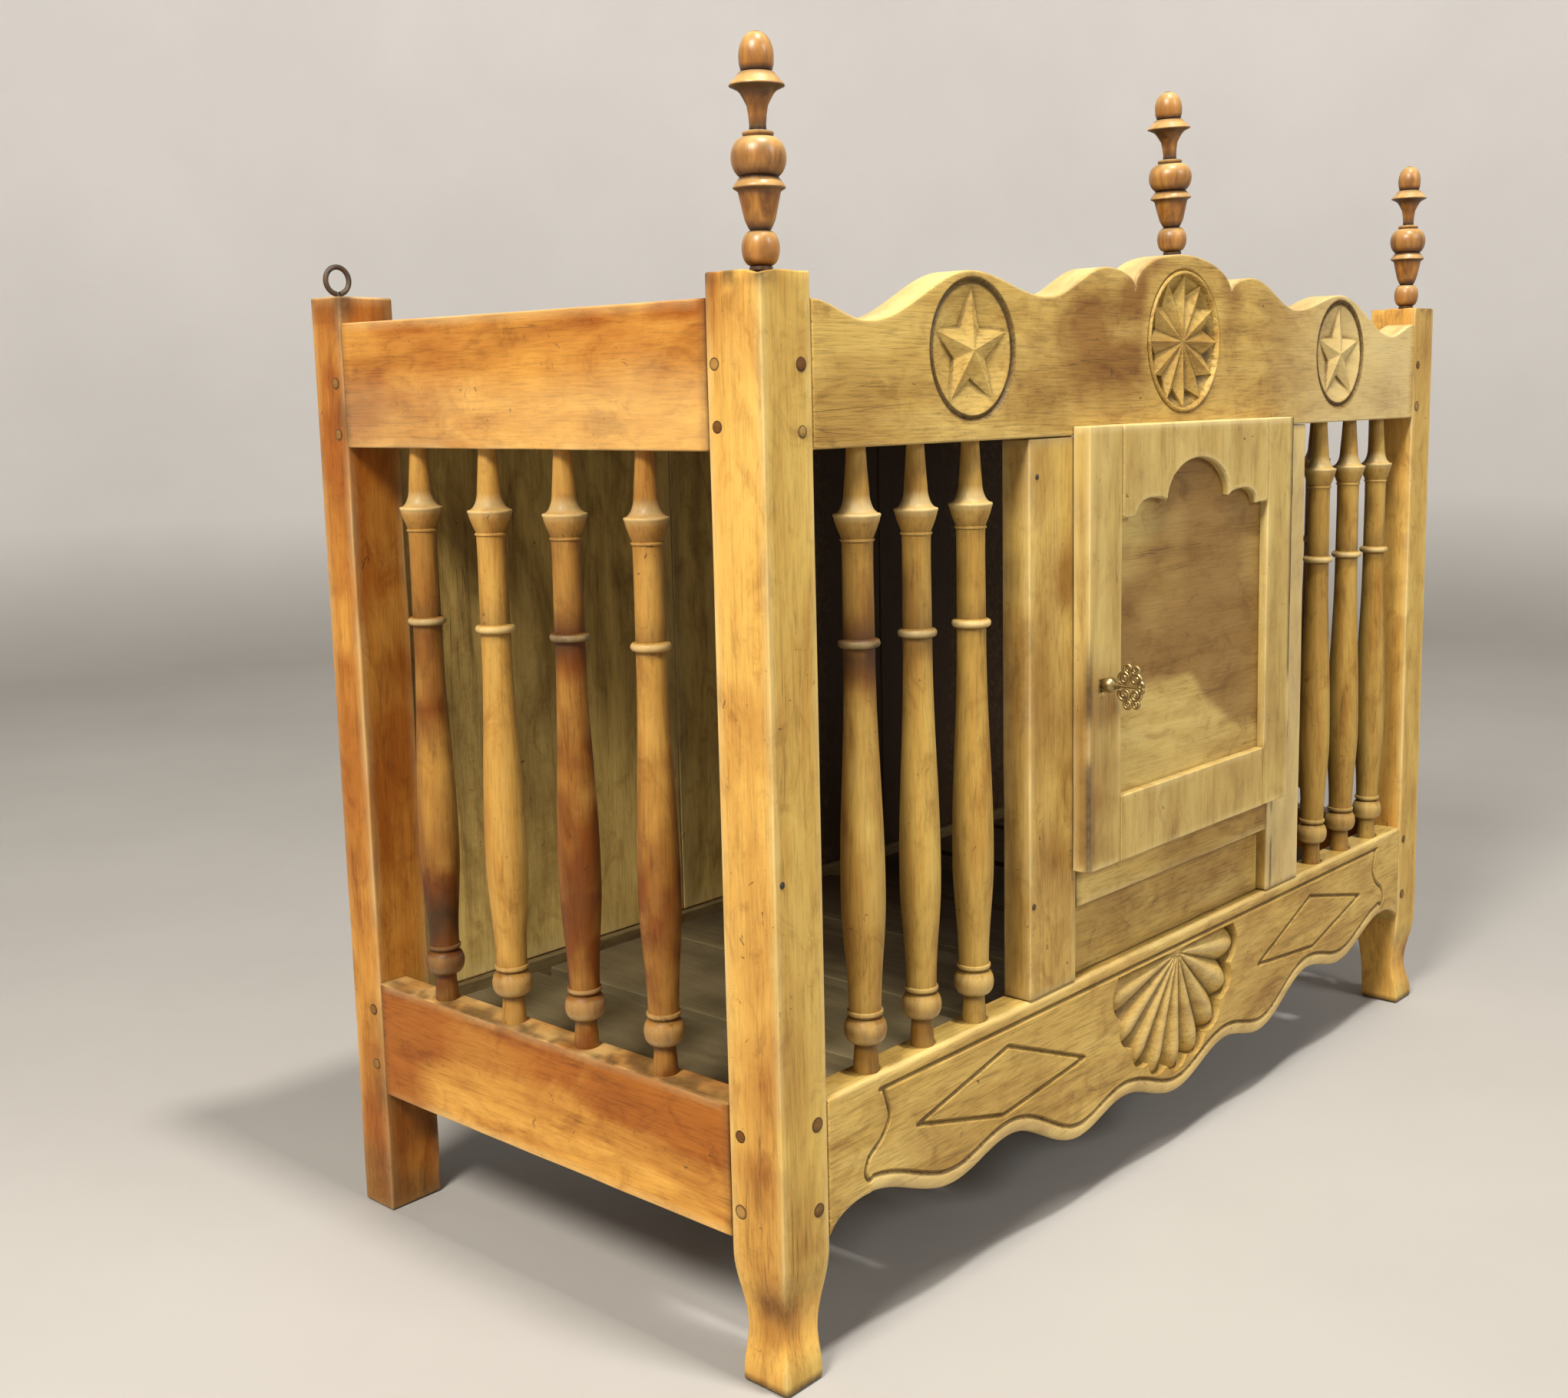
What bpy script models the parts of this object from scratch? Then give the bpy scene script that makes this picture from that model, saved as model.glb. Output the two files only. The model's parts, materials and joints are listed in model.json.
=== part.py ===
"""A hanging bread cupboard: a framed cage of turned spindles with a carved crest and apron,
a panelled door with its lock and key, three finials, and a back, top and slatted floor of boards.

Metres, +Z up. X runs along the front, Y to the back. The origin is on the floor, in the middle of
the overall box, key included.
"""

import math

import bmesh
import bpy
from mathutils import Matrix, Vector

# Fits
FIT = 0.0003  # between pieces that touch
EDGE = 0.001  # softened edge of a board
BITE = 0.002  # how far a cutter runs past a face

# Frame
WIDTH = 0.980  # over the posts
DEPTH = 0.466  # over the posts
FRONT_POST_WIDTH = 0.0445
FRONT_POST_DEPTH = 0.046
FRONT_POST_STUB = 0.015  # post above the side top rails
REAR_POST_WIDTH = 0.048
REAR_POST_DEPTH = 0.037
REAR_POST_STUB = 0.020
RAIL_THICKNESS = 0.025  # crest, apron, mullions, side and rear rails
UPPER_LINE = 0.607  # underside of the crest and of the side top rails
LOWER_LINE = 0.190  # top of the apron and of the side bottom rails
SIDE_RAIL_HEIGHT = 0.092

# Cabriole feet of the front posts
KNEE_HEIGHT = 0.0905
ANKLE_HEIGHT = 0.038
ANKLE_INSET = 0.007  # the outer faces draw in at the ankle
TOE_INSET = 0.0015
TOE_HEIGHT = 0.006
FOOT_WIDTH = 0.0355  # along X at the toe
FOOT_DEPTH = 0.039  # along Y at the toe

# Crest: heights above the upper line, places as shares of half the clear span
CREST_END_RISE = 0.091
OUTER_DIP_RISE = 0.079
OUTER_DIP_SHARE = 0.88
STAR_PEAK_RISE = 0.114
STAR_PEAK_SHARE = 0.631
INNER_DIP_RISE = 0.099
INNER_DIP_SHARE = 0.433
SMALL_PEAK_RISE = 0.123
SMALL_PEAK_SHARE = 0.254
CREST_CUSP_RISE = 0.110
CREST_CUSP_SHARE = 0.168
CREST_CENTRE_RISE = 0.137
ROUNDEL_FOOT = 0.013  # plain wood under a roundel
STAR_CAP = 0.005  # plain wood over a star
ROSETTE_CAP = 0.011
CARVING_DEPTH = 0.0045
RIDGE_DEPTH = 0.0006  # the carved ridges stop just under the face
STAR_POINTS = 5
STAR_TIP_SHARE = 0.87  # of its roundel's radius
STAR_WAIST_SHARE = 0.37
ROSETTE_PETALS = 12
ROSETTE_TIP_SHARE = 0.93
ROSETTE_WAIST_SHARE = 0.58

# Apron: heights above the floor, places as shares of half the clear span
APRON_CENTRE_HEIGHT = 0.052
INNER_ARCH_HEIGHT = 0.073
INNER_ARCH_SHARE = 0.1885
SECOND_LOBE_HEIGHT = 0.061
SECOND_LOBE_SHARE = 0.332
OUTER_ARCH_HEIGHT = 0.095
OUTER_ARCH_SHARE = 0.545
FIRST_LOBE_HEIGHT = 0.083
FIRST_LOBE_SHARE = 0.696
APRON_CUSP_HEIGHT = 0.110
APRON_CUSP_SHARE = 0.916
SHELL_DROP = 0.025  # pivot of the shell below the apron's top
SHELL_MARGIN = 0.017  # plain wood under the shell
SHELL_LOBES = 9
SHELL_SCALLOP = 0.007

# Doorway and the fixed panel under it
OPENING_HALF = 0.154
MULLION_WIDTH = 0.062
LOWER_PANEL_HEIGHT = 0.058
SILL_HEIGHT = 0.038
LOWER_PANEL_SETBACK = 0.009
LOWER_PANEL_THICKNESS = 0.012

# Door, lipped over the doorway
DOOR_LAP = 0.007
DOOR_LIP = 0.015  # thickness in front of the frame
DOOR_TONGUE = 0.006  # thickness inside the doorway
DOOR_PLAY = 0.0025
STILE_WIDTH = 0.045
DOOR_FOOT_RAIL_HEIGHT = 0.052
DOOR_HEAD_RAIL_HEIGHT = 0.070  # at the steps beside the arch
ARCH_HALF_SHARE = 0.43  # half-width of the arch, of half the space between the stiles
STEP_PLACE_SHARE = 0.83  # where the flat step beside the stile begins, of the same
SHOULDER_PLACE_SHARE = 0.52  # peak of the shoulder between those two
ARCH_RISE_SHARE = 0.59  # heights above the step, of the head rail's height
ARCH_SPRING_SHARE = 0.13
SHOULDER_RISE_SHARE = 0.19
PANEL_SETBACK = 0.007
PANEL_THICKNESS = 0.008
PANEL_TONGUE = 0.006  # how far the panel runs into its grooves

# Hinges on the right of the door
HINGE_LENGTH = 0.045
HINGE_INSET = 0.060  # from the door's ends to the middle of a hinge
BARREL_RADIUS = 0.0035
PIN_RADIUS = 0.0016
LEAF_THICKNESS = 0.0015
DOOR_LEAF_WIDTH = 0.0095
FRAME_LEAF_WIDTH = 0.018

# Lock and key
KEY_DROP = 0.0245  # below the door's middle
SHAFT_RADIUS = 0.0030
KEY_BALL_RADIUS = 0.0060
KEY_NECK_RADIUS = 0.0024
KEY_NECK_LENGTH = 0.0040
BOW_LENGTH = 0.023
BOW_HEIGHT = 0.037
BOW_THICKNESS = 0.0035
BOW_WAIST_SHARE = 0.12  # how far the bow's outline draws in between its lobes, of its half height
BOW_LOBE_SHARE = 0.06  # how far its lobes swell, of the same
BOW_HOLE_SHARE = 0.27  # of the bow's height, from its middle to each hole
BOW_HOLE_RADIUS = 0.0033
BIT_REACH = 0.0062
BIT_WIDTH = 0.0022
CASE_WIDTH = 0.036
CASE_HEIGHT = 0.060
CASE_DEPTH = 0.012
CASE_WALL = 0.0015
CASE_MARGIN = 0.0005  # case edge inside the door's tongue
BOLT_GAP = 0.0013  # between the key's bit and the bolt
BOLT_HEIGHT = 0.010
BOLT_THICKNESS = 0.0045
BOLT_TAIL_ROOM = 0.006  # free space behind the bolt in its case
BOLT_THROW = 0.009
MORTISE_PLAY = 0.001

# Back, top and floor
BOARD_THICKNESS = 0.014
REAR_RAIL_SETBACK = 0.006
REAR_TOP_RAIL_HEIGHT = 0.059
REAR_RAIL_CAP = 0.010  # rear bottom rail above the floor
BACK_BOARDS = 3
TOP_BOARDS = 2
TOP_DROP = 0.020  # top boards below the side rails' upper edges
GROOVE = 0.008
FLOOR_DROP = 0.035  # floor below the lower line
SLAT_THICKNESS = 0.014
SLATS = 7
SLAT_GAP = 0.014

# Turned spindles: drops from the upper line, rises from the lower line
FRONT_SPINDLES = 3
SIDE_SPINDLES = 4
END_GAP_SHARE = 0.88  # gap at the ends of a row, as a share of the pitch
SPINDLE_SIDES = 10
ROD_SIDES = 12  # pins, shafts and barrels
TENON_RADIUS = 0.0048
TENON_LENGTH = 0.010
NECK_RADIUS = 0.0062
NECK_LENGTH = 0.030
NECK_FOOT_RADIUS = 0.0084
COLLAR_DROP = 0.047
COLLAR_RADIUS = 0.0152
COLLAR_HEIGHT = 0.014
COLLAR_EDGE_SHARES = ((0.93, 0.15), (1.0, 0.0), (0.86, -0.45))  # of its radius and of its height
COLLAR_FOOT_SHARE = 0.8  # of its height, down to the shaft
SHAFT_TOP_RADIUS = 0.0100
RING_DROP = 0.1265
RING_RADIUS = 0.0136
RING_HEIGHT = 0.005
BELLY_RISE = 0.126
BELLY_RADIUS = 0.0147
BEAD_RISE = 0.0295
BEAD_RADIUS = 0.0142
BEAD_HEIGHT = 0.017
ABOVE_BEAD_RADIUS = 0.0108
FOOT_PEG_RADIUS = 0.0078

# Turned finials: heights of their members, one on another from the seat up
FINIAL_SIDES = 12
FINIAL_INSET = 0.0195  # axis behind the front of the posts
FINIAL_LEAN = math.radians(4.0)  # the middle one leans to the left
CENTRE_FINIAL_SHARE = 0.9  # the middle one is a little shorter
FINIAL_PEG_RADIUS = 0.0055
FINIAL_PEG_LENGTH = 0.016
FINIAL_FOOT = 0.003
FINIAL_FOOT_RADIUS = 0.0072
LOWER_BALL = 0.0205
LOWER_BALL_RADIUS = 0.0117
VASE = 0.0225
VASE_FOOT_RADIUS = 0.0064
VASE_TOP_RADIUS = 0.0128
SAUCER = 0.0085
SAUCER_RADIUS = 0.0159
BALL = 0.023
BALL_RADIUS = 0.0167
STEM = 0.0075
STEM_RADIUS = 0.0052
STEM_COLLAR_RADIUS = 0.0095
TRUMPET = 0.022
CUP_RADIUS = 0.0167
ACORN = 0.031
ACORN_RADIUS = 0.0105
ACORN_BELLY_SHARE = 0.42  # of the acorn's height, where it is widest
ACORN_SEAT_SHARE = 0.24  # of the same, where it meets the cup
CUP_LIP_SHARE = 0.9  # of the cup's radius, under its rim
CUP_RIM_SHARE = 0.1  # of the trumpet's height
STEM_COLLAR_SHARE = 0.22  # of the stem's height

# Screw eyes on the rear posts
EYE_INSET = 0.0125  # from the post's outer face
EYE_RADIUS = 0.010  # to the middle of the wire
EYE_WIRE = 0.0020
EYE_SHANK_LENGTH = 0.018
EYE_SIDES = 16
WIRE_SIDES = 8

# Derived places
KEY_OUT = 2 * KEY_BALL_RADIUS + KEY_NECK_LENGTH + BOW_LENGTH
FRONT = (DOOR_LIP + 2 * FIT + KEY_OUT - DEPTH) / 2
BACK = FRONT + DEPTH
SPAN_HALF = WIDTH / 2 - FRONT_POST_WIDTH - FIT
MULLION_OUTER = OPENING_HALF + MULLION_WIDTH
UPPER_RAIL_TOP = UPPER_LINE + SIDE_RAIL_HEIGHT
LOWER_RAIL_FOOT = LOWER_LINE - SIDE_RAIL_HEIGHT
FRONT_POST_HEIGHT = UPPER_RAIL_TOP + FRONT_POST_STUB
REAR_POST_HEIGHT = UPPER_RAIL_TOP + REAR_POST_STUB
FLOOR_TOP = LOWER_LINE - FLOOR_DROP
REAR_BOTTOM_RAIL_TOP = FLOOR_TOP + REAR_RAIL_CAP
SILL_FOOT = LOWER_LINE + LOWER_PANEL_HEIGHT
SILL_TOP = SILL_FOOT + SILL_HEIGHT
SIDE_FRONT = FRONT + FRONT_POST_DEPTH + FIT
SIDE_BACK = BACK - REAR_POST_DEPTH - FIT
RAIL_BACK = FRONT + RAIL_THICKNESS
SPINDLE_LINE = RAIL_THICKNESS / 2  # spindle axes behind the outer faces
REAR_RAIL_FRONT = BACK - REAR_POST_DEPTH + REAR_RAIL_SETBACK
REAR_RAIL_BACK = REAR_RAIL_FRONT + RAIL_THICKNESS
REAR_HALF = WIDTH / 2 - REAR_POST_WIDTH - FIT

DOOR_HALF = OPENING_HALF + DOOR_LAP
DOOR_LOW = SILL_TOP - DOOR_LAP
DOOR_HIGH = UPPER_LINE + DOOR_LAP
LIP_BACK = FRONT - FIT
DOOR_FACE = LIP_BACK - DOOR_LIP
DOOR_BACK = FRONT + DOOR_TONGUE
TONGUE_HALF = OPENING_HALF - DOOR_PLAY
TONGUE_LOW = SILL_TOP + DOOR_PLAY
TONGUE_HIGH = UPPER_LINE - DOOR_PLAY
STILE_INNER = DOOR_HALF - STILE_WIDTH
PANEL_FRONT = DOOR_FACE + PANEL_SETBACK
PANEL_BACK = PANEL_FRONT + PANEL_THICKNESS
STEP_LINE = DOOR_HIGH - DOOR_HEAD_RAIL_HEIGHT
ARCH_TOP = STEP_LINE + ARCH_RISE_SHARE * DOOR_HEAD_RAIL_HEIGHT
PANEL_HIGH = ARCH_TOP + PANEL_TONGUE

PIN_X = DOOR_HALF + FIT + BARREL_RADIUS
PIN_Y = FRONT - FIT - LEAF_THICKNESS / 2 - BARREL_RADIUS
CASE_FRONT = DOOR_BACK + FIT
CASE_BACK = CASE_FRONT + CASE_DEPTH
CASE_LEFT = -TONGUE_HALF + CASE_MARGIN
KEY_X = CASE_LEFT + CASE_WALL + FIT + BIT_REACH
KEY_HEIGHT = (DOOR_LOW + DOOR_HIGH) / 2 - KEY_DROP
BOLT_HEAD = CASE_LEFT
BOLT_LENGTH = CASE_WIDTH - CASE_WALL - BOLT_TAIL_ROOM
BOLT_Z = KEY_HEIGHT + BIT_REACH + BOLT_GAP + BOLT_HEIGHT / 2
BOLT_Y = CASE_BACK - CASE_WALL - FIT - BOLT_THICKNESS / 2

SIDES = ((-1, "left"), (1, "right"))  # sign along X and its word

# Finishes: colour, roughness, metallic
HONEY = ((0.50, 0.26, 0.065), 0.45, 0.0)
OLIVE = ((0.42, 0.30, 0.115), 0.50, 0.0)
AMBER = ((0.36, 0.17, 0.045), 0.42, 0.0)
WALNUT = ((0.17, 0.072, 0.025), 0.35, 0.0)
DUSKY = ((0.15, 0.11, 0.055), 0.65, 0.0)
IRON = ((0.045, 0.040, 0.036), 0.55, 0.9)
BRASS = ((0.55, 0.40, 0.15), 0.35, 1.0)


def clear_scene():
    for old in list(bpy.data.objects):
        bpy.data.objects.remove(old, do_unlink=True)


def finish(name, look):
    colour, roughness, metallic = look
    material = bpy.data.materials.new(name + "_finish")
    material.use_nodes = True
    shader = material.node_tree.nodes["Principled BSDF"]
    shader.inputs["Base Color"].default_value = (*colour, 1.0)
    shader.inputs["Roughness"].default_value = roughness
    shader.inputs["Metallic"].default_value = metallic
    return material


def add_object(name, shape):
    """Turns a bmesh into an object of the scene."""
    bmesh.ops.recalc_face_normals(shape, faces=shape.faces)
    mesh = bpy.data.meshes.new(name)
    shape.to_mesh(mesh)
    shape.free()
    made = bpy.data.objects.new(name, mesh)
    bpy.context.scene.collection.objects.link(made)
    return made


def add_piece(name, shape, look, carrier=None):
    made = add_object(name, shape)
    made.data.materials.append(finish(name, look))
    if carrier is not None:
        carry(made, carrier)
    return made


def carry(piece, pivot):
    """Parents a piece to an empty on its joint's axis, and leaves the piece where it is."""
    piece.parent = pivot
    piece.matrix_parent_inverse = Matrix.Translation(-pivot.location)


def add_pivot(name, place):
    pivot = bpy.data.objects.new(name, None)
    pivot.location = place
    bpy.context.scene.collection.objects.link(pivot)
    return pivot


def cut(piece, name, shape):
    """Cuts a shape out of a piece."""
    cutter = add_object(name, shape)
    cutter.hide_render = True
    cutter.display_type = "WIRE"
    step = piece.modifiers.new(name, "BOOLEAN")
    step.operation = "DIFFERENCE"
    step.solver = "EXACT"
    step.object = cutter
    return cutter


def join(piece, name, shape):
    """Joins an overlapping shape to a piece."""
    other = cut(piece, name, shape)
    piece.modifiers[name].operation = "UNION"
    return other


def box_shape(low, high):
    shape = bmesh.new()
    bmesh.ops.create_cube(shape, size=1.0)
    middle = (Vector(low) + Vector(high)) / 2
    size = Vector(high) - Vector(low)
    bmesh.ops.transform(shape, matrix=Matrix.LocRotScale(middle, None, size), verts=shape.verts)
    return shape


def rod_shape(radius, start, end, sides):
    """A round bar between two points."""
    axis = Vector(end) - Vector(start)
    turn = axis.to_track_quat("Z", "Y")
    shape = bmesh.new()
    bmesh.ops.create_cone(
        shape,
        cap_ends=True,
        segments=sides,
        radius1=radius,
        radius2=radius,
        depth=axis.length,
    )
    middle = (Vector(start) + Vector(end)) / 2
    bmesh.ops.transform(shape, matrix=Matrix.LocRotScale(middle, turn, None), verts=shape.verts)
    return shape


def hole_radius(radius, sides):
    """Radius of a many-sided hole that leaves a round pin its gap on every side."""
    return (radius + FIT) / math.cos(math.pi / sides)


def rods_shape(radius, ends, sides):
    """Several separate round bars as one cutter."""
    shape = bmesh.new()
    for start, end in ends:
        rod = rod_shape(radius, start, end, sides)
        mesh = bpy.data.meshes.new("rod")
        rod.to_mesh(mesh)
        rod.free()
        shape.from_mesh(mesh)
        bpy.data.meshes.remove(mesh)
    return shape


def board(name, low, high, look, carrier=None):
    """A squared board with softened edges."""
    made = add_piece(name, box_shape(low, high), look, carrier)
    soft = made.modifiers.new("softened_edges", "BEVEL")
    soft.width = EDGE
    soft.segments = 1
    return made


def plate_shape(outline, front, back):
    """An outline in X and Z, sawn from a board that runs from front to back in Y."""
    shape = bmesh.new()
    corners = [shape.verts.new((x, front, z)) for x, z in outline]
    face = shape.faces.new(corners)
    grown = bmesh.ops.extrude_face_region(shape, geom=[face])["geom"]
    moved = [item for item in grown if isinstance(item, bmesh.types.BMVert)]
    bmesh.ops.translate(shape, vec=(0, back - front, 0), verts=moved)
    return shape


def turned_shape(stations, sides):
    """Spins (radius, height) stations about Z. The first and the last lie on the axis."""
    shape = bmesh.new()
    points = [shape.verts.new((radius, 0, height)) for radius, height in stations]
    edges = [shape.edges.new(pair) for pair in zip(points, points[1:])]
    bmesh.ops.spin(
        shape,
        geom=points + edges,
        cent=(0, 0, 0),
        axis=(0, 0, 1),
        angle=2 * math.pi,
        steps=sides,
        use_merge=True,
    )
    bmesh.ops.remove_doubles(shape, verts=shape.verts, dist=1e-6)
    return shape


def shade_round(piece, angle=35):
    piece.data.shade_smooth()
    piece.data.set_sharp_from_angle(angle=math.radians(angle))


def ease(start, end, share):
    """A soft S-curve from start to end."""
    return start + (end - start) * (1 - math.cos(math.pi * share)) / 2


def eased(start, end, count):
    """Points after start, up to end, along the S-curve between two (place, height) points."""
    shares = [(step + 1) / count for step in range(count)]
    return [(start[0] + (end[0] - start[0]) * share, ease(start[1], end[1], share)) for share in shares]


def quarter(start, end, count, level_first):
    """Points after start, up to end, along a quarter ellipse that is level at one of its ends."""
    points = []
    for step in range(count):
        angle = math.pi / 2 * (step + 1) / count
        if level_first:
            across, up = math.sin(angle), 1 - math.cos(angle)
        else:
            across, up = 1 - math.cos(angle), math.sin(angle)
        points.append((start[0] + (end[0] - start[0]) * across, start[1] + (end[1] - start[1]) * up))
    return points


def mirrored(half):
    """A whole outline edge from its right half, which starts at the middle."""
    return [(-x, z) for x, z in reversed(half[1:])] + half


def spread(low, high, count):
    """Places for a row of spindles between two faces."""
    pitch = (high - low) / (count - 1 + 2 * END_GAP_SHARE)
    return [low + pitch * (END_GAP_SHARE + step) for step in range(count)]


# Posts


def foot_section(height):
    """Insets of the post's outer faces and of its inner faces, along X and along Y, at a height."""
    if height >= KNEE_HEIGHT:
        return 0.0, 0.0, 0.0
    below = (KNEE_HEIGHT - height) / (KNEE_HEIGHT - TOE_HEIGHT)
    inner_x = ease(0, FRONT_POST_WIDTH - TOE_INSET - FOOT_WIDTH, min(below, 1))
    inner_y = ease(0, FRONT_POST_DEPTH - TOE_INSET - FOOT_DEPTH, min(1.5 * below, 1))
    if height > ANKLE_HEIGHT:
        outer = ease(0, ANKLE_INSET, (KNEE_HEIGHT - height) / (KNEE_HEIGHT - ANKLE_HEIGHT))
    else:
        share = (ANKLE_HEIGHT - height) / (ANKLE_HEIGHT - TOE_HEIGHT)
        outer = ease(ANKLE_INSET, TOE_INSET, min(share, 1))
    return outer, inner_x, inner_y


def ring_of(shape, low, high, height, edge):
    """Eight corners of a softened rectangle."""
    x0, y0 = low
    x1, y1 = high
    corners = [
        (x0 + edge, y0), (x1 - edge, y0), (x1, y0 + edge), (x1, y1 - edge),
        (x1 - edge, y1), (x0 + edge, y1), (x0, y1 - edge), (x0, y0 + edge),
    ]
    return [shape.verts.new((x, y, height)) for x, y in corners]


def bridge(shape, rings):
    """Skins a row of rings and closes both ends."""
    for lower, upper in zip(rings, rings[1:]):
        count = len(lower)
        for corner in range(count):
            following = (corner + 1) % count
            shape.faces.new((lower[corner], lower[following], upper[following], upper[corner]))
    shape.faces.new(list(reversed(rings[0])))
    shape.faces.new(rings[-1])


def front_post(name, side):
    """side is -1 for the left post and 1 for the right one."""
    steps = 10
    lift = (KNEE_HEIGHT - TOE_HEIGHT) / steps
    heights = [0.0] + [TOE_HEIGHT + lift * step for step in range(steps + 1)]
    heights += [FRONT_POST_HEIGHT - EDGE, FRONT_POST_HEIGHT]
    shape = bmesh.new()
    rings = []
    for height in heights:
        outer, inner_x, inner_y = foot_section(height)
        tuck = EDGE if height in (heights[0], heights[-1]) else 0.0
        outer_x = side * (WIDTH / 2 - outer - tuck)
        inner_edge = side * (WIDTH / 2 - FRONT_POST_WIDTH + inner_x + tuck)
        low = (min(outer_x, inner_edge), FRONT + outer + tuck)
        high = (max(outer_x, inner_edge), FRONT + FRONT_POST_DEPTH - inner_y - tuck)
        rings.append(ring_of(shape, low, high, height, EDGE))
    bridge(shape, rings)
    post = add_piece(name, shape, HONEY)
    cut(post, name + "_finial_hole", peg_hole(finial_seat(side)))
    return post


def rear_post(name, side):
    outer = side * WIDTH / 2
    inner = outer - side * REAR_POST_WIDTH
    low = (min(outer, inner), BACK - REAR_POST_DEPTH, 0)
    high = (max(outer, inner), BACK, REAR_POST_HEIGHT)
    post = board(name, low, high, HONEY)
    hole = rod_shape(hole_radius(EYE_WIRE, WIRE_SIDES), eye_foot(side), eye_top(side), WIRE_SIDES)
    cut(post, name + "_eye_hole", hole)
    return post


# Rails


def side_rail(name, side, foot):
    outer = side * WIDTH / 2
    inner = outer - side * RAIL_THICKNESS
    low = (min(outer, inner), SIDE_FRONT, foot)
    high = (max(outer, inner), SIDE_BACK, foot + SIDE_RAIL_HEIGHT)
    return board(name, low, high, HONEY)


def side_places(side):
    x = side * (WIDTH / 2 - SPINDLE_LINE)
    return [(x, y) for y in spread(SIDE_FRONT, SIDE_BACK, SIDE_SPINDLES)]


def front_places(side):
    y = FRONT + SPINDLE_LINE
    places = spread(MULLION_OUTER, SPAN_HALF, FRONT_SPINDLES)
    return [(side * x, y) for x in places]


def tenon_holes(places, line, way):
    """Blind holes for spindle tenons in a rail; way is 1 up from the line or -1 down from it."""
    reach = way * (TENON_LENGTH + FIT)
    ends = [((x, y, line - way * BITE), (x, y, line + reach)) for x, y in places]
    return rods_shape(hole_radius(TENON_RADIUS, SPINDLE_SIDES), ends, SPINDLE_SIDES)


def side_top_rail(name, side):
    rail = side_rail(name, side, UPPER_LINE)
    cut(rail, name + "_tenons", tenon_holes(side_places(side), UPPER_LINE, 1))
    groove_foot = UPPER_RAIL_TOP - TOP_DROP - BOARD_THICKNESS - FIT
    inner = side * (WIDTH / 2 - RAIL_THICKNESS)
    deep = inner + side * (GROOVE + FIT)
    out = inner - side * BITE
    low = (min(deep, out), SIDE_FRONT - BITE, groove_foot)
    high = (max(deep, out), SIDE_BACK + BITE, groove_foot + BOARD_THICKNESS + 2 * FIT)
    cut(rail, name + "_groove", box_shape(low, high))
    return rail


def side_bottom_rail(name, side):
    rail = side_rail(name, side, LOWER_RAIL_FOOT)
    cut(rail, name + "_tenons", tenon_holes(side_places(side), LOWER_LINE, -1))
    return rail


def rear_rail(name, low, high):
    return board(name, (-REAR_HALF, REAR_RAIL_FRONT, low), (REAR_HALF, REAR_RAIL_BACK, high), DUSKY)


def rear_rails():
    rear_rail("rear_top_rail", UPPER_RAIL_TOP - REAR_TOP_RAIL_HEIGHT, UPPER_RAIL_TOP)
    rail = rear_rail("rear_bottom_rail", LOWER_RAIL_FOOT, REAR_BOTTOM_RAIL_TOP)
    cut(rail, "rear_slat_groove", slat_groove(REAR_RAIL_FRONT, 1))


def slat_groove(face, way):
    """Groove for the floor slats in the inner face of a rail; way is 1 where the rail lies behind it."""
    deep = face + way * (GROOVE + FIT)
    out = face - way * BITE
    half = WIDTH / 2
    low = (-half, min(deep, out), FLOOR_TOP - SLAT_THICKNESS - FIT)
    high = (half, max(deep, out), FLOOR_TOP + FIT)
    return box_shape(low, high)


# Crest and apron


def crest_edge():
    """The right half of the crest's wavy top, from the middle to the post."""
    top = (0.0, CREST_CENTRE_RISE)
    cusp = (CREST_CUSP_SHARE * SPAN_HALF, CREST_CUSP_RISE)
    peak = (SMALL_PEAK_SHARE * SPAN_HALF, SMALL_PEAK_RISE)
    dip = (INNER_DIP_SHARE * SPAN_HALF, INNER_DIP_RISE)
    star = (STAR_PEAK_SHARE * SPAN_HALF, STAR_PEAK_RISE)
    outer = (OUTER_DIP_SHARE * SPAN_HALF, OUTER_DIP_RISE)
    half = [top]
    half += quarter(top, cusp, 7, True)
    half += quarter(cusp, peak, 4, False)
    half += eased(peak, dip, 6)
    half += eased(dip, star, 6)
    half += eased(star, outer, 7)
    half += eased(outer, (SPAN_HALF, CREST_END_RISE), 4)
    return [(x, UPPER_LINE + rise) for x, rise in half]


def roundel(low, high, cap):
    """Centre height and radius of a roundel that fits between the crest's foot and its top."""
    foot = low + ROUNDEL_FOOT
    return (foot + high - cap) / 2, (high - cap - foot) / 2


def star_die(centre, points, rim, reach, waist):
    """A cutter that leaves a round recess with a ridged star of several points in it."""
    x, z = centre
    floor = FRONT + CARVING_DEPTH

    def on_circle(shape, radius, step, steps, y):
        angle = math.pi / 2 + 2 * math.pi * step / steps
        return shape.verts.new((x + radius * math.cos(angle), y, z + radius * math.sin(angle)))

    shape = bmesh.new()
    count = 4 * points
    mouth = [on_circle(shape, rim, step, count, FRONT - BITE) for step in range(count)]
    wall = [on_circle(shape, rim, step, count, floor) for step in range(count)]
    star = []
    for step in range(2 * points):
        radius = rim * (waist if step % 2 else reach)
        star.append(on_circle(shape, radius, step, 2 * points, floor))
    middle = shape.verts.new((x, FRONT + RIDGE_DEPTH, z))
    shape.faces.new(mouth)
    for step in range(count):
        following = (step + 1) % count
        shape.faces.new((mouth[step], mouth[following], wall[following], wall[step]))
    for step in range(2 * points):
        following = (step + 1) % (2 * points)
        edge = [wall[(2 * step + turn) % count] for turn in range(3)]
        shape.faces.new([star[step]] + edge + [star[following]])
        shape.faces.new((star[step], star[following], middle))
    return shape


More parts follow.
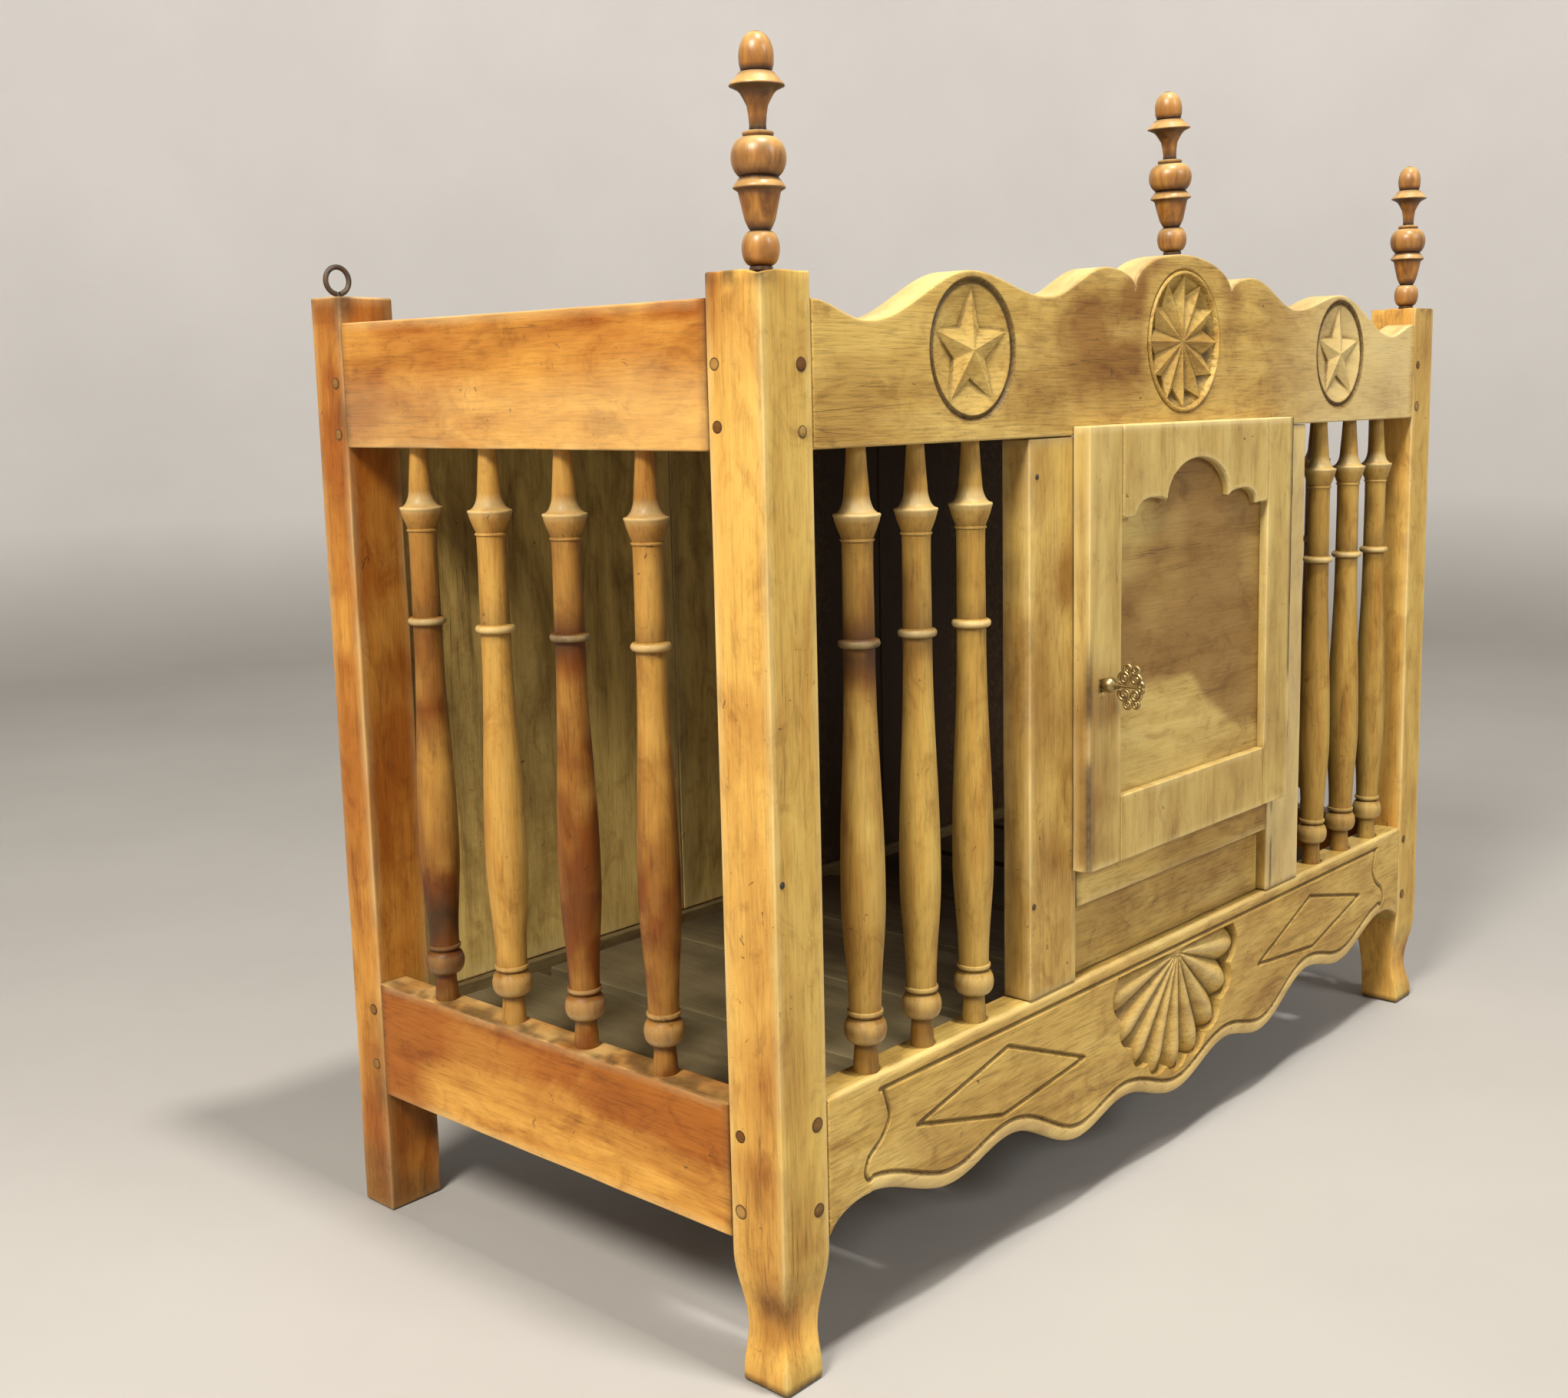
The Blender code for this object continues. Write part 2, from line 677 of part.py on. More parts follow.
def crest_rail():
    half = crest_edge()
    outline = mirrored(half) + [(SPAN_HALF, UPPER_LINE), (-SPAN_HALF, UPPER_LINE)]
    rail = add_piece("crest_rail", plate_shape(outline, FRONT, RAIL_BACK), OLIVE)
    places = [place for side, _ in SIDES for place in front_places(side)]
    cut(rail, "crest_tenons", tenon_holes(places, UPPER_LINE, 1))
    star_z, star_radius = roundel(UPPER_LINE, UPPER_LINE + STAR_PEAK_RISE, STAR_CAP)
    for side, word in SIDES:
        centre = (side * STAR_PEAK_SHARE * SPAN_HALF, star_z)
        cut(rail, word + "_star_die", star_die(centre, STAR_POINTS, star_radius, STAR_TIP_SHARE, STAR_WAIST_SHARE))
    rosette_z, rosette_radius = roundel(UPPER_LINE, UPPER_LINE + CREST_CENTRE_RISE, ROSETTE_CAP)
    petals = star_die(
        (0, rosette_z), ROSETTE_PETALS, rosette_radius, ROSETTE_TIP_SHARE, ROSETTE_WAIST_SHARE,
    )
    cut(rail, "rosette_die", petals)
    hole = cut(rail, "centre_finial_hole", peg_hole((0, 0, 0)))
    lean_finial(hole)
    return rail


def apron_edge():
    """The right half of the apron's wavy lower edge, from the middle to the post."""
    low = (0.0, APRON_CENTRE_HEIGHT)
    inner = (INNER_ARCH_SHARE * SPAN_HALF, INNER_ARCH_HEIGHT)
    second = (SECOND_LOBE_SHARE * SPAN_HALF, SECOND_LOBE_HEIGHT)
    outer = (OUTER_ARCH_SHARE * SPAN_HALF, OUTER_ARCH_HEIGHT)
    first = (FIRST_LOBE_SHARE * SPAN_HALF, FIRST_LOBE_HEIGHT)
    cusp = (APRON_CUSP_SHARE * SPAN_HALF, APRON_CUSP_HEIGHT)
    half = [low]
    half += eased(low, inner, 6)
    half += eased(inner, second, 5)
    half += eased(second, outer, 7)
    half += eased(outer, first, 5)
    half += eased(first, cusp, 7)
    half += quarter(cusp, (SPAN_HALF, KNEE_HEIGHT), 6, True)
    return half


def shell_die():
    """A cutter that leaves a fan of ridged lobes below its pivot."""
    pivot_z = LOWER_LINE - SHELL_DROP
    radius = pivot_z - APRON_CENTRE_HEIGHT - SHELL_MARGIN
    shape = bmesh.new()

    def ray(angle, reach, y):
        return shape.verts.new((reach * math.cos(angle), y, pivot_z + reach * math.sin(angle)))

    mouth = [shape.verts.new((0, FRONT - BITE, pivot_z))]
    floor = [shape.verts.new((0, FRONT + RIDGE_DEPTH, pivot_z))]
    for step in range(2 * SHELL_LOBES + 1):
        angle = math.pi + math.pi * step / (2 * SHELL_LOBES)
        on_ridge = step % 2 == 1
        reach = radius if on_ridge else radius - SHELL_SCALLOP
        depth = RIDGE_DEPTH if on_ridge else CARVING_DEPTH
        mouth.append(ray(angle, reach, FRONT - BITE))
        floor.append(ray(angle, reach, FRONT + depth))
    shape.faces.new(mouth)
    count = len(mouth)
    for step in range(count):
        following = (step + 1) % count
        shape.faces.new((mouth[step], mouth[following], floor[following], floor[step]))
    for step in range(1, count - 1):
        shape.faces.new((floor[0], floor[step], floor[step + 1]))
    return shape


def apron():
    outline = mirrored(apron_edge()) + [(SPAN_HALF, LOWER_LINE), (-SPAN_HALF, LOWER_LINE)]
    rail = add_piece("apron", plate_shape(outline, FRONT, RAIL_BACK), OLIVE)
    places = [place for side, _ in SIDES for place in front_places(side)]
    cut(rail, "apron_tenons", tenon_holes(places, LOWER_LINE, -1))
    cut(rail, "shell_die", shell_die())
    cut(rail, "apron_slat_groove", slat_groove(RAIL_BACK, -1))
    return rail


# Doorway


def mullion(name, side):
    outer = side * MULLION_OUTER
    inner = side * (OPENING_HALF + FIT)
    low = (min(outer, inner), FRONT, LOWER_LINE + FIT)
    high = (max(outer, inner), RAIL_BACK, UPPER_LINE - FIT)
    return board(name, low, high, OLIVE)


def doorway():
    left = mullion("left_mullion", -1)
    mullion("right_mullion", 1)
    reach = BOLT_HEAD - BOLT_THROW - MORTISE_PLAY
    half = BOLT_HEIGHT / 2 + MORTISE_PLAY
    low = (reach, BOLT_Y - BOLT_THICKNESS / 2 - MORTISE_PLAY, BOLT_Z - half)
    high = (-OPENING_HALF + BITE, BOLT_Y + BOLT_THICKNESS / 2 + MORTISE_PLAY, BOLT_Z + half)
    cut(left, "bolt_mortise", box_shape(low, high))
    board(
        "door_sill",
        (-OPENING_HALF, FRONT, SILL_FOOT),
        (OPENING_HALF, RAIL_BACK, SILL_TOP),
        OLIVE,
    )
    panel_front = FRONT + LOWER_PANEL_SETBACK
    board(
        "lower_panel",
        (-OPENING_HALF, panel_front, LOWER_LINE + FIT),
        (OPENING_HALF, panel_front + LOWER_PANEL_THICKNESS, SILL_FOOT - FIT),
        OLIVE,
    )


# Door


def door_member(name, low, high, pivot):
    """A lipped stile or rail; low and high are (x, z) corners of its lip."""
    piece = board(name, (low[0], DOOR_FACE, low[1]), (high[0], LIP_BACK, high[1]), OLIVE, pivot)
    inner_low = (max(low[0], -TONGUE_HALF), LIP_BACK - BITE, max(low[1], TONGUE_LOW))
    inner_high = (min(high[0], TONGUE_HALF), DOOR_BACK, min(high[1], TONGUE_HIGH))
    carry(join(piece, name + "_tongue", box_shape(inner_low, inner_high)), pivot)
    return piece


def panel_groove(low, high):
    """Groove cutter for the door's panel; low and high are (x, z) corners."""
    return box_shape((low[0], PANEL_FRONT - FIT, low[1]), (high[0], PANEL_BACK + FIT, high[1]))


def head_rail_outline():
    """The scalloped lower edge of the door's top rail, as its right half from the middle."""
    arch_x = ARCH_HALF_SHARE * STILE_INNER
    step_x = STEP_PLACE_SHARE * STILE_INNER
    shoulder_x = arch_x + SHOULDER_PLACE_SHARE * (step_x - arch_x)
    top = (0.0, ARCH_TOP)
    spring = (arch_x, STEP_LINE + ARCH_SPRING_SHARE * DOOR_HEAD_RAIL_HEIGHT)
    shoulder = (shoulder_x, STEP_LINE + SHOULDER_RISE_SHARE * DOOR_HEAD_RAIL_HEIGHT)
    step = (step_x, STEP_LINE)
    half = [top]
    half += quarter(top, spring, 8, True)
    half += quarter(spring, shoulder, 4, False)
    half += quarter(shoulder, step, 4, True)
    half.append((STILE_INNER - FIT, STEP_LINE))
    return half


def door_head_rail(pivot):
    edge = mirrored(head_rail_outline())
    side = STILE_INNER - FIT
    lip = plate_shape(edge + [(side, DOOR_HIGH), (-side, DOOR_HIGH)], DOOR_FACE, LIP_BACK)
    rail = add_piece("door_head_rail", lip, OLIVE, pivot)
    tongue = plate_shape(edge + [(side, TONGUE_HIGH), (-side, TONGUE_HIGH)], LIP_BACK - BITE, DOOR_BACK)
    carry(join(rail, "door_head_tongue", tongue), pivot)
    reach = STILE_INNER + BITE
    groove = panel_groove((-reach, STEP_LINE - BITE), (reach, PANEL_HIGH + FIT))
    carry(cut(rail, "door_head_groove", groove), pivot)
    return rail


def door_stile(name, side, pivot):
    outer = side * DOOR_HALF
    inner = side * STILE_INNER
    low = (min(outer, inner), DOOR_LOW)
    high = (max(outer, inner), DOOR_HIGH)
    stile = door_member(name, low, high, pivot)
    deep = inner + side * (PANEL_TONGUE + FIT)
    out = inner - side * BITE
    groove_low = (min(deep, out), DOOR_LOW + DOOR_FOOT_RAIL_HEIGHT - PANEL_TONGUE - FIT)
    groove_high = (max(deep, out), PANEL_HIGH + FIT)
    carry(cut(stile, name + "_groove", panel_groove(groove_low, groove_high)), pivot)
    return stile


def keyhole(stile, pivot):
    """A round hole for the key's shaft with a slot below for its bit."""
    near = (KEY_X, DOOR_FACE - BITE, KEY_HEIGHT)
    far = (KEY_X, DOOR_BACK + BITE, KEY_HEIGHT)
    bore = rod_shape(hole_radius(SHAFT_RADIUS, ROD_SIDES), near, far, ROD_SIDES)
    carry(cut(stile, "keyhole_bore", bore), pivot)
    half = BIT_WIDTH / 2 + FIT
    low = (KEY_X - half, DOOR_FACE - BITE, KEY_HEIGHT - BIT_REACH - FIT)
    high = (KEY_X + half, DOOR_BACK + BITE, KEY_HEIGHT)
    carry(cut(stile, "keyhole_slot", box_shape(low, high)), pivot)


def door(pivot):
    keyhole(door_stile("door_lock_stile", -1, pivot), pivot)
    door_stile("door_hinge_stile", 1, pivot)
    door_head_rail(pivot)
    side = STILE_INNER - FIT
    foot_top = DOOR_LOW + DOOR_FOOT_RAIL_HEIGHT
    foot = door_member("door_foot_rail", (-side, DOOR_LOW), (side, foot_top), pivot)
    past = STILE_INNER + BITE
    groove = panel_groove((-past, foot_top - PANEL_TONGUE - FIT), (past, foot_top + BITE))
    carry(cut(foot, "door_foot_groove", groove), pivot)
    reach = STILE_INNER + PANEL_TONGUE
    board(
        "door_panel",
        (-reach, PANEL_FRONT, foot_top - PANEL_TONGUE),
        (reach, PANEL_BACK, PANEL_HIGH),
        OLIVE,
        pivot,
    )


# Hinges


def barrel(low, high):
    return rod_shape(BARREL_RADIUS, (PIN_X, PIN_Y, low), (PIN_X, PIN_Y, high), ROD_SIDES)


def hinge(word, middle, pivot):
    """A butt hinge: a frame leaf with two knuckles and the pin, and a door leaf with one knuckle."""
    half = HINGE_LENGTH / 2
    knuckle = HINGE_LENGTH / 6
    plate_back = FRONT - FIT
    plate_front = plate_back - LEAF_THICKNESS
    frame_low = (PIN_X, plate_front, middle - half)
    frame_high = (PIN_X + FRAME_LEAF_WIDTH, plate_back, middle + half)
    frame_leaf = add_piece(word + "_hinge_frame_leaf", box_shape(frame_low, frame_high), IRON)
    join(frame_leaf, word + "_frame_barrel", barrel(middle - half, middle + half))
    room = BARREL_RADIUS + FIT
    gap_low = (PIN_X - room, PIN_Y - room, middle - knuckle)
    gap_high = (PIN_X + room, FRONT, middle + knuckle)
    cut(frame_leaf, word + "_knuckle_room", box_shape(gap_low, gap_high))
    pin_ends = ((PIN_X, PIN_Y, middle - half + FIT), (PIN_X, PIN_Y, middle + half - FIT))
    join(frame_leaf, word + "_pin", rod_shape(PIN_RADIUS, *pin_ends, ROD_SIDES))

    left = DOOR_HALF + FIT
    door_low = (left, PIN_Y - DOOR_LEAF_WIDTH, middle - knuckle + FIT)
    door_high = (left + LEAF_THICKNESS, PIN_Y, middle + knuckle - FIT)
    door_leaf = add_piece(word + "_hinge_door_leaf", box_shape(door_low, door_high), IRON, pivot)
    carry(join(door_leaf, word + "_door_barrel", barrel(door_low[2], door_high[2])), pivot)
    bore_ends = ((PIN_X, PIN_Y, door_low[2] - BITE), (PIN_X, PIN_Y, door_high[2] + BITE))
    bore = rod_shape(hole_radius(PIN_RADIUS, ROD_SIDES), *bore_ends, ROD_SIDES)
    carry(cut(door_leaf, word + "_pin_bore", bore), pivot)


# Lock and key


def lock_case(pivot):
    """A shallow iron case on the back of the lock stile, open towards the stile."""
    low = Vector((CASE_LEFT, CASE_FRONT, KEY_HEIGHT - CASE_HEIGHT / 2))
    high = Vector((CASE_LEFT + CASE_WIDTH, CASE_BACK, KEY_HEIGHT + CASE_HEIGHT / 2))
    case = add_piece("lock_case", box_shape(low, high), IRON, pivot)
    wall = Vector((CASE_WALL, 0, CASE_WALL))
    room = box_shape(low + wall - Vector((0, BITE, 0)), high - wall - Vector((0, CASE_WALL, 0)))
    carry(cut(case, "lock_room", room), pivot)
    half_y = BOLT_THICKNESS / 2 + FIT
    half_z = BOLT_HEIGHT / 2 + FIT
    slot_low = (CASE_LEFT - BITE, BOLT_Y - half_y, BOLT_Z - half_z)
    slot_high = (CASE_LEFT + CASE_WALL + BITE, BOLT_Y + half_y, BOLT_Z + half_z)
    carry(cut(case, "bolt_slot", box_shape(slot_low, slot_high)), pivot)


def lock_bolt(pivot):
    """The bolt, drawn back into its case."""
    low = (BOLT_HEAD, BOLT_Y - BOLT_THICKNESS / 2, BOLT_Z - BOLT_HEIGHT / 2)
    high = (BOLT_HEAD + BOLT_LENGTH, BOLT_Y + BOLT_THICKNESS / 2, BOLT_Z + BOLT_HEIGHT / 2)
    return add_piece("lock_bolt", box_shape(low, high), IRON, pivot)


def bow_outline():
    """The key's bow, as (out, up) points round a waisted oval with a cleft at its end."""
    points = []
    count = 24
    for step in range(count):
        angle = 2 * math.pi * step / count
        lobe = 1 - BOW_WAIST_SHARE * math.cos(2 * angle) ** 2 + BOW_LOBE_SHARE * math.cos(4 * angle)
        out = BOW_LENGTH / 2 * (1 - math.cos(angle))
        up = BOW_HEIGHT / 2 * lobe * math.sin(angle)
        points.append((out, up))
    return points


def key_stations():
    """Radius and distance of the key's round parts, from its inner end outwards."""
    seat = DOOR_FACE - FIT
    inner_end = CASE_BACK - CASE_WALL - FIT
    neck_end = seat - 2 * KEY_BALL_RADIUS - KEY_NECK_LENGTH
    stations = [(0, inner_end), (SHAFT_RADIUS, inner_end), (SHAFT_RADIUS, seat)]
    for step in range(1, 7):
        angle = math.pi * step / 7
        radius = max(KEY_BALL_RADIUS * math.sin(angle), KEY_NECK_RADIUS)
        stations.append((radius, seat - KEY_BALL_RADIUS * (1 - math.cos(angle))))
    stations.append((KEY_NECK_RADIUS, seat - 2 * KEY_BALL_RADIUS))
    stations.append((KEY_NECK_RADIUS, neck_end - BITE))
    stations.append((0, neck_end - BITE))
    return stations, neck_end


def key(pivot):
    """The brass key, with its pierced bow upright as it stands in the lock."""
    stations, neck_end = key_stations()
    shape = turned_shape([(radius, -y) for radius, y in stations], ROD_SIDES)
    lay = Matrix.Translation((KEY_X, 0, KEY_HEIGHT)) @ Matrix.Rotation(math.pi / 2, 4, "X")
    bmesh.ops.transform(shape, matrix=lay, verts=shape.verts)
    made = add_piece("key", shape, BRASS, pivot)
    shade_round(made)

    bow = bmesh.new()
    half = BOW_THICKNESS / 2
    rim = [bow.verts.new((KEY_X - half, neck_end - out, KEY_HEIGHT + up)) for out, up in bow_outline()]
    face = bow.faces.new(rim)
    grown = bmesh.ops.extrude_face_region(bow, geom=[face])["geom"]
    moved = [item for item in grown if isinstance(item, bmesh.types.BMVert)]
    bmesh.ops.translate(bow, vec=(BOW_THICKNESS, 0, 0), verts=moved)
    carry(join(made, "key_bow", bow), pivot)

    bow_middle = neck_end - BOW_LENGTH / 2
    holes = []
    for side, _ in SIDES:
        z = KEY_HEIGHT + side * BOW_HOLE_SHARE * BOW_HEIGHT
        near = (KEY_X - half - BITE, bow_middle, z)
        far = (KEY_X + half + BITE, bow_middle, z)
        holes.append((near, far))
    carry(cut(made, "bow_holes", rods_shape(BOW_HOLE_RADIUS, holes, ROD_SIDES)), pivot)

    bit_back = CASE_BACK - CASE_WALL - 2 * FIT
    bit_low = (KEY_X - BIT_WIDTH / 2, CASE_FRONT + FIT, KEY_HEIGHT - BIT_REACH)
    bit_high = (KEY_X + BIT_WIDTH / 2, bit_back, KEY_HEIGHT)
    carry(join(made, "key_bit", box_shape(bit_low, bit_high)), pivot)


# Back, top and floor


def back_boards():
    """Upright boards side by side between the rear posts."""
    low = REAR_BOTTOM_RAIL_TOP + FIT
    high = UPPER_RAIL_TOP - REAR_TOP_RAIL_HEIGHT - FIT
    room = 2 * REAR_HALF
    width = (room - (BACK_BOARDS - 1) * FIT) / BACK_BOARDS
    front = (REAR_RAIL_FRONT + REAR_RAIL_BACK - BOARD_THICKNESS) / 2
    for step in range(BACK_BOARDS):
        left = -REAR_HALF + step * (width + FIT)
        board(
            f"back_board_{step + 1}",
            (left, front, low),
            (left + width, front + BOARD_THICKNESS, high),
            DUSKY,
        )


def post_notch(board_piece, name, side, front, back, width):
    outer = side * (WIDTH / 2)
    inner = side * (WIDTH / 2 - width - FIT)
    low = (min(outer, inner), front, UPPER_LINE)
    high = (max(outer, inner), back, UPPER_RAIL_TOP)
    cut(board_piece, name, box_shape(low, high))


def top_boards():
    """Two long boards in the grooves of the side rails, notched round the posts."""
    reach = WIDTH / 2 - RAIL_THICKNESS + GROOVE
    high = UPPER_RAIL_TOP - TOP_DROP
    front = RAIL_BACK + FIT
    back = REAR_RAIL_FRONT - FIT
    pitch = (back - front) / TOP_BOARDS
    for step in range(TOP_BOARDS):
        start = front + pitch * step
        end = start + pitch - (FIT if step < TOP_BOARDS - 1 else 0)
        low = high - BOARD_THICKNESS
        piece = board(f"top_board_{step + 1}", (-reach, start, low), (reach, end, high), DUSKY)
        for side, word in SIDES:
            name = f"{word}_notch_{step + 1}"
            if step == 0:
                post_notch(piece, name, side, start - BITE, SIDE_FRONT, FRONT_POST_WIDTH)
            if step == TOP_BOARDS - 1:
                post_notch(piece, name + "_rear", side, SIDE_BACK, end + BITE, REAR_POST_WIDTH)


def floor_slats():
    room = 2 * REAR_HALF
    width = (room - (SLATS - 1) * SLAT_GAP) / SLATS
    for step in range(SLATS):
        left = -REAR_HALF + step * (width + SLAT_GAP)
        board(
            f"floor_slat_{step + 1}",
            (left, RAIL_BACK - GROOVE, FLOOR_TOP - SLAT_THICKNESS),
            (left + width, REAR_RAIL_FRONT + GROOVE, FLOOR_TOP),
            DUSKY,
        )


# Turned pieces


def bead(radius, edge, top, bottom, count):
    """Points down a round bead between two heights."""
    points = []
    for step in range(count + 1):
        angle = math.pi * step / count
        height = top + (bottom - top) * (1 - math.cos(angle)) / 2
        points.append((edge + (radius - edge) * math.sin(angle), height))
    return points


def swell(start, end, count):
    """Points after start, down to end, with the radius easing from one to the other."""
    points = []
    for step in range(1, count + 1):
        share = step / count
        points.append((ease(start[0], end[0], share), start[1] + (end[1] - start[1]) * share))
    return points


def spindle_stations():
    """Radius and height of a spindle, from its top tenon to its bottom one."""
    top = UPPER_LINE - FIT
    foot = LOWER_LINE + FIT
    collar = UPPER_LINE - COLLAR_DROP
    ring = UPPER_LINE - RING_DROP
    belly = LOWER_LINE + BELLY_RISE
    bead_middle = LOWER_LINE + BEAD_RISE
    bead_top = bead_middle + BEAD_HEIGHT / 2
    bead_foot = bead_middle - BEAD_HEIGHT / 2
    stations = [(0, top + TENON_LENGTH), (TENON_RADIUS, top + TENON_LENGTH)]
    stations += [(TENON_RADIUS, top), (NECK_RADIUS, top)]
    edge = [(COLLAR_RADIUS * out, collar + COLLAR_HEIGHT * up) for out, up in COLLAR_EDGE_SHARES]
    stations.append((NECK_FOOT_RADIUS, top - NECK_LENGTH))
    stations += edge
    stations.append((SHAFT_TOP_RADIUS, collar - COLLAR_HEIGHT * COLLAR_FOOT_SHARE))
    stations += bead(RING_RADIUS, SHAFT_TOP_RADIUS, ring + RING_HEIGHT / 2, ring - RING_HEIGHT / 2, 2)
    stations += swell(stations[-1], (BELLY_RADIUS, belly), 3)
    stations += swell(stations[-1], (ABOVE_BEAD_RADIUS, bead_top), 2)
    stations += bead(BEAD_RADIUS, ABOVE_BEAD_RADIUS, bead_top, bead_foot, 4)[1:]
    stations.append((FOOT_PEG_RADIUS, (bead_foot + foot) / 2))
    stations += [(FOOT_PEG_RADIUS, foot), (TENON_RADIUS, foot)]
    stations += [(TENON_RADIUS, foot - TENON_LENGTH), (0, foot - TENON_LENGTH)]
    return stations


def spindles():
    rows = (
        ("front_left_spindle", front_places(-1)),
        ("front_right_spindle", front_places(1)),
        ("left_side_spindle", side_places(-1)),
        ("right_side_spindle", side_places(1)),
    )
    for name, places in rows:
        for step, (x, y) in enumerate(places):
            turned = turned_shape(spindle_stations(), SPINDLE_SIDES)
            made = add_piece(f"{name}_{step + 1}", turned, AMBER)
            made.location = (x, y, 0)
            shade_round(made)


def finial_stations(share):
    """Radius and height of a finial above its seat, from the acorn down to its peg."""
    ball_foot = FINIAL_FOOT
    vase_foot = ball_foot + LOWER_BALL
    saucer_foot = vase_foot + VASE
    ball_seat = saucer_foot + SAUCER
    collar = ball_seat + BALL
    stem = collar + STEM
    cup = stem + TRUMPET
    acorn_belly = cup + ACORN * ACORN_BELLY_SHARE
    tip = cup + ACORN
    stations = []
    for step in range(4):
        angle = math.pi / 2 * step / 3
        height = acorn_belly + (tip - acorn_belly) * math.cos(angle)
        stations.append((ACORN_RADIUS * math.sin(angle), height))
    stations.append((ACORN_RADIUS, cup + ACORN * ACORN_SEAT_SHARE))
    stations.append((CUP_RADIUS, cup))
    lip = (CUP_RADIUS * CUP_LIP_SHARE, cup - TRUMPET * CUP_RIM_SHARE)
    stations += swell(lip, (STEM_RADIUS, stem), 3)
    stations.append((STEM_RADIUS, collar + STEM * STEM_COLLAR_SHARE))
    stations.append((STEM_COLLAR_RADIUS, collar))
    stations += bead(BALL_RADIUS, STEM_COLLAR_RADIUS, collar - FIT, ball_seat, 5)
    stations.append((SAUCER_RADIUS, (saucer_foot + ball_seat) / 2))
    stations.append((VASE_TOP_RADIUS, saucer_foot))
    stations += swell(stations[-1], (VASE_FOOT_RADIUS, vase_foot), 2)
    stations += bead(LOWER_BALL_RADIUS, VASE_FOOT_RADIUS, vase_foot, ball_foot, 4)[1:]
    stations = [(radius, height * share) for radius, height in stations]
    stations += [(FINIAL_FOOT_RADIUS, FIT), (FINIAL_PEG_RADIUS, FIT)]
    stations += [(FINIAL_PEG_RADIUS, -FINIAL_PEG_LENGTH), (0, -FINIAL_PEG_LENGTH)]
    return stations


def finial_seat(side):
    """Seat of a finial on a front post."""
    return (side * (WIDTH - FRONT_POST_WIDTH) / 2, FRONT + FINIAL_INSET, FRONT_POST_HEIGHT)


def peg_hole(seat):
    x, y, z = seat
    return rod_shape(
        hole_radius(FINIAL_PEG_RADIUS, FINIAL_SIDES),
        (x, y, z - FINIAL_PEG_LENGTH - FIT),
        (x, y, z + BITE),
        FINIAL_SIDES,
    )


def lean_finial(piece):
    """Stands a piece on the middle of the crest, leaning as the middle finial does."""
    sink = FINIAL_FOOT_RADIUS * math.tan(FINIAL_LEAN)
    piece.location = (0, FRONT + SPINDLE_LINE, UPPER_LINE + CREST_CENTRE_RISE + sink)
    piece.rotation_euler = (0, -FINIAL_LEAN, 0)


def finials():
    for name, side in (("left_finial", -1), ("centre_finial", 0), ("right_finial", 1)):
        share = 1.0 if side else CENTRE_FINIAL_SHARE
        made = add_piece(name, turned_shape(finial_stations(share), FINIAL_SIDES), WALNUT)
        shade_round(made)
        if side:
            made.location = finial_seat(side)
        else:
            lean_finial(made)


# Screw eyes


def eye_place(side):
    return side * (WIDTH / 2 - EYE_INSET), BACK - REAR_POST_DEPTH / 2


def eye_top(side):
    """A point just above the post, on the eye's shank."""
    x, y = eye_place(side)
    return (x, y, REAR_POST_HEIGHT + EYE_WIRE)


def eye_foot(side):
    x, y = eye_place(side)
    return (x, y, REAR_POST_HEIGHT - EYE_SHANK_LENGTH - FIT)


def screw_eye(name, side):
    """A ring of round wire standing in the X-Z plane on its shank."""
    x, y = eye_place(side)
    centre_z = REAR_POST_HEIGHT + FIT + EYE_RADIUS + EYE_WIRE
    shape = bmesh.new()
    rings = []
    for step in range(EYE_SIDES):
        around = 2 * math.pi * step / EYE_SIDES
        ring = []
        for turn in range(WIRE_SIDES):
            angle = 2 * math.pi * turn / WIRE_SIDES
            radius = EYE_RADIUS + EYE_WIRE * math.cos(angle)
            along = x + radius * math.sin(around)
            across = y + EYE_WIRE * math.sin(angle)
            up = centre_z - radius * math.cos(around)
            ring.append(shape.verts.new((along, across, up)))
        rings.append(ring)
    for step in range(EYE_SIDES):
        here = rings[step]
        there = rings[(step + 1) % EYE_SIDES]
        for turn in range(WIRE_SIDES):
            following = (turn + 1) % WIRE_SIDES
            shape.faces.new((here[turn], here[following], there[following], there[turn]))
    made = add_piece(name, shape, IRON)
    shade_round(made)
    shank_top = (x, y, centre_z - EYE_RADIUS)
    shank_foot = (x, y, REAR_POST_HEIGHT - EYE_SHANK_LENGTH)
    join(made, name + "_shank", rod_shape(EYE_WIRE, shank_foot, shank_top, WIRE_SIDES))


def build():
    clear_scene()
    for side, word in SIDES:
        front_post(f"front_{word}_post", side)
        rear_post(f"rear_{word}_post", side)
        side_top_rail(f"{word}_top_rail", side)
        side_bottom_rail(f"{word}_bottom_rail", side)
        screw_eye(f"{word}_screw_eye", side)
    crest_rail()
    apron()
    doorway()
    rear_rails()
    back_boards()
    top_boards()
    floor_slats()
    spindles()
    finials()
    door_pivot = add_pivot("door_pivot", Vector((PIN_X, PIN_Y, 0)))
    door(door_pivot)
    hinge("lower", DOOR_LOW + HINGE_INSET, door_pivot)
    hinge("upper", DOOR_HIGH - HINGE_INSET, door_pivot)
    lock_case(door_pivot)
    lock_bolt(add_pivot("bolt_slide", Vector((BOLT_HEAD, BOLT_Y, BOLT_Z))))
    key(add_pivot("key_pivot", Vector((KEY_X, DOOR_FACE, KEY_HEIGHT))))


build()
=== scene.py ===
# %% [markdown]
# # Dressing a hanging bread cupboard
# The cupboard is a cage of turned spindles between four posts, with a carved crest, a carved apron and
# a small locking door. Its solids are already packed, so every size and joint is fixed. This lesson puts
# the real surfaces on that frame: rounded and worn boards, crisp carving, fine turning and waxed wood.

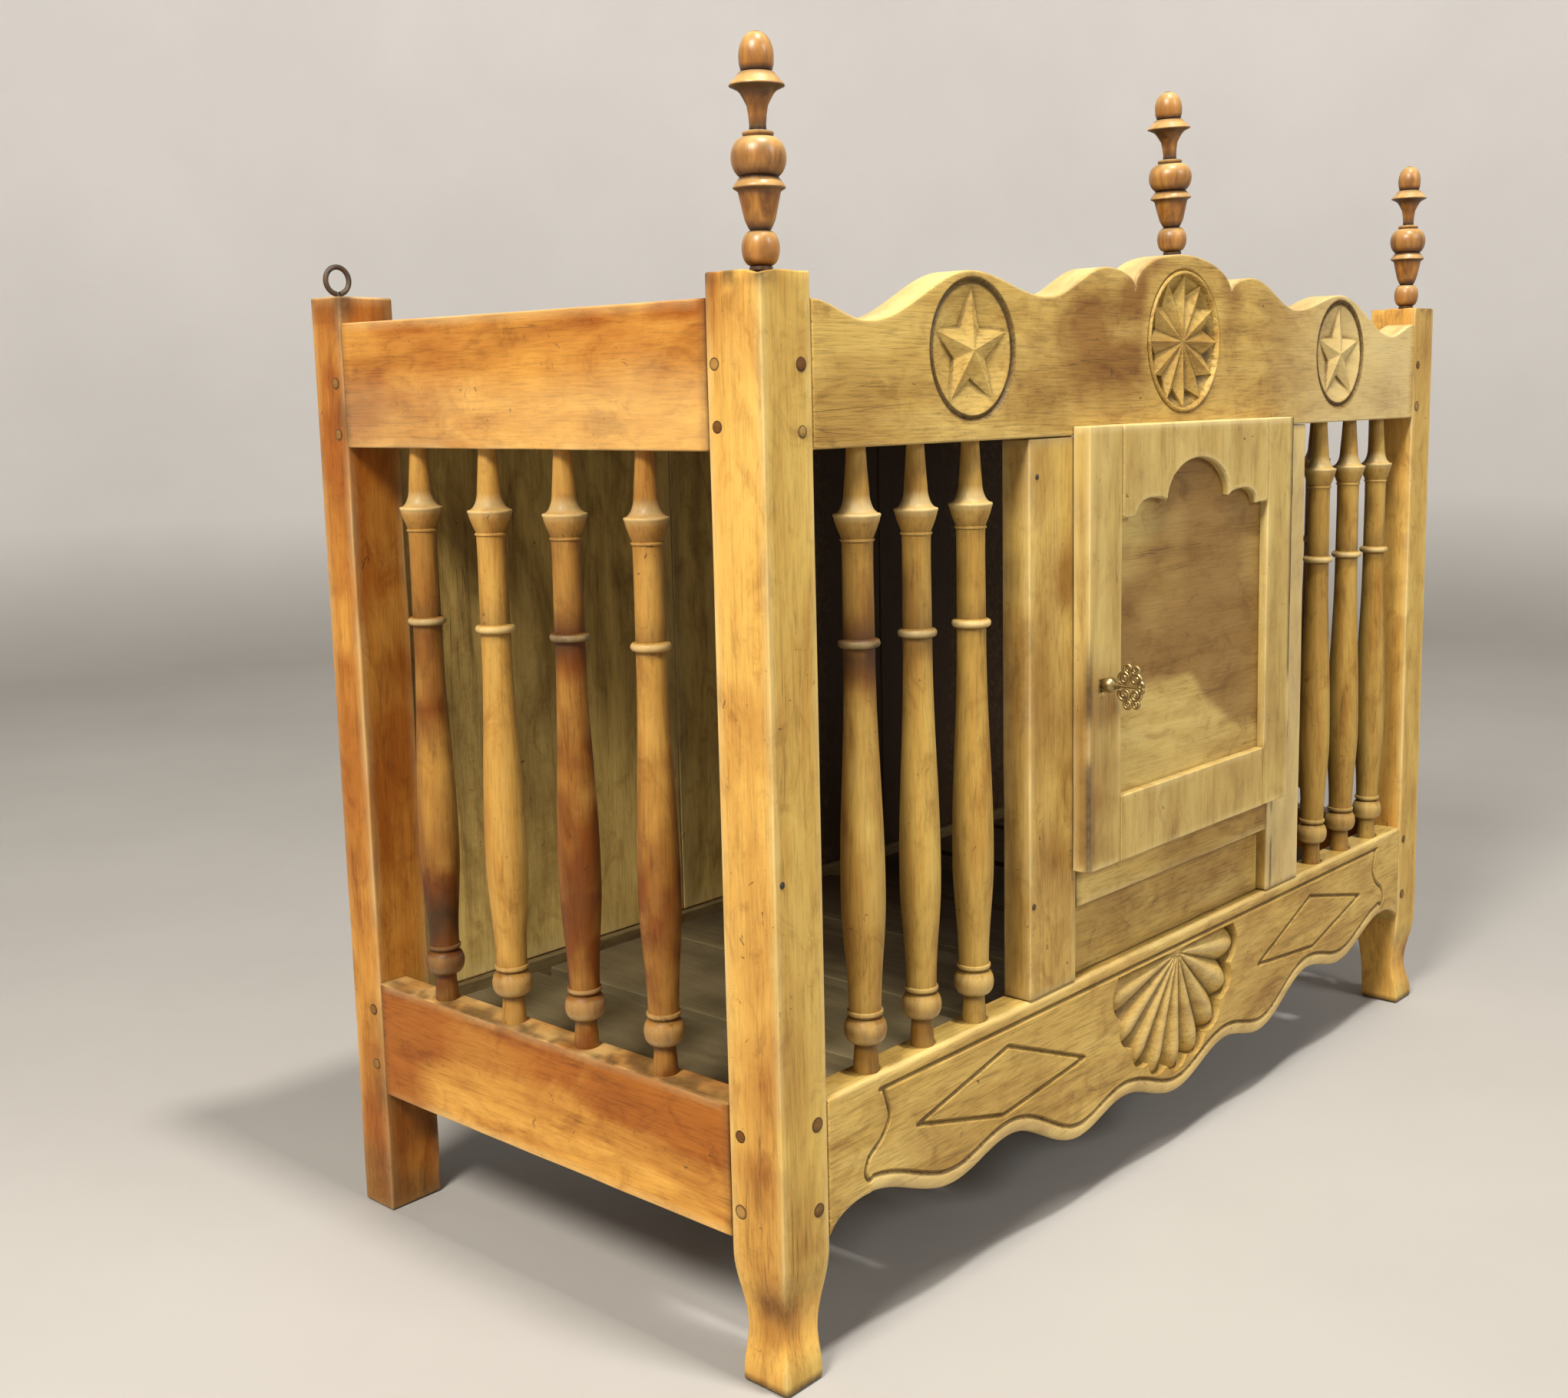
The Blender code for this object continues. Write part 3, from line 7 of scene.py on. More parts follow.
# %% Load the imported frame
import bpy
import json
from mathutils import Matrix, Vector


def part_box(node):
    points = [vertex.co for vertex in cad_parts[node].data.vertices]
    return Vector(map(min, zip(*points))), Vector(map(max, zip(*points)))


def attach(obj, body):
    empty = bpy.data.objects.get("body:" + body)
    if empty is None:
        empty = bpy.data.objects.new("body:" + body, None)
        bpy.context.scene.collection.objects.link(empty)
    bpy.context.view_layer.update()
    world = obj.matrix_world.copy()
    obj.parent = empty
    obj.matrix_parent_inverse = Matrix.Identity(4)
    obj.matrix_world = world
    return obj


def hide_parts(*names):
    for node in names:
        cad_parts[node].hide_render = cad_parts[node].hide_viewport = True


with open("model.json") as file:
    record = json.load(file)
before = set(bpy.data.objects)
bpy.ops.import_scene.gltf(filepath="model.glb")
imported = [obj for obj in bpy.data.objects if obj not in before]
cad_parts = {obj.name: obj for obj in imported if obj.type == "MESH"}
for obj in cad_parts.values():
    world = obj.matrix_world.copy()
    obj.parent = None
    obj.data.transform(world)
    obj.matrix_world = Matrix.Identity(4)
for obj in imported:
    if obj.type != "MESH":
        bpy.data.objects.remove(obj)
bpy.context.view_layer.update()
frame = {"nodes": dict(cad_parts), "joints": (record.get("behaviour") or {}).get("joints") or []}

# %% [markdown]
# Every dressed piece takes its place from the node that it stands for. A small helper turns a node's box
# into arrays, because most of the meshes below are worked out with numpy.

# %% Main places, read from the frame
import json
import math

import bpy
import numpy as np
from mathutils import Matrix, Vector, geometry, kdtree


SIDES = ((-1, "left"), (1, "right"))


def span(node):
    """Lowest and highest corner of a CAD node."""
    low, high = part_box(node)
    return np.array(low), np.array(high)


def centre_of(node):
    low, high = span(node)
    return (low + high) / 2


crest_low, crest_high = span("crest_rail")
FRONT = crest_low[1]
RAIL_BACK = crest_high[1]
SPAN_HALF = crest_high[0]
UPPER_LINE = crest_low[2]
LOWER_LINE = span("apron")[1][2]
print("front plane", round(FRONT, 4), "clear span", round(2 * SPAN_HALF, 4))

# %% [markdown]
# The camera stands to the left of the cupboard, a little above its middle, and looks down slightly. Its
# place and lens were fitted to the corners of the posts and rails, so a known corner lands on its pixel.
# The lens is shifted because the picture's optical centre isn't in the middle of the frame.

# %% Camera
PHOTO_WIDTH = 2042
PHOTO_HEIGHT = 1820
CENTRE_ACROSS = 1100
CENTRE_DOWN = 860
FOCAL_PIXELS = 2283.6
SENSOR_WIDTH = 36.0
CAMERA_PLACE = Vector((-1.2498, -0.9227, 0.6403))
CAMERA_YAW = 0.8579
CAMERA_PITCH = 0.1508
CAMERA_ROLL = 0.0183


def place_in_scene(name, data):
    made = bpy.data.objects.new(name, data)
    bpy.context.scene.collection.objects.link(made)
    return made


def add_camera():
    forward = Vector((
        math.sin(CAMERA_YAW) * math.cos(CAMERA_PITCH),
        math.cos(CAMERA_YAW) * math.cos(CAMERA_PITCH),
        -math.sin(CAMERA_PITCH),
    ))
    level = Vector((math.cos(CAMERA_YAW), -math.sin(CAMERA_YAW), 0))
    down = forward.cross(level)
    right = math.cos(CAMERA_ROLL) * level + math.sin(CAMERA_ROLL) * down
    lower = math.cos(CAMERA_ROLL) * down - math.sin(CAMERA_ROLL) * level
    turn = Matrix((right, -lower, -forward)).transposed().to_4x4()
    lens = bpy.data.cameras.new("photo_camera")
    lens.sensor_width = SENSOR_WIDTH
    lens.lens = FOCAL_PIXELS * SENSOR_WIDTH / PHOTO_WIDTH
    lens.shift_x = 0.5 - CENTRE_ACROSS / PHOTO_WIDTH
    lens.shift_y = (CENTRE_DOWN - PHOTO_HEIGHT / 2) / PHOTO_WIDTH
    made = place_in_scene("photo_camera", lens)
    made.matrix_world = Matrix.Translation(CAMERA_PLACE) @ turn
    bpy.context.scene.camera = made
    print("camera lens", round(lens.lens, 2), "mm")


add_camera()

# %% [markdown]
# Finishes are node materials. These few helpers keep the node code short: one adds a node and wires its
# inputs, the others name the steps that wood needs most, such as noise, a colour ramp and a blend.

# %% Helpers for node materials


def feed(tree, socket, value):
    """Links a socket, or sets its value."""
    if isinstance(value, bpy.types.NodeSocket):
        tree.links.new(value, socket)
    elif isinstance(value, tuple) and len(value) == 3 and socket.type == "RGBA":
        socket.default_value = (*value, 1.0)
    else:
        socket.default_value = value


def add_node(tree, kind, inputs=None, **settings):
    made = tree.nodes.new(kind)
    for key, value in settings.items():
        setattr(made, key, value)
    for name, value in (inputs or {}).items():
        feed(tree, made.inputs[name], value)
    return made


def noise(tree, place, scale, detail=4.0, roughness=0.55, distortion=0.0):
    values = {
        "Vector": place, "Scale": scale, "Detail": detail, "Roughness": roughness, "Distortion": distortion,
    }
    return add_node(tree, "ShaderNodeTexNoise", values).outputs["Fac"]


def ramp(tree, value, stops):
    """Colours or greys at places from 0 to 1."""
    made = add_node(tree, "ShaderNodeValToRGB", {"Fac": value})
    steps = made.color_ramp.elements
    steps[0].position = stops[0][0]
    steps[1].position = stops[-1][0]
    for place, _ in stops[1:-1]:
        steps.new(place)
    for step, (_, colour) in zip(steps, stops):
        shade = colour if isinstance(colour, tuple) else (colour, colour, colour)
        step.color = (*shade, 1.0)
    return made.outputs["Color"]


def blend(tree, share, first, second, mode="MIX"):
    made = add_node(tree, "ShaderNodeMix", data_type="RGBA", blend_type=mode)
    for index, value in ((0, share), (6, first), (7, second)):
        feed(tree, made.inputs[index], value)
    return made.outputs[2]


def maths(tree, operation, first, second, clamp=False):
    made = add_node(tree, "ShaderNodeMath", operation=operation, use_clamp=clamp)
    feed(tree, made.inputs[0], first)
    feed(tree, made.inputs[1], second)
    return made.outputs[0]


def times(tree, first, second, clamp=False):
    return maths(tree, "MULTIPLY", first, second, clamp)


def mark(tree, name):
    """A number stored on the points of a mesh, such as how worn it is there."""
    return add_node(tree, "ShaderNodeAttribute", attribute_name=name).outputs["Fac"]


def stretched(tree, place, across, grain):
    """Coordinates squeezed across the grain, so that a pattern runs along it."""
    scale = [across, across, across]
    scale[grain] = 1.0
    return add_node(tree, "ShaderNodeMapping", {"Vector": place, "Scale": tuple(scale)}).outputs["Vector"]


def new_finish(name):
    made = bpy.data.materials.new(name)
    made.use_nodes = True
    return made, made.node_tree, made.node_tree.nodes["Principled BSDF"]


def object_place(tree):
    return add_node(tree, "ShaderNodeTexCoord").outputs["Object"]


def set_surface(tree, shader, colour, roughness, relief, strength, distance):
    """Wires the colour, the roughness and the bump of a finish."""
    feed(tree, shader.inputs["Base Color"], colour)
    feed(tree, shader.inputs["Roughness"], roughness)
    bump = add_node(tree, "ShaderNodeBump", {"Strength": strength, "Distance": distance, "Height": relief})
    feed(tree, shader.inputs["Normal"], bump.outputs["Normal"])


print("node helpers ready")

# %% [markdown]
# The studio is one pale sweep: a floor that curves up into a wall all round, so no horizon shows from any
# side. The main light stands high to the left. A weaker one in front, a small one overhead and a pale sky
# fill the shadows. The plain view transform shows the finishes as they are mixed.

# %% Studio floor and lights
FLOOR_RADIUS = 3.2
SWEEP_RADIUS = 1.6
SWEEP_STEPS = 12
WALL_HEIGHT = 4.6
FLOOR_SIDES = 96
FLOOR_DROP = 0.0006


def studio_finish():
    material, tree, shader = new_finish("pale_studio_floor")
    place = object_place(tree)
    shade = noise(tree, place, 1.3, 5.0, 0.6)
    # The floor is darker than the wall, and the wall's tone rises early up the sweep: painted light that
    # lifts the backdrop where the lamps only graze it.
    floor = ramp(tree, shade, [(0.3, (0.345, 0.328, 0.304)), (0.7, (0.382, 0.364, 0.339))])
    wall = ramp(tree, shade, [(0.3, (0.84, 0.815, 0.795)), (0.7, (0.90, 0.875, 0.855))])
    height = add_node(tree, "ShaderNodeSeparateXYZ", {"Vector": place}).outputs["Z"]
    rise = ramp(tree, maths(tree, "DIVIDE", height, 2.2), [(0.0, 0.0), (0.14, 0.55), (1.0, 1.0)])
    feed(tree, shader.inputs["Base Color"], blend(tree, rise, floor, wall))
    shader.inputs["Roughness"].default_value = 0.75
    shader.inputs["Specular IOR Level"].default_value = 0.2
    return material


def ring_faces(rows, count):
    """Quads between rings of points that are stacked up."""
    faces = []
    for row in range(rows - 1):
        for step in range(count):
            following = (step + 1) % count
            below = row * count
            above = below + count
            faces.append((below + step, below + following, above + following, above + step))
    return faces


def add_piece(name, points, faces, finish, marks, crease=40):
    """A mesh object in place, with its marks stored on its points."""
    mesh = bpy.data.meshes.new(name)
    mesh.from_pydata(np.asarray(points).tolist(), [], [tuple(face) for face in faces])
    mesh.shade_smooth()
    mesh.set_sharp_from_angle(angle=math.radians(crease))
    for word, values in marks.items():
        layer = mesh.attributes.new(word, "FLOAT", "POINT")
        spread = np.broadcast_to(np.asarray(values, np.float32), (len(mesh.vertices),))
        layer.data.foreach_set("value", np.ascontiguousarray(spread))
    mesh.materials.append(finish)
    return place_in_scene(name, mesh)


def add_studio():
    profile = [(0.0, -FLOOR_DROP), (FLOOR_RADIUS, -FLOOR_DROP)]
    for step in range(1, SWEEP_STEPS + 1):
        angle = math.pi / 2 * step / SWEEP_STEPS
        out = FLOOR_RADIUS + SWEEP_RADIUS * math.sin(angle)
        profile.append((out, SWEEP_RADIUS * (1 - math.cos(angle)) - FLOOR_DROP))
    profile.append((FLOOR_RADIUS + SWEEP_RADIUS, WALL_HEIGHT))
    turns = [math.tau * step / FLOOR_SIDES for step in range(FLOOR_SIDES)]
    points = [(out * math.cos(turn), out * math.sin(turn), up) for out, up in profile for turn in turns]
    faces = [face[::-1] for face in ring_faces(len(profile), FLOOR_SIDES)]
    add_piece("studio_floor", points, faces, studio_finish(), {}, 180)


def add_light(name, place, aim, size, power, colour):
    lamp = bpy.data.lights.new(name, "AREA")
    lamp.shape = "DISK"
    lamp.size = size
    lamp.energy = power
    lamp.color = colour
    made = place_in_scene(name, lamp)
    made.location = place
    made.rotation_euler = (Vector(aim) - Vector(place)).to_track_quat("-Z", "Y").to_euler()


def add_world():
    world = bpy.data.worlds.new("studio_air")
    world.use_nodes = True
    sky = world.node_tree.nodes["Background"]
    sky.inputs["Color"].default_value = (0.95, 0.97, 1.0, 1.0)
    sky.inputs["Strength"].default_value = 0.06
    bpy.context.scene.world = world


add_studio()
add_world()
bpy.context.scene.view_settings.view_transform = "Standard"
add_light("left_window", (-2.6, -0.65, 2.8), (0, 0, 0.4), 1.0, 160, (1.0, 0.95, 0.87))
add_light("front_window", (0.3, -3.9, 2.8), (0, 0, 0.4), 1.4, 70, (0.98, 0.99, 1.0))
add_light("ceiling_lamp", (-0.4, -0.95, 3.7), (0, 0, 0), 0.3, 112, (1.0, 0.97, 0.92))
print("studio has", len(bpy.data.lights), "lights")

# %% [markdown]
# Old waxed fruitwood has a fine fibre, a broader figure, patches where the stain stayed darker, pale
# worn edges and dark dirt in every hollow. The first three come from noise drawn out along the grain. The
# wear and the dirt depend on the shape, so each mesh stores them on its points and the finish reads them.
# On some pieces these two marks also carry painted light and painted shade, and a cool tint paints the
# shade on faces toward the front.

# %% Waxed wood
DIRT_AND_SHADE_COLOUR = (0.045, 0.023, 0.009)
WORN_AND_LIT_COLOUR = (0.68, 0.555, 0.275)


def waxed_wood(
    name, pale, middle, deep, blotch, grain, blotches=0.5, gloss=0.44, streaks=0.45, mottling=0.6,
):
    """grain is the axis that the fibres follow: 0, 1 or 2."""
    material, tree, shader = new_finish(name)
    place = object_place(tree)
    shift = add_node(tree, "ShaderNodeVectorMath", operation="SCALE")
    shift.inputs[0].default_value = (3.1, 5.3, 4.7)
    feed(tree, shift.inputs["Scale"], mark(tree, "seed"))
    moved = add_node(tree, "ShaderNodeVectorMath", operation="ADD")
    feed(tree, moved.inputs[0], place)
    feed(tree, moved.inputs[1], shift.outputs[0])
    here = moved.outputs[0]

    figure = noise(tree, stretched(tree, here, 7.0, grain), 5.0, 6.0, 0.6, 0.5)
    fibre = noise(tree, stretched(tree, here, 18.0, grain), 34.0, 5.0, 0.65)
    cloud = noise(tree, stretched(tree, here, 2.2, grain), 5.5, 7.0, 0.68, 0.9)
    mottle = noise(tree, stretched(tree, here, 1.8, grain), 24.0, 6.0, 0.68, 1.0)
    grit = noise(tree, here, 130.0, 3.0, 0.6, 1.2)
    crack = noise(tree, stretched(tree, here, 26.0, grain), 3.2, 3.0, 0.5, 0.3)

    colour = ramp(tree, figure, [(0.30, deep), (0.50, middle), (0.70, pale)])
    streak = ramp(tree, fibre, [(0.36, 0.52), (0.50, 0.94), (0.62, 1.0)])
    colour = blend(tree, streaks, colour, streak, "MULTIPLY")
    bloom = ramp(tree, mottle, [
        (0.34, (0.56, 0.46, 0.36)), (0.47, (0.92, 0.90, 0.87)), (0.58, (1.0, 1.0, 1.0)),
    ])
    colour = blend(tree, mottling, colour, bloom, "MULTIPLY")
    patch = ramp(tree, cloud, [(0.44, 0.0), (0.66, 1.0)])
    patch = times(tree, patch, blotches)
    patch = maths(tree, "ADD", patch, mark(tree, "stain"), True)
    colour = blend(tree, patch, colour, blotch, "MULTIPLY")
    # This cool tint is painted shade on faces toward the front, and greys the tops of the rear posts.
    colour = blend(tree, mark(tree, "faded"), colour, (0.80, 0.92, 1.0), "MULTIPLY")
    specks = ramp(tree, grit, [(0.27, 1.0), (0.33, 0.0)])
    specks = times(tree, specks, ramp(tree, cloud, [(0.42, 0.0), (0.56, 0.75)]))
    splits = ramp(tree, crack, [(0.488, 0.0), (0.5, 1.0), (0.512, 0.0)])
    splits = times(tree, splits, ramp(tree, figure, [(0.36, 0.50), (0.50, 0.0)]))
    specks = maths(tree, "MAXIMUM", specks, splits)
    colour = blend(tree, specks, colour, DIRT_AND_SHADE_COLOUR)
    # The pale wear and the dark dirt below are mostly real; on some pieces they also carry painted light and
    # painted shade.
    rubbed_and_lit = times(tree, mark(tree, "wear"), ramp(tree, cloud, [(0.25, 1.0), (0.75, 0.35)]))
    colour = blend(tree, times(tree, rubbed_and_lit, 0.75), colour, WORN_AND_LIT_COLOUR)
    grime = times(tree, mark(tree, "dirt"), ramp(tree, grit, [(0.3, 1.0), (0.8, 0.72)]), True)
    colour = blend(tree, grime, colour, DIRT_AND_SHADE_COLOUR)

    shine = ramp(tree, fibre, [(0.3, gloss + 0.16), (0.65, gloss - 0.04)])
    shader.inputs["Specular IOR Level"].default_value = 0.22
    relief = maths(tree, "ADD", times(tree, fibre, 0.6), times(tree, figure, 0.8))
    relief = maths(tree, "SUBTRACT", relief, times(tree, specks, 0.8))
    set_surface(tree, shader, colour, shine, relief, 0.35, 0.0012)
    return material


HONEY = ((0.74, 0.395, 0.075), (0.64, 0.310, 0.052), (0.46, 0.185, 0.025), (0.53, 0.33, 0.18))
STRAW = ((0.74, 0.455, 0.112), (0.67, 0.385, 0.085), (0.52, 0.26, 0.048), (0.55, 0.36, 0.24))
# OLIVE and WHEAT, for the pieces that face the front, are greener and duller than HONEY: their own tone with
# the cooler shade of the front painted into the colour.
OLIVE = ((0.56, 0.425, 0.152), (0.485, 0.345, 0.105), (0.365, 0.236, 0.064), (0.54, 0.42, 0.34))
WHEAT = ((0.59, 0.420, 0.128), (0.515, 0.340, 0.086), (0.39, 0.230, 0.050), (0.50, 0.37, 0.28))
DUSKY = ((0.21, 0.150, 0.062), (0.145, 0.098, 0.036), (0.072, 0.045, 0.015), (0.55, 0.46, 0.36))
INNER = ((0.78, 0.56, 0.175), (0.62, 0.43, 0.125), (0.36, 0.235, 0.065), (0.50, 0.44, 0.36))
FLOOR = ((0.100, 0.074, 0.038), (0.064, 0.046, 0.024), (0.034, 0.023, 0.012), (0.55, 0.46, 0.38))
WASHED = (*OLIVE[:3], (0.48, 0.37, 0.30))
upright_honey = waxed_wood("upright_honey_wood", *HONEY, grain=2)
upright_straw = waxed_wood("upright_straw_wood", *STRAW, grain=2, blotches=0.35)
sideways_honey = waxed_wood("sideways_honey_wood", *HONEY, grain=1)
upright_wheat = waxed_wood("upright_faded_wood", *WHEAT, grain=2)
level_wheat = waxed_wood("level_faded_wood", *WHEAT, grain=0, streaks=0.65)
door_wood = waxed_wood("door_wood", *OLIVE, grain=2, blotches=0.3, streaks=0.25, mottling=0.4)
panel_wood = waxed_wood("washed_panel_wood", *WASHED, grain=0, blotches=0.2, streaks=0.2)
level_dusky = waxed_wood("level_inner_wood", *DUSKY, grain=0, gloss=0.62)
upright_inner = waxed_wood("upright_back_wood", *INNER, grain=2, blotches=0.8, gloss=0.62)
floor_wood = waxed_wood("front_to_back_floor_wood", *FLOOR, grain=1, gloss=0.50)
print("wood finishes:", len(bpy.data.materials))

# %% [markdown]
# Nothing on an old cupboard is quite flat or sharp. Each board is a box-shaped lattice of points whose
# rows crowd together at the edges. The rows are rolled over a radius that wanders, and the faces sway by
# a few tenths of a millimetre. The same pass works out how near each point is to an edge, as its wear.

# %% Helpers for meshes
NOISE_CELLS = 24
noise_grid = np.random.default_rng(11).uniform(-1, 1, (NOISE_CELLS, NOISE_CELLS, NOISE_CELLS))


def swell_noise(points, size, seed):
    """Smooth values from -1 to 1; size is the width of one swell in metres."""
    place = points / size + 7.31 * seed
    cell = np.floor(place).astype(int)
    part = place - cell
    part = part * part * (3 - 2 * part)
    total = np.zeros(len(points))
    for corner in range(8):
        step = np.array([corner & 1, corner >> 1 & 1, corner >> 2 & 1])
        index = (cell + step) % NOISE_CELLS
        weight = np.prod(np.where(step, part, 1 - part), axis=1)
        total += weight * noise_grid[index[:, 0], index[:, 1], index[:, 2]]
    return total


def unit(value):
    """A value kept between 0 and 1."""
    return np.clip(value, 0, 1)


def soft_step(value):
    """A smooth step from 0 to 1."""
    value = unit(value)
    return value * value * (3 - 2 * value)


def raise_mark(marks, word, values):
    """Lifts a mark to at least these values."""
    marks[word] = np.maximum(marks[word], values)


def dress(piece, body, slot, *nodes):
    """Sends a piece with its body and lets it stand for its nodes."""
    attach(piece, body)
    if nodes:
        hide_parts(*nodes)


print("noise grid of", noise_grid.size, "values")

# %% Rolled boards
EDGE_ROWS = (0.0, 0.423, 0.732, 1.0)  # rows that roll an edge over, in shares of its radius
BOARD_SWAY = 0.0006


def board_rows(low, high, radius, cell):
    """Places of the rows along one side of a board."""
    flat = high - low - 2 * radius
    count = max(1, round(flat / cell))
    start = [low + radius * share for share in EDGE_ROWS]
    middle = [low + radius + flat * step / count for step in range(1, count)]
    end = [high - radius * share for share in reversed(EDGE_ROWS)]
    return np.array(start + middle + end)


def box_skin(rows):
    """Points on the surface of a box-shaped lattice and the quads between them."""
    counts = [len(row) for row in rows]
    skin = np.ones(counts, bool)
    skin[1:-1, 1:-1, 1:-1] = False
    number = np.full(counts, -1)
    number[skin] = np.arange(skin.sum())
    where = np.argwhere(skin)
    points = np.stack([rows[axis][where[:, axis]] for axis in range(3)], axis=1)
    faces = []
    for axis in range(3):
        for end in (0, counts[axis] - 1):
            sheet = np.take(number, end, axis=axis)
            quads = np.stack([sheet[:-1, :-1], sheet[1:, :-1], sheet[1:, 1:], sheet[:-1, 1:]], axis=-1)
            quads = quads.reshape(-1, 4)
            faces.append(quads if (end > 0) == (axis != 1) else quads[:, ::-1])
    return points, np.concatenate(faces)


def rolled(points, low, high, radius):
    """Rolls the edges of a box over a radius; gives the points and their outward directions."""
    reach = np.asarray(radius).reshape(-1, 1)
    core = np.clip(points, low + reach, high - reach)
    out = points - core
    out = out / np.linalg.norm(out, axis=1, keepdims=True)
    return core + out * reach, out


def board_shell(low, high, cell, radius, sway, seed):
    """Points, quads, outward directions and wear of one worn board."""
    rows = [board_rows(low[axis], high[axis], radius, cell) for axis in range(3)]
    points, faces = box_skin(rows)
    to_edge = np.sort(np.minimum(points - low, high - points), axis=1)[:, 1]
    wander = radius * (0.70 + 0.30 * swell_noise(points, 0.045, seed))
    points, out = rolled(points, low, high, wander)
    dip = sway * (0.5 + 0.5 * swell_noise(points, 0.08, seed + 1))
    points = points - out * dip[:, None]
    ragged = 0.6 + 0.4 * swell_noise(points, 0.03, seed + 2)
    wear = unit(1 - to_edge / 0.0055) * ragged
    return points, faces, out, wear


print("edge rows at", EDGE_ROWS)

# %% Stains, dirt and holes in boards


def blotch_marks(points, spots, seed):
    """Soft stains at chosen places; each spot is (x, y, z, size, strength)."""
    total = np.zeros(len(points))
    rough = 1 + 0.45 * swell_noise(points, 0.022, seed)
    for x, y, z, size, strength in spots:
        away = np.linalg.norm(points - np.array((x, y, z)), axis=1) / size * rough
        total += strength * unit(1 - away) ** 1.2
    return unit(total)


def from_ends(points, low, high, axis):
    """Distance to the nearer end of a board."""
    return np.minimum(points[:, axis] - low[axis], high[axis] - points[:, axis])


def end_dirt(points, low, high, axis, reach=0.004):
    """Grime in the joints at both ends of a board."""
    return 0.75 * unit(1 - from_ends(points, low, high, axis) / reach)


def settle(piece, step):
    """Makes the result of a modifier the piece's own mesh."""
    bpy.context.view_layer.update()
    graph = bpy.context.evaluated_depsgraph_get()
    result = bpy.data.meshes.new_from_object(piece.evaluated_get(graph))
    piece.modifiers.remove(step)
    piece.data = result


def bore(piece, low, high):
    """Cuts a square hole and makes the result the piece's own mesh."""
    rows = [np.array((low[axis], high[axis])) for axis in range(3)]
    points, faces = box_skin(rows)
    hole = add_piece("square_hole", points, faces, piece.data.materials[0], {})
    step = piece.modifiers.new("mortise", "BOOLEAN")
    step.operation = "DIFFERENCE"
    step.solver = "EXACT"
    step.use_self = True
    step.object = hole
    settle(piece, step)
    print("bored", piece.name, "to", len(piece.data.polygons), "faces")
    bpy.data.objects.remove(hole)


def worn_board(
    node, finish, seed, slot, cell=0.006, radius=0.0022, joints=None, spots=(), paint=None, holes=(),
):
    """Dresses a plain board; joints is the axis whose ends meet other pieces, paint changes its marks."""
    low, high = span(node)
    points, faces, _, wear = board_shell(low, high, cell, radius, BOARD_SWAY, seed)
    unmarked = np.zeros(len(points))
    marks = {
        "wear": wear, "seed": 0.37 * seed, "stain": blotch_marks(points, spots, seed),
        "dirt": unmarked, "faded": unmarked,
    }
    if joints is not None:
        marks["dirt"] = end_dirt(points, low, high, joints)
        marks["wear"] = wear * soft_step(from_ends(points, low, high, joints) / 0.012)
    if paint:
        paint(points, marks)
    made = add_piece("worn_" + node, points, faces, finish, marks)
    for hole_low, hole_high in holes:
        bore(made, hole_low, hole_high)
    dress(made, "cabinet", slot, node)


print("boards sway by up to", BOARD_SWAY * 1000, "mm")

# %% [markdown]
# The side rails, rear posts, mullions, sill, panels and all the boards inside are such plain boards. The
# spots below are stains that someone walking round the cupboard would notice first, such as the brown
# ends of the left rails.

# %% Marks of the side rails and rear posts


def brown_upper_band(low, high):
    """A lower rail: brown above, dark at its rear end, dusty on its top."""
    def paint(points, marks):
        share = (points[:, 2] + 0.010 * swell_noise(points, 0.05, 12) - low[2]) / (high[2] - low[2])
        band = 0.70 * soft_step((share - 0.48) / 0.16)
        rear = 0.85 * soft_step((points[:, 1] - high[1] + 0.085) / 0.06)
        dusty = points[:, 2] > high[2] - 0.0014
        patchy = 0.5 + 0.5 * swell_noise(points, 0.022, 13)
        marks["stain"] = np.where(dusty, 0.75 * patchy, unit(0.5 * marks["stain"] + band + rear))
        marks["wear"] = np.where(dusty, 0.75 * (1 - patchy), marks["wear"])
        crumbs = 0.75 * soft_step(0.45 + 1.3 * swell_noise(points, 0.009, 14))
        marks["dirt"] = np.where(dusty, np.maximum(marks["dirt"], crumbs), marks["dirt"])
    return paint


def pale_lower_band(low, high):
    """An upper rail: paler below, with dark smudges above."""
    def paint(points, marks):
        share = (points[:, 2] + 0.012 * swell_noise(points, 0.06, 15) - low[2]) / (high[2] - low[2])
        upper = soft_step((share - 0.35) / 0.35)
        smudge = soft_step(2.2 * swell_noise(points * (1, 0.5, 1.4), 0.022, 16) - 0.5)
        marks["stain"] = unit(marks["stain"] + upper * (0.22 + 0.5 * smudge))
        raise_mark(marks, "wear", 0.35 * (1 - upper))
    return paint


def rear_post_marks(low, high):
    """A rear post: reddish, with a dark streak beside the rail and a darker, greyer top."""
    def paint(points, marks):
        height = points[:, 2]
        beside_rail = unit(1 - (points[:, 1] - low[1]) / 0.013) * soft_step((height - 0.60) / 0.03)
        marks["dirt"] = 0.85 * beside_rail * soft_step(0.5 + 1.2 * swell_noise(points, 0.02, 17))
        damp = soft_step((0.24 - height) / 0.16) * soft_step(0.25 + 1.4 * swell_noise(points, 0.032, 19))
        raise_mark(marks, "dirt", 0.6 * damp)
        stub = soft_step((height - high[2] + 0.022) / 0.006)
        marks["stain"] = unit(marks["stain"] + 0.25 + 0.6 * stub)
        raise_mark(marks, "faded", 0.4 * stub)
        raise_mark(marks, "dirt", 0.8 * stub * soft_step(1.8 * swell_noise(points, 0.016, 18)))
        raise_mark(marks, "wear", 0.8 * soft_step((height - high[2] + 0.003) / 0.002))
    return paint


print("left rails run from", [round(float(value), 3) for value in span("left_top_rail")[0]])

# %% Plain boards


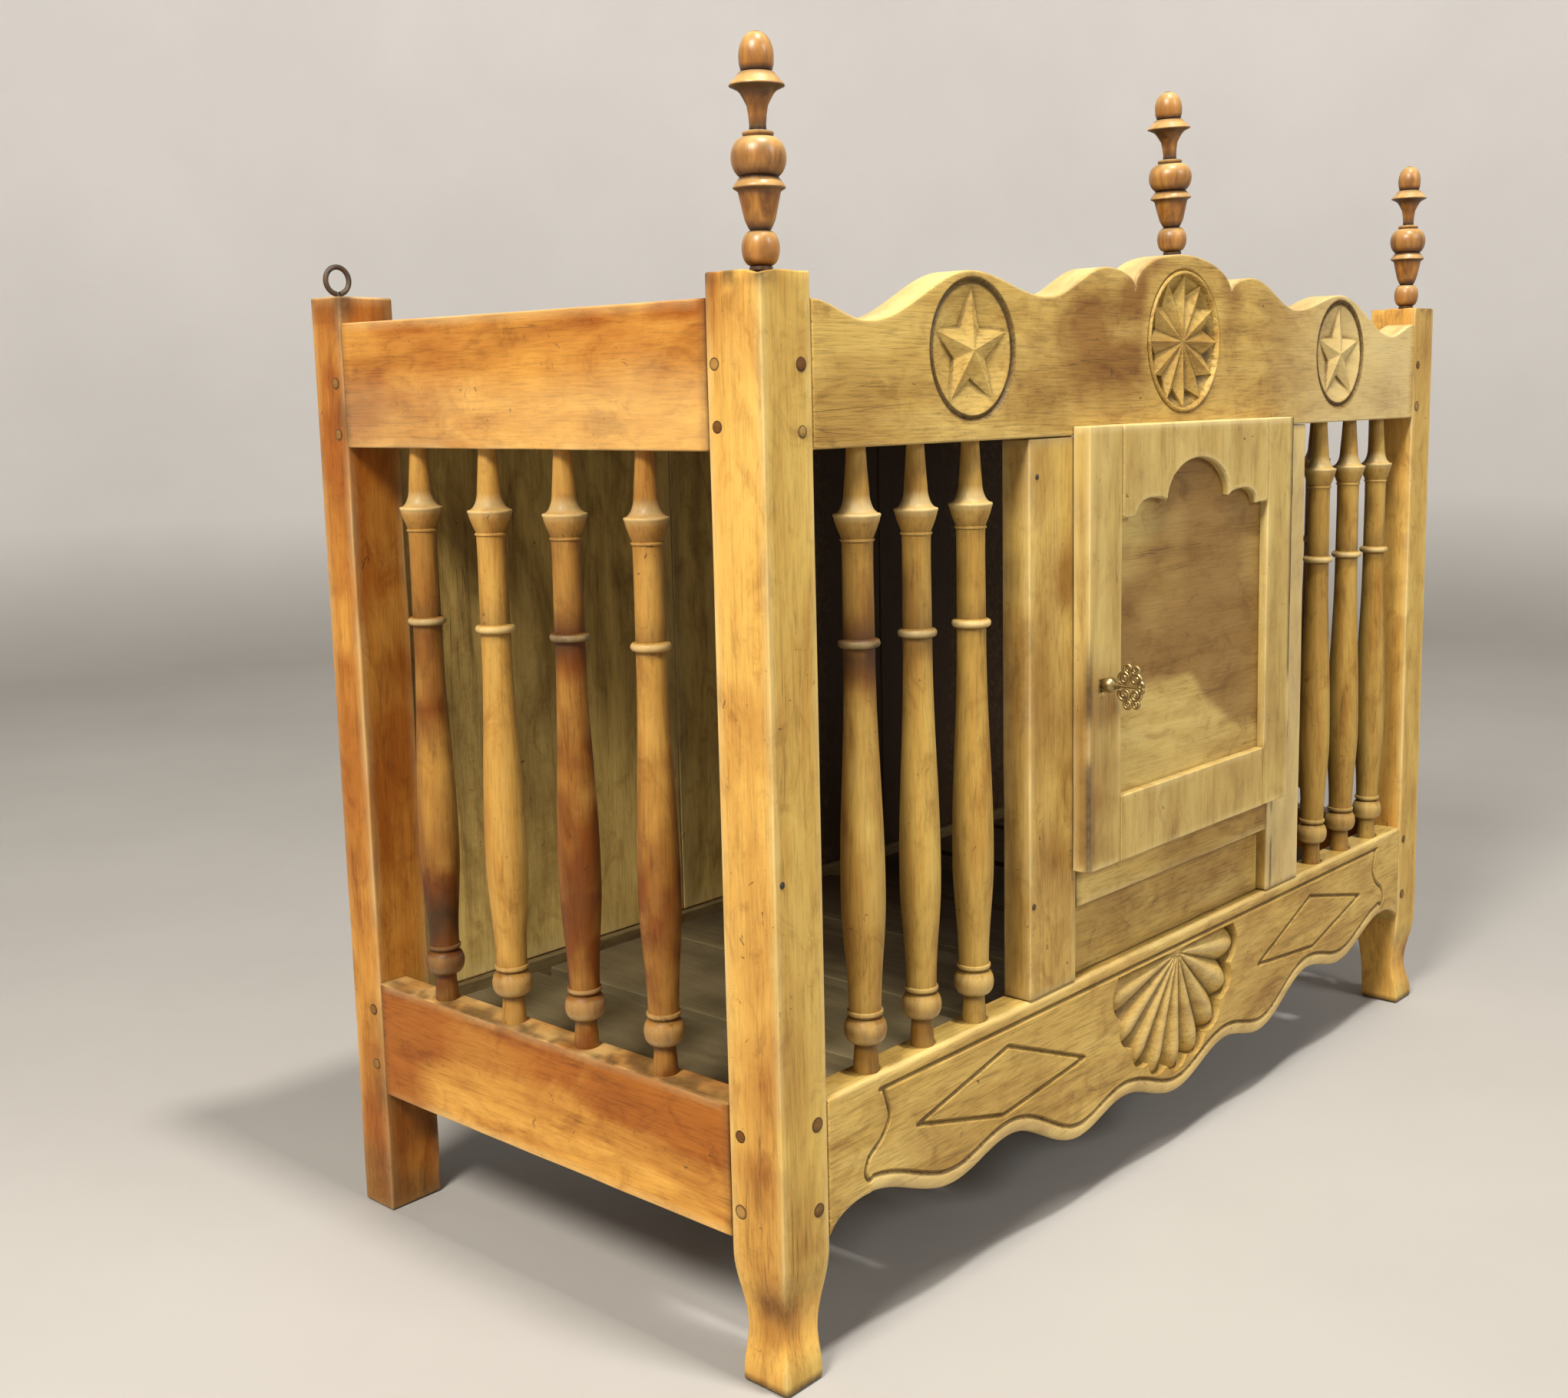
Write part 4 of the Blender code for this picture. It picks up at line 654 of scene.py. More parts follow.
def dress_side_rails():
    for side, word in SIDES:
        low, high = span(f"{word}_top_rail")
        x = low[0] if side < 0 else high[0]
        top_spots = [
            (x, high[1] - 0.012, low[2] + 0.018, 0.050, 0.9),
            (x, high[1] - 0.14, high[2] - 0.01, 0.070, 0.30),
            (x, low[1] + 0.10, high[2], 0.075, 0.35), (x, low[1], high[2], 0.040, 0.6),
            (x, high[1] - 0.06, high[2] - 0.035, 0.095, 0.40),
            (x, low[1] + 0.04, low[2] + 0.05, 0.028, 0.45),
        ]
        worn_board(
            f"{word}_top_rail", sideways_honey, 3 + side, "frame_wood", joints=1, spots=top_spots,
            paint=pale_lower_band(low, high),
        )
        low, high = span(f"{word}_bottom_rail")
        foot_spots = [
            (x, high[1] - 0.03, low[2] + 0.055, 0.080, 0.8), (x, low[1] + 0.09, high[2] - 0.01, 0.070, 0.6),
            (x, low[1] + 0.02, high[2] - 0.03, 0.060, 0.7), (x, low[1] + 0.20, high[2] - 0.01, 0.060, 0.5),
        ]
        worn_board(
            f"{word}_bottom_rail", sideways_honey, 8 + side, "frame_wood", joints=1, spots=foot_spots,
            paint=brown_upper_band(low, high),
        )


def dress_rear_posts():
    for side, word in SIDES:
        low, high = span(f"rear_{word}_post")
        x, y, _ = centre_of(f"rear_{word}_post")
        spots = [
            (x, low[1], high[2], 0.055, 1.0), (x, y, high[2] - 0.11, 0.060, 0.7), (x, y, 0.36, 0.17, 0.75),
            (x, y, 0.06, 0.10, 0.9), (x, y, 0.55, 0.12, 0.60),
        ]
        worn_board(
            f"rear_{word}_post", upright_honey, 14 + side, "frame_wood", radius=0.0028, spots=spots,
            paint=rear_post_marks(low, high),
        )


def dress_inner_boards():
    def painted_inner_shade(points, marks):
        """Inside, painted shade darkens the back on the right and in a band on the left; outside it is dull
        all over.
        """
        across = points[:, 0]
        outside = points[:, 1] > np.mean(points[:, 1])
        dull_wood = 0.55 + 0.25 * swell_noise(points, 0.09, 24)
        painted_shade_right = 1.4 * soft_step((across + 0.08) / 0.20) - 0.35 * soft_step((across - 0.22) / 0.06)
        band = np.exp(-((points[:, 2] - 0.37) / 0.11) ** 2) * soft_step((-0.25 - across) / 0.06)
        # Inside, the stain and the darkening grow to the right and in the band: painted shade.
        marks["stain"] = np.where(outside, 0.8, soft_step((across + 0.06) / 0.14))
        marks["dirt"] = np.where(outside, dull_wood, painted_shade_right + 0.5 * band)

    def dull(points, marks):
        """Boards that nobody touches keep their edges dark."""
        marks["wear"] = 0.15 * marks["wear"]

    def lighter_left_darker_right(points, marks):
        """The floor is paler on the left and darker on the right."""
        dull(points, marks)
        marks["wear"] = marks["wear"] + 0.22 * soft_step((-0.12 - points[:, 0]) / 0.10)
        marks["dirt"] = 0.7 * soft_step((points[:, 0] + 0.05) / 0.10)

    for number in (1, 2, 3):
        worn_board(f"back_board_{number}", upright_inner, 20 + number, "inner_wood", cell=0.015, paint=painted_inner_shade)
    for number in (1, 2):
        worn_board(f"top_board_{number}", level_dusky, 25 + number, "inner_wood", cell=0.015)
    for number in range(1, 8):
        worn_board(f"floor_slat_{number}", floor_wood, 30 + number, "inner_wood", cell=0.010, paint=lighter_left_darker_right)
    for number, word in enumerate(("top", "bottom")):
        worn_board(f"rear_{word}_rail", level_dusky, 40 + number, "inner_wood", cell=0.012, paint=dull)


dress_side_rails()
dress_rear_posts()
dress_inner_boards()

# %% [markdown]
# The front posts end in small cabriole feet. One post is a loft: a softened rectangle at every height,
# drawn in at the ankle and let out again at the toe. A box would need sculpting to do the same.

# %% Feet and levels of the front posts
KNEE_HEIGHT = 0.0905
ANKLE_HEIGHT = 0.038
TOE_HEIGHT = 0.006
ANKLE_INSET = 0.007
TOE_INSET = 0.0015
FOOT_WIDTH = 0.0355
FOOT_DEPTH = 0.039
POST_EDGE = 0.0013
TOE_EDGE = 0.0022
POST_ROWS = 150


def ease(start, end, share):
    """A soft S-curve from start to end."""
    share = unit(share)
    return start + (end - start) * (1 - np.cos(np.pi * share)) / 2


def foot_insets(height, width, depth):
    """How far the outer faces and the two inner faces draw in at a height."""
    below = (KNEE_HEIGHT - height) / (KNEE_HEIGHT - TOE_HEIGHT)
    inner_x = ease(0, width - TOE_INSET - FOOT_WIDTH, below)
    inner_y = ease(0, depth - TOE_INSET - FOOT_DEPTH, 1.5 * below)
    if height > ANKLE_HEIGHT:
        outer = ease(0, ANKLE_INSET, (KNEE_HEIGHT - height) / (KNEE_HEIGHT - ANKLE_HEIGHT))
    else:
        outer = ease(ANKLE_INSET, TOE_INSET, (ANKLE_HEIGHT - height) / (ANKLE_HEIGHT - TOE_HEIGHT))
    return outer, inner_x, inner_y


def square_loop(size):
    """Points round a unit square, crowded at its corners."""
    rows = board_rows(0.0, size, POST_EDGE, 0.005) / size
    ends = np.ones(len(rows))
    sides = [
        np.stack([rows, 0 * ends], 1)[:-1], np.stack([ends, rows], 1)[:-1],
        np.stack([rows[::-1], ends], 1)[:-1], np.stack([0 * ends, rows[::-1]], 1)[:-1],
    ]
    return np.concatenate(sides)


def post_levels(top):
    """(height, tuck) rows up a post; the tuck rolls the top and the toe over."""
    turns = [math.pi / 2 * step / 3 for step in range(3)]
    levels = [(0.0, TOE_EDGE)]
    levels += [(TOE_EDGE * (1 - math.cos(turn)), TOE_EDGE * (1 - math.sin(turn))) for turn in turns[1:]]
    straight = top - POST_EDGE - TOE_EDGE
    levels += [(TOE_EDGE + straight * step / POST_ROWS, 0.0) for step in range(POST_ROWS + 1)]
    for step in range(1, 4):
        turn = math.pi / 2 * step / 3
        levels.append((top - POST_EDGE * (1 - math.sin(turn)), POST_EDGE * (1 - math.cos(turn))))
    return levels


print("rows up a post:", len(post_levels(span("front_left_post")[1][2])))

# %% Shape and marks of the front posts


def front_post_shape(side, low, high):
    """A post's rings of points and its faces; fans to their middles close the two end rings."""
    width = high[0] - low[0]
    depth = high[1] - low[1]
    loop = square_loop(width)
    count = len(loop)
    levels = post_levels(high[2])
    points = []
    for height, tuck in levels:
        outer, inner_x, inner_y = foot_insets(height, width, depth)
        left, right = (outer, inner_x) if side < 0 else (inner_x, outer)
        corner_low = np.array((low[0] + left + tuck, low[1] + outer + tuck))
        corner_high = np.array((high[0] - right - tuck, high[1] - inner_y - tuck))
        ring = corner_low + loop * (corner_high - corner_low)
        ring, _ = rolled(ring, corner_low, corner_high, np.full(count, POST_EDGE))
        points.extend((x, y, height) for x, y in ring)
    faces = ring_faces(len(levels), count)
    for start, flip in ((0, True), ((len(levels) - 1) * count, False)):
        ring = list(range(start, start + count))
        middle = len(points)
        points.append(tuple(np.mean([points[index] for index in ring], axis=0)))
        for step in range(count):
            pair = (ring[step], ring[(step + 1) % count])
            faces.append((pair[1], pair[0], middle) if flip else (pair[0], pair[1], middle))
    return np.array(points), faces


def dress_front_post(side, word):
    node = f"front_{word}_post"
    low, high = span(node)
    points, faces = front_post_shape(side, low, high)
    seed = 50 + side
    near_corner = np.minimum(np.abs(points[:, 0] - low[0]), np.abs(high[0] - points[:, 0]))
    near_front = np.minimum(points[:, 1] - low[1], high[1] - points[:, 1])
    to_edge = np.maximum(near_corner, near_front)
    wear = unit(1 - to_edge / 0.006) * (0.6 + 0.4 * swell_noise(points, 0.03, seed))
    # The front face gets a cool tint: painted shade of the front.
    faces_front = unit((0.006 - near_front) / 0.004) * (points[:, 1] < low[1] + 0.01)
    faded = np.where(near_corner > 0.0006, faces_front, 0.5 * faces_front)
    top = unit((points[:, 2] - high[2] + 0.004) / 0.004)
    chip = top * unit(swell_noise(points, 0.009, seed + 1) - 0.05) * 0.004
    sway = 0.0005 * (0.5 + 0.5 * swell_noise(points, 0.09, seed + 2))
    toward = centre_of(node) - points
    toward[:, 2] = 0
    toward = toward / np.maximum(np.linalg.norm(toward, axis=1, keepdims=True), 1e-6)
    points = points + toward * sway[:, None]
    points[:, 2] -= chip
    x = low[0] if side < 0 else high[0]
    spots = [
        (x, high[1], 0.712, 0.026, 1.0), (x, low[1] + 0.03, 0.690, 0.045, 0.35),
        (x, low[1] + 0.02, 0.44, 0.030, 0.5), (x, low[1] + 0.012, 0.212, 0.045, 0.6),
        (x, low[1] + 0.012, 0.055, 0.034, 0.95),
        (x, low[1] + 0.020, 0.035, 0.016, 1.0), (x, low[1] + 0.022, 0.150, 0.024, 0.6),
        ((low[0] + high[0]) / 2, low[1], 0.098, 0.050, 0.35), (high[0], low[1], 0.672, 0.026, 0.5),
    ]
    upper = soft_step((points[:, 2] - high[2] + 0.012) / 0.010)
    chipped = 0.8 * upper * soft_step(2.0 * swell_noise(points, 0.011, seed + 1))
    # A dark band along the bottom of the toe: painted shadow where the foot meets the floor.
    toe = 0.9 * unit(2 - points[:, 2] / 0.002)
    grime = [(x, low[1] + 0.012, 0.053, 0.022, 0.7), (x, low[1] + 0.024, 0.047, 0.014, 0.7)]
    marks = {
        "wear": wear, "faded": faded, "seed": 0.37 * seed,
        "stain": blotch_marks(points, spots, seed) * np.where(points[:, 2] < 0.09, 1 - faces_front, 1),
        "dirt": toe + blotch_marks(points, grime, seed + 3) * (1 - faces_front) + chipped,
    }
    made = add_piece("worn_" + node, points, faces, upright_straw, marks)
    dress(made, "cabinet", "frame_wood", node)


for side, word in SIDES:
    dress_front_post(side, word)
print("front posts dressed")

# %% [markdown]
# The crest and the apron are sawn from boards with wavy edges, then carved. A plain grid would blur the
# carving, so the face is a triangulation that is told where the cuts run: star ridges, groove lines and
# petal edges become edges of the mesh. The depth of the carving is then a formula in the face's own
# coordinates, and the same formula says where dirt has gathered.

# %% Lines and points on a board's face
OUTLINE_STEP = 0.0022
FACE_CELL = 0.0042
EDGE_RINGS = (0.25, 0.6, 1.0, 1.7)  # rows of points along a rounded edge, in shares of its radius


def line_distance(points, line):
    """Distance from each point to a polyline."""
    line = np.asarray(line)
    start = line[:-1]
    along = line[1:] - start
    length = np.maximum((along ** 2).sum(1), 1e-16)
    best = np.full(len(points), np.inf)
    for first in range(0, len(points), 4000):
        part = points[first:first + 4000]
        away = part[:, None, :] - start[None]
        share = unit((away * along[None]).sum(2) / length[None])
        gap = np.linalg.norm(away - share[:, :, None] * along[None], axis=2)
        best[first:first + 4000] = gap.min(1)
    return best


def inside(points, outline):
    """Which points lie inside a closed outline."""
    found = np.zeros(len(points), bool)
    following = np.roll(outline, -1, axis=0)
    for (x0, z0), (x1, z1) in zip(outline, following):
        if z0 == z1:
            continue
        crosses = (points[:, 1] < z0) != (points[:, 1] < z1)
        at = x0 + (points[:, 1] - z0) * (x1 - x0) / (z1 - z0)
        found ^= crosses & (points[:, 0] < at)
    return found


def resampled(line, step):
    """A polyline with points about one step apart; its corners stay."""
    line = np.asarray(line)
    kept = [line[:1]]
    for start, end in zip(line[:-1], line[1:]):
        count = max(1, round(np.linalg.norm(end - start) / step))
        shares = np.arange(1, count + 1)[:, None] / count
        kept.append(start + (end - start) * shares)
    return np.concatenate(kept)


def beside(line, gap):
    """A polyline moved sideways to its left."""
    line = np.asarray(line)
    way = np.gradient(line, axis=0)
    way = way / np.maximum(np.linalg.norm(way, axis=1, keepdims=True), 1e-9)
    return line + gap * np.stack([-way[:, 1], way[:, 0]], 1)


def circle(centre, radius, count):
    angle = 2 * np.pi * np.arange(count + 1) / count
    return np.stack([centre[0] + radius * np.cos(angle), centre[1] + radius * np.sin(angle)], 1)


def scattered(low, high, step):
    """A staggered grid of points."""
    rise = step * 0.866
    rows = int((high[1] - low[1]) / rise) + 1
    columns = int((high[0] - low[0]) / step) + 2
    row, column = np.meshgrid(np.arange(rows), np.arange(columns), indexing="ij")
    x = low[0] + step * (column + 0.5 * (row % 2) - 0.5)
    z = low[1] + rise * row
    return np.stack([x.ravel(), z.ravel()], 1)


print("outline points every", OUTLINE_STEP * 1000, "mm")

# %% Carved boards


def apart(points, fixed, gap):
    """The points that keep a gap to the fixed ones."""
    tree = kdtree.KDTree(len(fixed))
    for index, (x, z) in enumerate(fixed):
        tree.insert((x, z, 0), index)
    tree.balance()
    keep = [tree.find((x, z, 0))[2] > gap for x, z in points]
    return points[np.array(keep, bool)]


def triangulated(outline, lines, loose):
    """Triangles of the region inside an outline, with edges along the lines."""
    corners = [Vector(point) for point in outline]
    edges = [(index, (index + 1) % len(outline)) for index in range(len(outline))]
    for line in lines:
        first = len(corners)
        corners += [Vector(point) for point in line]
        edges += [(first + index, first + index + 1) for index in range(len(line) - 1)]
    corners += [Vector(point) for point in loose]
    found = geometry.delaunay_2d_cdt(corners, edges, [], 0, 1e-6)
    places = np.array([tuple(point) for point in found[0]])
    faces = np.array([tuple(face) for face in found[2]])
    faces = faces[inside(places[faces].mean(1), np.asarray(outline))]
    first, second, third = (places[faces[:, corner]] for corner in range(3))
    area = (second[:, 0] - first[:, 0]) * (third[:, 1] - first[:, 1])
    area -= (second[:, 1] - first[:, 1]) * (third[:, 0] - first[:, 0])
    faces = np.where(area[:, None] < 0, faces[:, ::-1], faces)[np.abs(area) > 1e-13]
    used, index = np.unique(faces, return_inverse=True)
    return places[used], index.reshape(-1, 3)


def rim_loop(faces):
    """The border of a triangulated face, in order."""
    ahead = {}
    twins = {(b, a) for face in faces.tolist() for a, b in zip(face, face[1:] + face[:1])}
    for face in faces.tolist():
        for a, b in zip(face, face[1:] + face[:1]):
            if (a, b) not in twins:
                ahead[a] = b
    start = next(iter(ahead))
    loop = [start]
    while ahead[loop[-1]] != start:
        loop.append(ahead[loop[-1]])
    return loop


def carved_shell(outline, lines, loose, front, back, cut, edge):
    """A board with a carved front; cut gives the depth and other marks at places on its face.

    Gives points, faces, places on the face, wear and the face's other marks.
    """
    closed = np.concatenate([outline, outline[:1]])
    kept = [loose[inside(loose, outline)]]
    for share in EDGE_RINGS:
        ring = beside(closed, edge * share)[:-1]
        clear = (line_distance(ring, closed) > 0.97 * edge * share) & inside(ring, outline)
        kept.append(ring[clear])
    loose = apart(np.concatenate(kept), np.concatenate([outline] + list(lines)), 0.0005)
    places, faces = triangulated(outline, lines, loose)
    to_rim = line_distance(places, closed)
    turn = unit(1 - to_rim / edge)
    cut_depth, *face_marks = cut(places)
    depth = cut_depth + edge * (1 - np.sqrt(np.maximum(1 - turn ** 2, 0)))
    points = np.stack([places[:, 0], front + depth, places[:, 1]], 1)
    loop = rim_loop(faces)
    rows = [loop]
    total = len(points)
    ring = places[loop]
    for y in (front + 2.2 * edge, (front + back) / 2, back - edge, back):
        rows.append(list(range(total, total + len(loop))))
        points = np.concatenate([points, np.stack([ring[:, 0], np.full(len(loop), y), ring[:, 1]], 1)])
        total += len(loop)
    skin = faces.tolist()
    for near, far in zip(rows, rows[1:]):
        for step in range(len(loop)):
            following = (step + 1) % len(loop)
            skin.append([near[following], near[step], far[step], far[following]])
    _, back_faces = triangulated(ring, [], np.zeros((0, 2)))
    skin += (rows[-1][0] + back_faces[:, ::-1]).tolist()
    wear = np.zeros(len(points))
    wear[:len(places)] = unit(1 - to_rim / (2.4 * edge))
    return points, skin, places, wear, face_marks


print("edge rings at", EDGE_RINGS)

# %% Curves and stains for carved boards


def front_stains(points, spots, seed):
    """Stains on the front; each spot is (x, z, size, strength)."""
    return blotch_marks(points, [(x, FRONT, z, size, strength) for x, z, size, strength in spots], seed)


def eased_curve(start, end, count=14):
    share = np.arange(1, count + 1) / count
    return np.stack([start[0] + (end[0] - start[0]) * share, ease(start[1], end[1], share)], 1)


def quarter_curve(start, end, level_first, count=16):
    """A quarter ellipse that is level at one of its ends."""
    angle = np.pi / 2 * np.arange(1, count + 1) / count
    across, up = (np.sin(angle), 1 - np.cos(angle)) if level_first else (1 - np.cos(angle), np.sin(angle))
    return np.stack([start[0] + (end[0] - start[0]) * across, start[1] + (end[1] - start[1]) * up], 1)


def both_halves(half):
    """A whole edge, left to right, from its right half."""
    return np.concatenate([half[:0:-1] * (-1, 1), half])


print("eased from 0 to 1:", eased_curve((0, 0), (1, 1), 4)[:, 1].round(3))

# %% [markdown]
# The crest carries two star roundels and a rosette. A roundel is a ring groove round a dished field, and
# its star has a ridge to each tip. The rosette has a raised rim and twelve petals that touch each other and
# leave dark pockets at the rim. Folding the plane into one sector, as a paper snowflake is folded, lets one
# short formula cut every arm of both.

# %% Sizes and outline of the crest
CREST_CENTRE_RISE = 0.137
CREST_CUSP = (0.168, 0.110)
CREST_SMALL_PEAK = (0.254, 0.123)
CREST_INNER_DIP = (0.433, 0.099)
CREST_STAR = (0.631, 0.114)
CREST_OUTER_DIP = (0.88, 0.079)
CREST_END_RISE = 0.091
STAR_POINTS = 5
STAR_TIP = 0.0425
STAR_NOTCH = 0.0188
STAR_DEPTHS = (-0.0004, 0.0022, 0.0040)  # at its middle, tips and notches
STAR_FIELD = 0.0436
STAR_RING = 0.0489
RING_MIDDLE = 0.0462
FIELD_RIM_DEPTH = 0.0012
FIELD_DISH = 0.0056
RING_DEPTH = 0.0030
PETALS = 12
PETAL_TIP = 0.0510
PETAL_WAIST = 0.0375
PETAL_DEPTHS = (0.0018, 0.0010, 0.0058)
POCKET_DEPTH = 0.0080
RIM_INNER = 0.0515
RIM_OUTER = 0.0555
ON_LINE = 1e-5  # points this near an outline count as inside
CREST_EDGE = 0.0014
CREST_STAINS = (
    (-0.076, 0.718, 0.024, 0.95), (-0.045, 0.738, 0.024, 0.80), (0.076, 0.718, 0.022, 0.80),
    (-0.135, 0.690, 0.060, 0.95), (-0.120, 0.650, 0.050, 0.80), (0.160, 0.665, 0.060, 0.60),
    (-0.085, 0.705, 0.040, 0.65), (-0.080, 0.655, 0.040, 0.65), (-0.185, 0.630, 0.060, 0.55),
    (0.395, 0.650, 0.045, 0.40), (0.230, 0.615, 0.060, 0.35), (-0.400, 0.635, 0.045, 0.30),
    (0.075, 0.700, 0.035, 0.50), (0.085, 0.650, 0.035, 0.40),
)
star_centre = np.array((CREST_STAR[0] * SPAN_HALF, UPPER_LINE + 0.061))
rosette_centre = np.array((0.0, UPPER_LINE + 0.0695))


def crest_outline():
    def at(share, rise):
        return share * SPAN_HALF, rise

    top = (0.0, CREST_CENTRE_RISE)
    cusp, peak, dip, star, outer = (
        at(*place) for place in (CREST_CUSP, CREST_SMALL_PEAK, CREST_INNER_DIP, CREST_STAR, CREST_OUTER_DIP)
    )
    half = np.concatenate([
        np.array([top]), quarter_curve(top, cusp, True), quarter_curve(cusp, peak, False),
        eased_curve(peak, dip), eased_curve(dip, star), eased_curve(star, outer),
        eased_curve(outer, (SPAN_HALF, CREST_END_RISE)),
    ])
    edge = both_halves(half)[::-1] + (0, UPPER_LINE)
    foot = np.array([(-SPAN_HALF, UPPER_LINE), (SPAN_HALF, UPPER_LINE)])
    return resampled(np.concatenate([edge, foot, edge[:1]]), OUTLINE_STEP)[:-1]


print("crest outline:", len(crest_outline()), "points")

# %% Stars and rosette


def folded(points, centre, arms):
    """Distance along and beside the nearest arm of a star that points up."""
    away = points - centre
    radius = np.hypot(away[:, 0], away[:, 1])
    angle = np.arctan2(away[:, 0], away[:, 1])
    sector = 2 * np.pi / arms
    turn = np.abs(angle - sector * np.round(angle / sector))
    return radius, radius * np.cos(turn), radius * np.sin(turn)


def facets(points, centre, arms, tip, notch, depths):
    """Radius, distance inside the outline, distance to the valleys and depth of a star with ridged arms."""
    radius, along, across = folded(points, centre, arms)
    half = np.pi / arms
    foot = np.array((notch * math.cos(half), notch * math.sin(half)))
    middle, end, valley = depths
    slope = (end - middle) / tip
    fall = (valley - middle - slope * foot[0]) / foot[1]
    edge = (foot[0] - tip) * across - foot[1] * (along - tip)
    edge = edge / math.hypot(foot[0] - tip, foot[1])
    to_valley = along * math.sin(half) - across * math.cos(half)
    return radius, edge, to_valley, middle + slope * along + fall * across


def star_cut(points, centre):
    """Depth and dirt of a star roundel."""
    radius, edge, _, star = facets(points, centre, STAR_POINTS, STAR_TIP, STAR_NOTCH, STAR_DEPTHS)
    field = FIELD_RIM_DEPTH + FIELD_DISH * unit(1 - (radius / STAR_FIELD) ** 2)
    depth = np.where(edge > -ON_LINE, np.minimum(star, field), field)
    ring = np.interp(radius, (STAR_FIELD, RING_MIDDLE, STAR_RING), (FIELD_RIM_DEPTH, RING_DEPTH, 0))
    depth = np.where(radius < STAR_FIELD, depth, ring)
    dirt = 0.92 * soft_step((0.0033 - np.abs(radius - RING_MIDDLE)) / 0.0011)
    close = unit(1 + edge / 0.0034) * (edge < 0.0003)
    close = close * unit(1.35 - radius / STAR_FIELD)
    dirt = np.maximum(dirt, 0.85 * close * (radius < STAR_FIELD))
    within = radius < STAR_RING + 0.001
    return np.where(within, depth, 0), np.where(within, dirt, 0)


def star_edges(centre, arms, tip, notch, grow):
    """Edges that the mesh needs along the ridges, valleys and outline of a star, and just outside it."""
    corners = []
    for step in range(2 * arms):
        angle = math.pi * step / arms
        reach = notch if step % 2 else tip
        corners.append(centre + reach * np.array((math.sin(angle), math.cos(angle))))
    lines = [resampled([centre, corner], 0.002) for corner in corners]
    ring = np.array(corners + corners[:1])
    lines.append(resampled(ring, 0.002))
    lines.append(resampled(centre + (ring - centre) * grow, 0.002))
    return lines


def star_lines(centre):
    lines = [circle(centre, radius, 96) for radius in (STAR_FIELD, RING_MIDDLE, STAR_RING)]
    return lines + star_edges(centre, STAR_POINTS, STAR_TIP, STAR_NOTCH, 1.025)


def rosette_cut(points):
    """Depth and dirt of the rosette."""
    radius, edge, to_valley, petal = facets(
        points, rosette_centre, PETALS, PETAL_TIP, PETAL_WAIST, PETAL_DEPTHS,
    )
    pocket = POCKET_DEPTH - 0.0048 * soft_step((radius - 0.040) / 0.0115)
    depth = np.where(edge > -ON_LINE, np.minimum(petal, pocket), pocket)
    middle = (RIM_INNER + RIM_OUTER) / 2
    half = (RIM_OUTER - RIM_INNER) / 2
    rim = np.sqrt(np.maximum(1 - ((radius - middle) / half) ** 2, 0))
    depth = np.where(radius < RIM_INNER, depth, 0.0014 - 0.0026 * rim)
    outside = 0.0014 * unit(1 - (radius - RIM_OUTER) / 0.002)
    depth = np.where(radius < RIM_OUTER, depth, outside)
    seam = 0.55 * unit(1 - to_valley / 0.0010) * unit(radius / 0.014)
    deep = 0.92 * unit(-edge / 0.0012) * (1 - 0.6 * soft_step((radius - 0.043) / 0.008))
    dusty = 1 - 0.65 * soft_step((points[:, 1] - rosette_centre[1] - 0.006) / 0.020)
    dirt = np.where(radius < RIM_INNER, dusty * np.maximum(seam, deep), 0)
    dirt = np.maximum(dirt, 0.6 * unit(1 - np.abs(radius - RIM_OUTER - 0.0004) / 0.0013))
    within = radius < RIM_OUTER + 0.002
    return np.where(within, depth, 0), np.where(within, dirt, 0)


def rosette_lines():
    radii = (RIM_INNER, (RIM_INNER + RIM_OUTER) / 2, RIM_OUTER, RIM_OUTER + 0.002)
    lines = [circle(rosette_centre, radius, 96) for radius in radii]
    return lines + star_edges(rosette_centre, PETALS, PETAL_TIP, PETAL_WAIST, 1.02)


print("lines of a star:", len(star_lines(star_centre)))

# %% Crest board


def dress_crest():
    outline = crest_outline()
    lines = rosette_lines()
    loose = [scattered((-SPAN_HALF, UPPER_LINE), (SPAN_HALF, UPPER_LINE + CREST_CENTRE_RISE), FACE_CELL)]
    loose.append(scattered(rosette_centre - RIM_OUTER, rosette_centre + RIM_OUTER, 0.0016))
    for side in (-1, 1):
        centre = star_centre * (side, 1)
        lines += star_lines(centre)
        loose.append(scattered(centre - STAR_RING, centre + STAR_RING, 0.0018))

    def cut(points):
        depth, dirt = rosette_cut(points)
        for side in (-1, 1):
            star_depth, star_dirt = star_cut(points, star_centre * (side, 1))
            depth = depth + star_depth
            dirt = np.maximum(dirt, star_dirt)
        return depth, dirt

    points, faces, places, wear, (face_dirt,) = carved_shell(
        outline, lines, np.concatenate(loose), FRONT, RAIL_BACK, cut, CREST_EDGE,
    )
    dirt = np.zeros(len(points))
    dirt[:len(places)] = face_dirt
    wear[:len(places)] *= 0.4
    # The face grows paler towards the right end: painted light on the half farther from the main lamp.
    wear[:len(places)] += 0.90 * soft_step((places[:, 0] - 0.10) / 0.22) * (1 - face_dirt)
    wear[len(places):] = 0.85 * soft_step((points[len(places):, 2] - UPPER_LINE - 0.060) / 0.012)
    wear *= soft_step((SPAN_HALF - np.abs(points[:, 0])) / 0.014)
    halo = np.hypot(points[:, 0] - rosette_centre[0], points[:, 2] - rosette_centre[1])
    stain = front_stains(points, CREST_STAINS, 61) * soft_step((halo - 0.056) / 0.014)
    marks = {"wear": wear, "dirt": dirt, "seed": 4.1, "stain": stain}
    made = add_piece("carved_crest", points, faces, level_wheat, marks, 32)
    dress(made, "cabinet", "front_wood", "crest_rail")
    print("crest:", len(places), "points on its face")


dress_crest()

# %% [markdown]
# The apron has a wavy lower edge with a rounded band along it, marked off by a cut line. Two long
# lozenges and a shell fill its face. Cut lines are V grooves, so their depth only needs the distance to a
# path. The shell's lobes are round across and roll down at their ends.

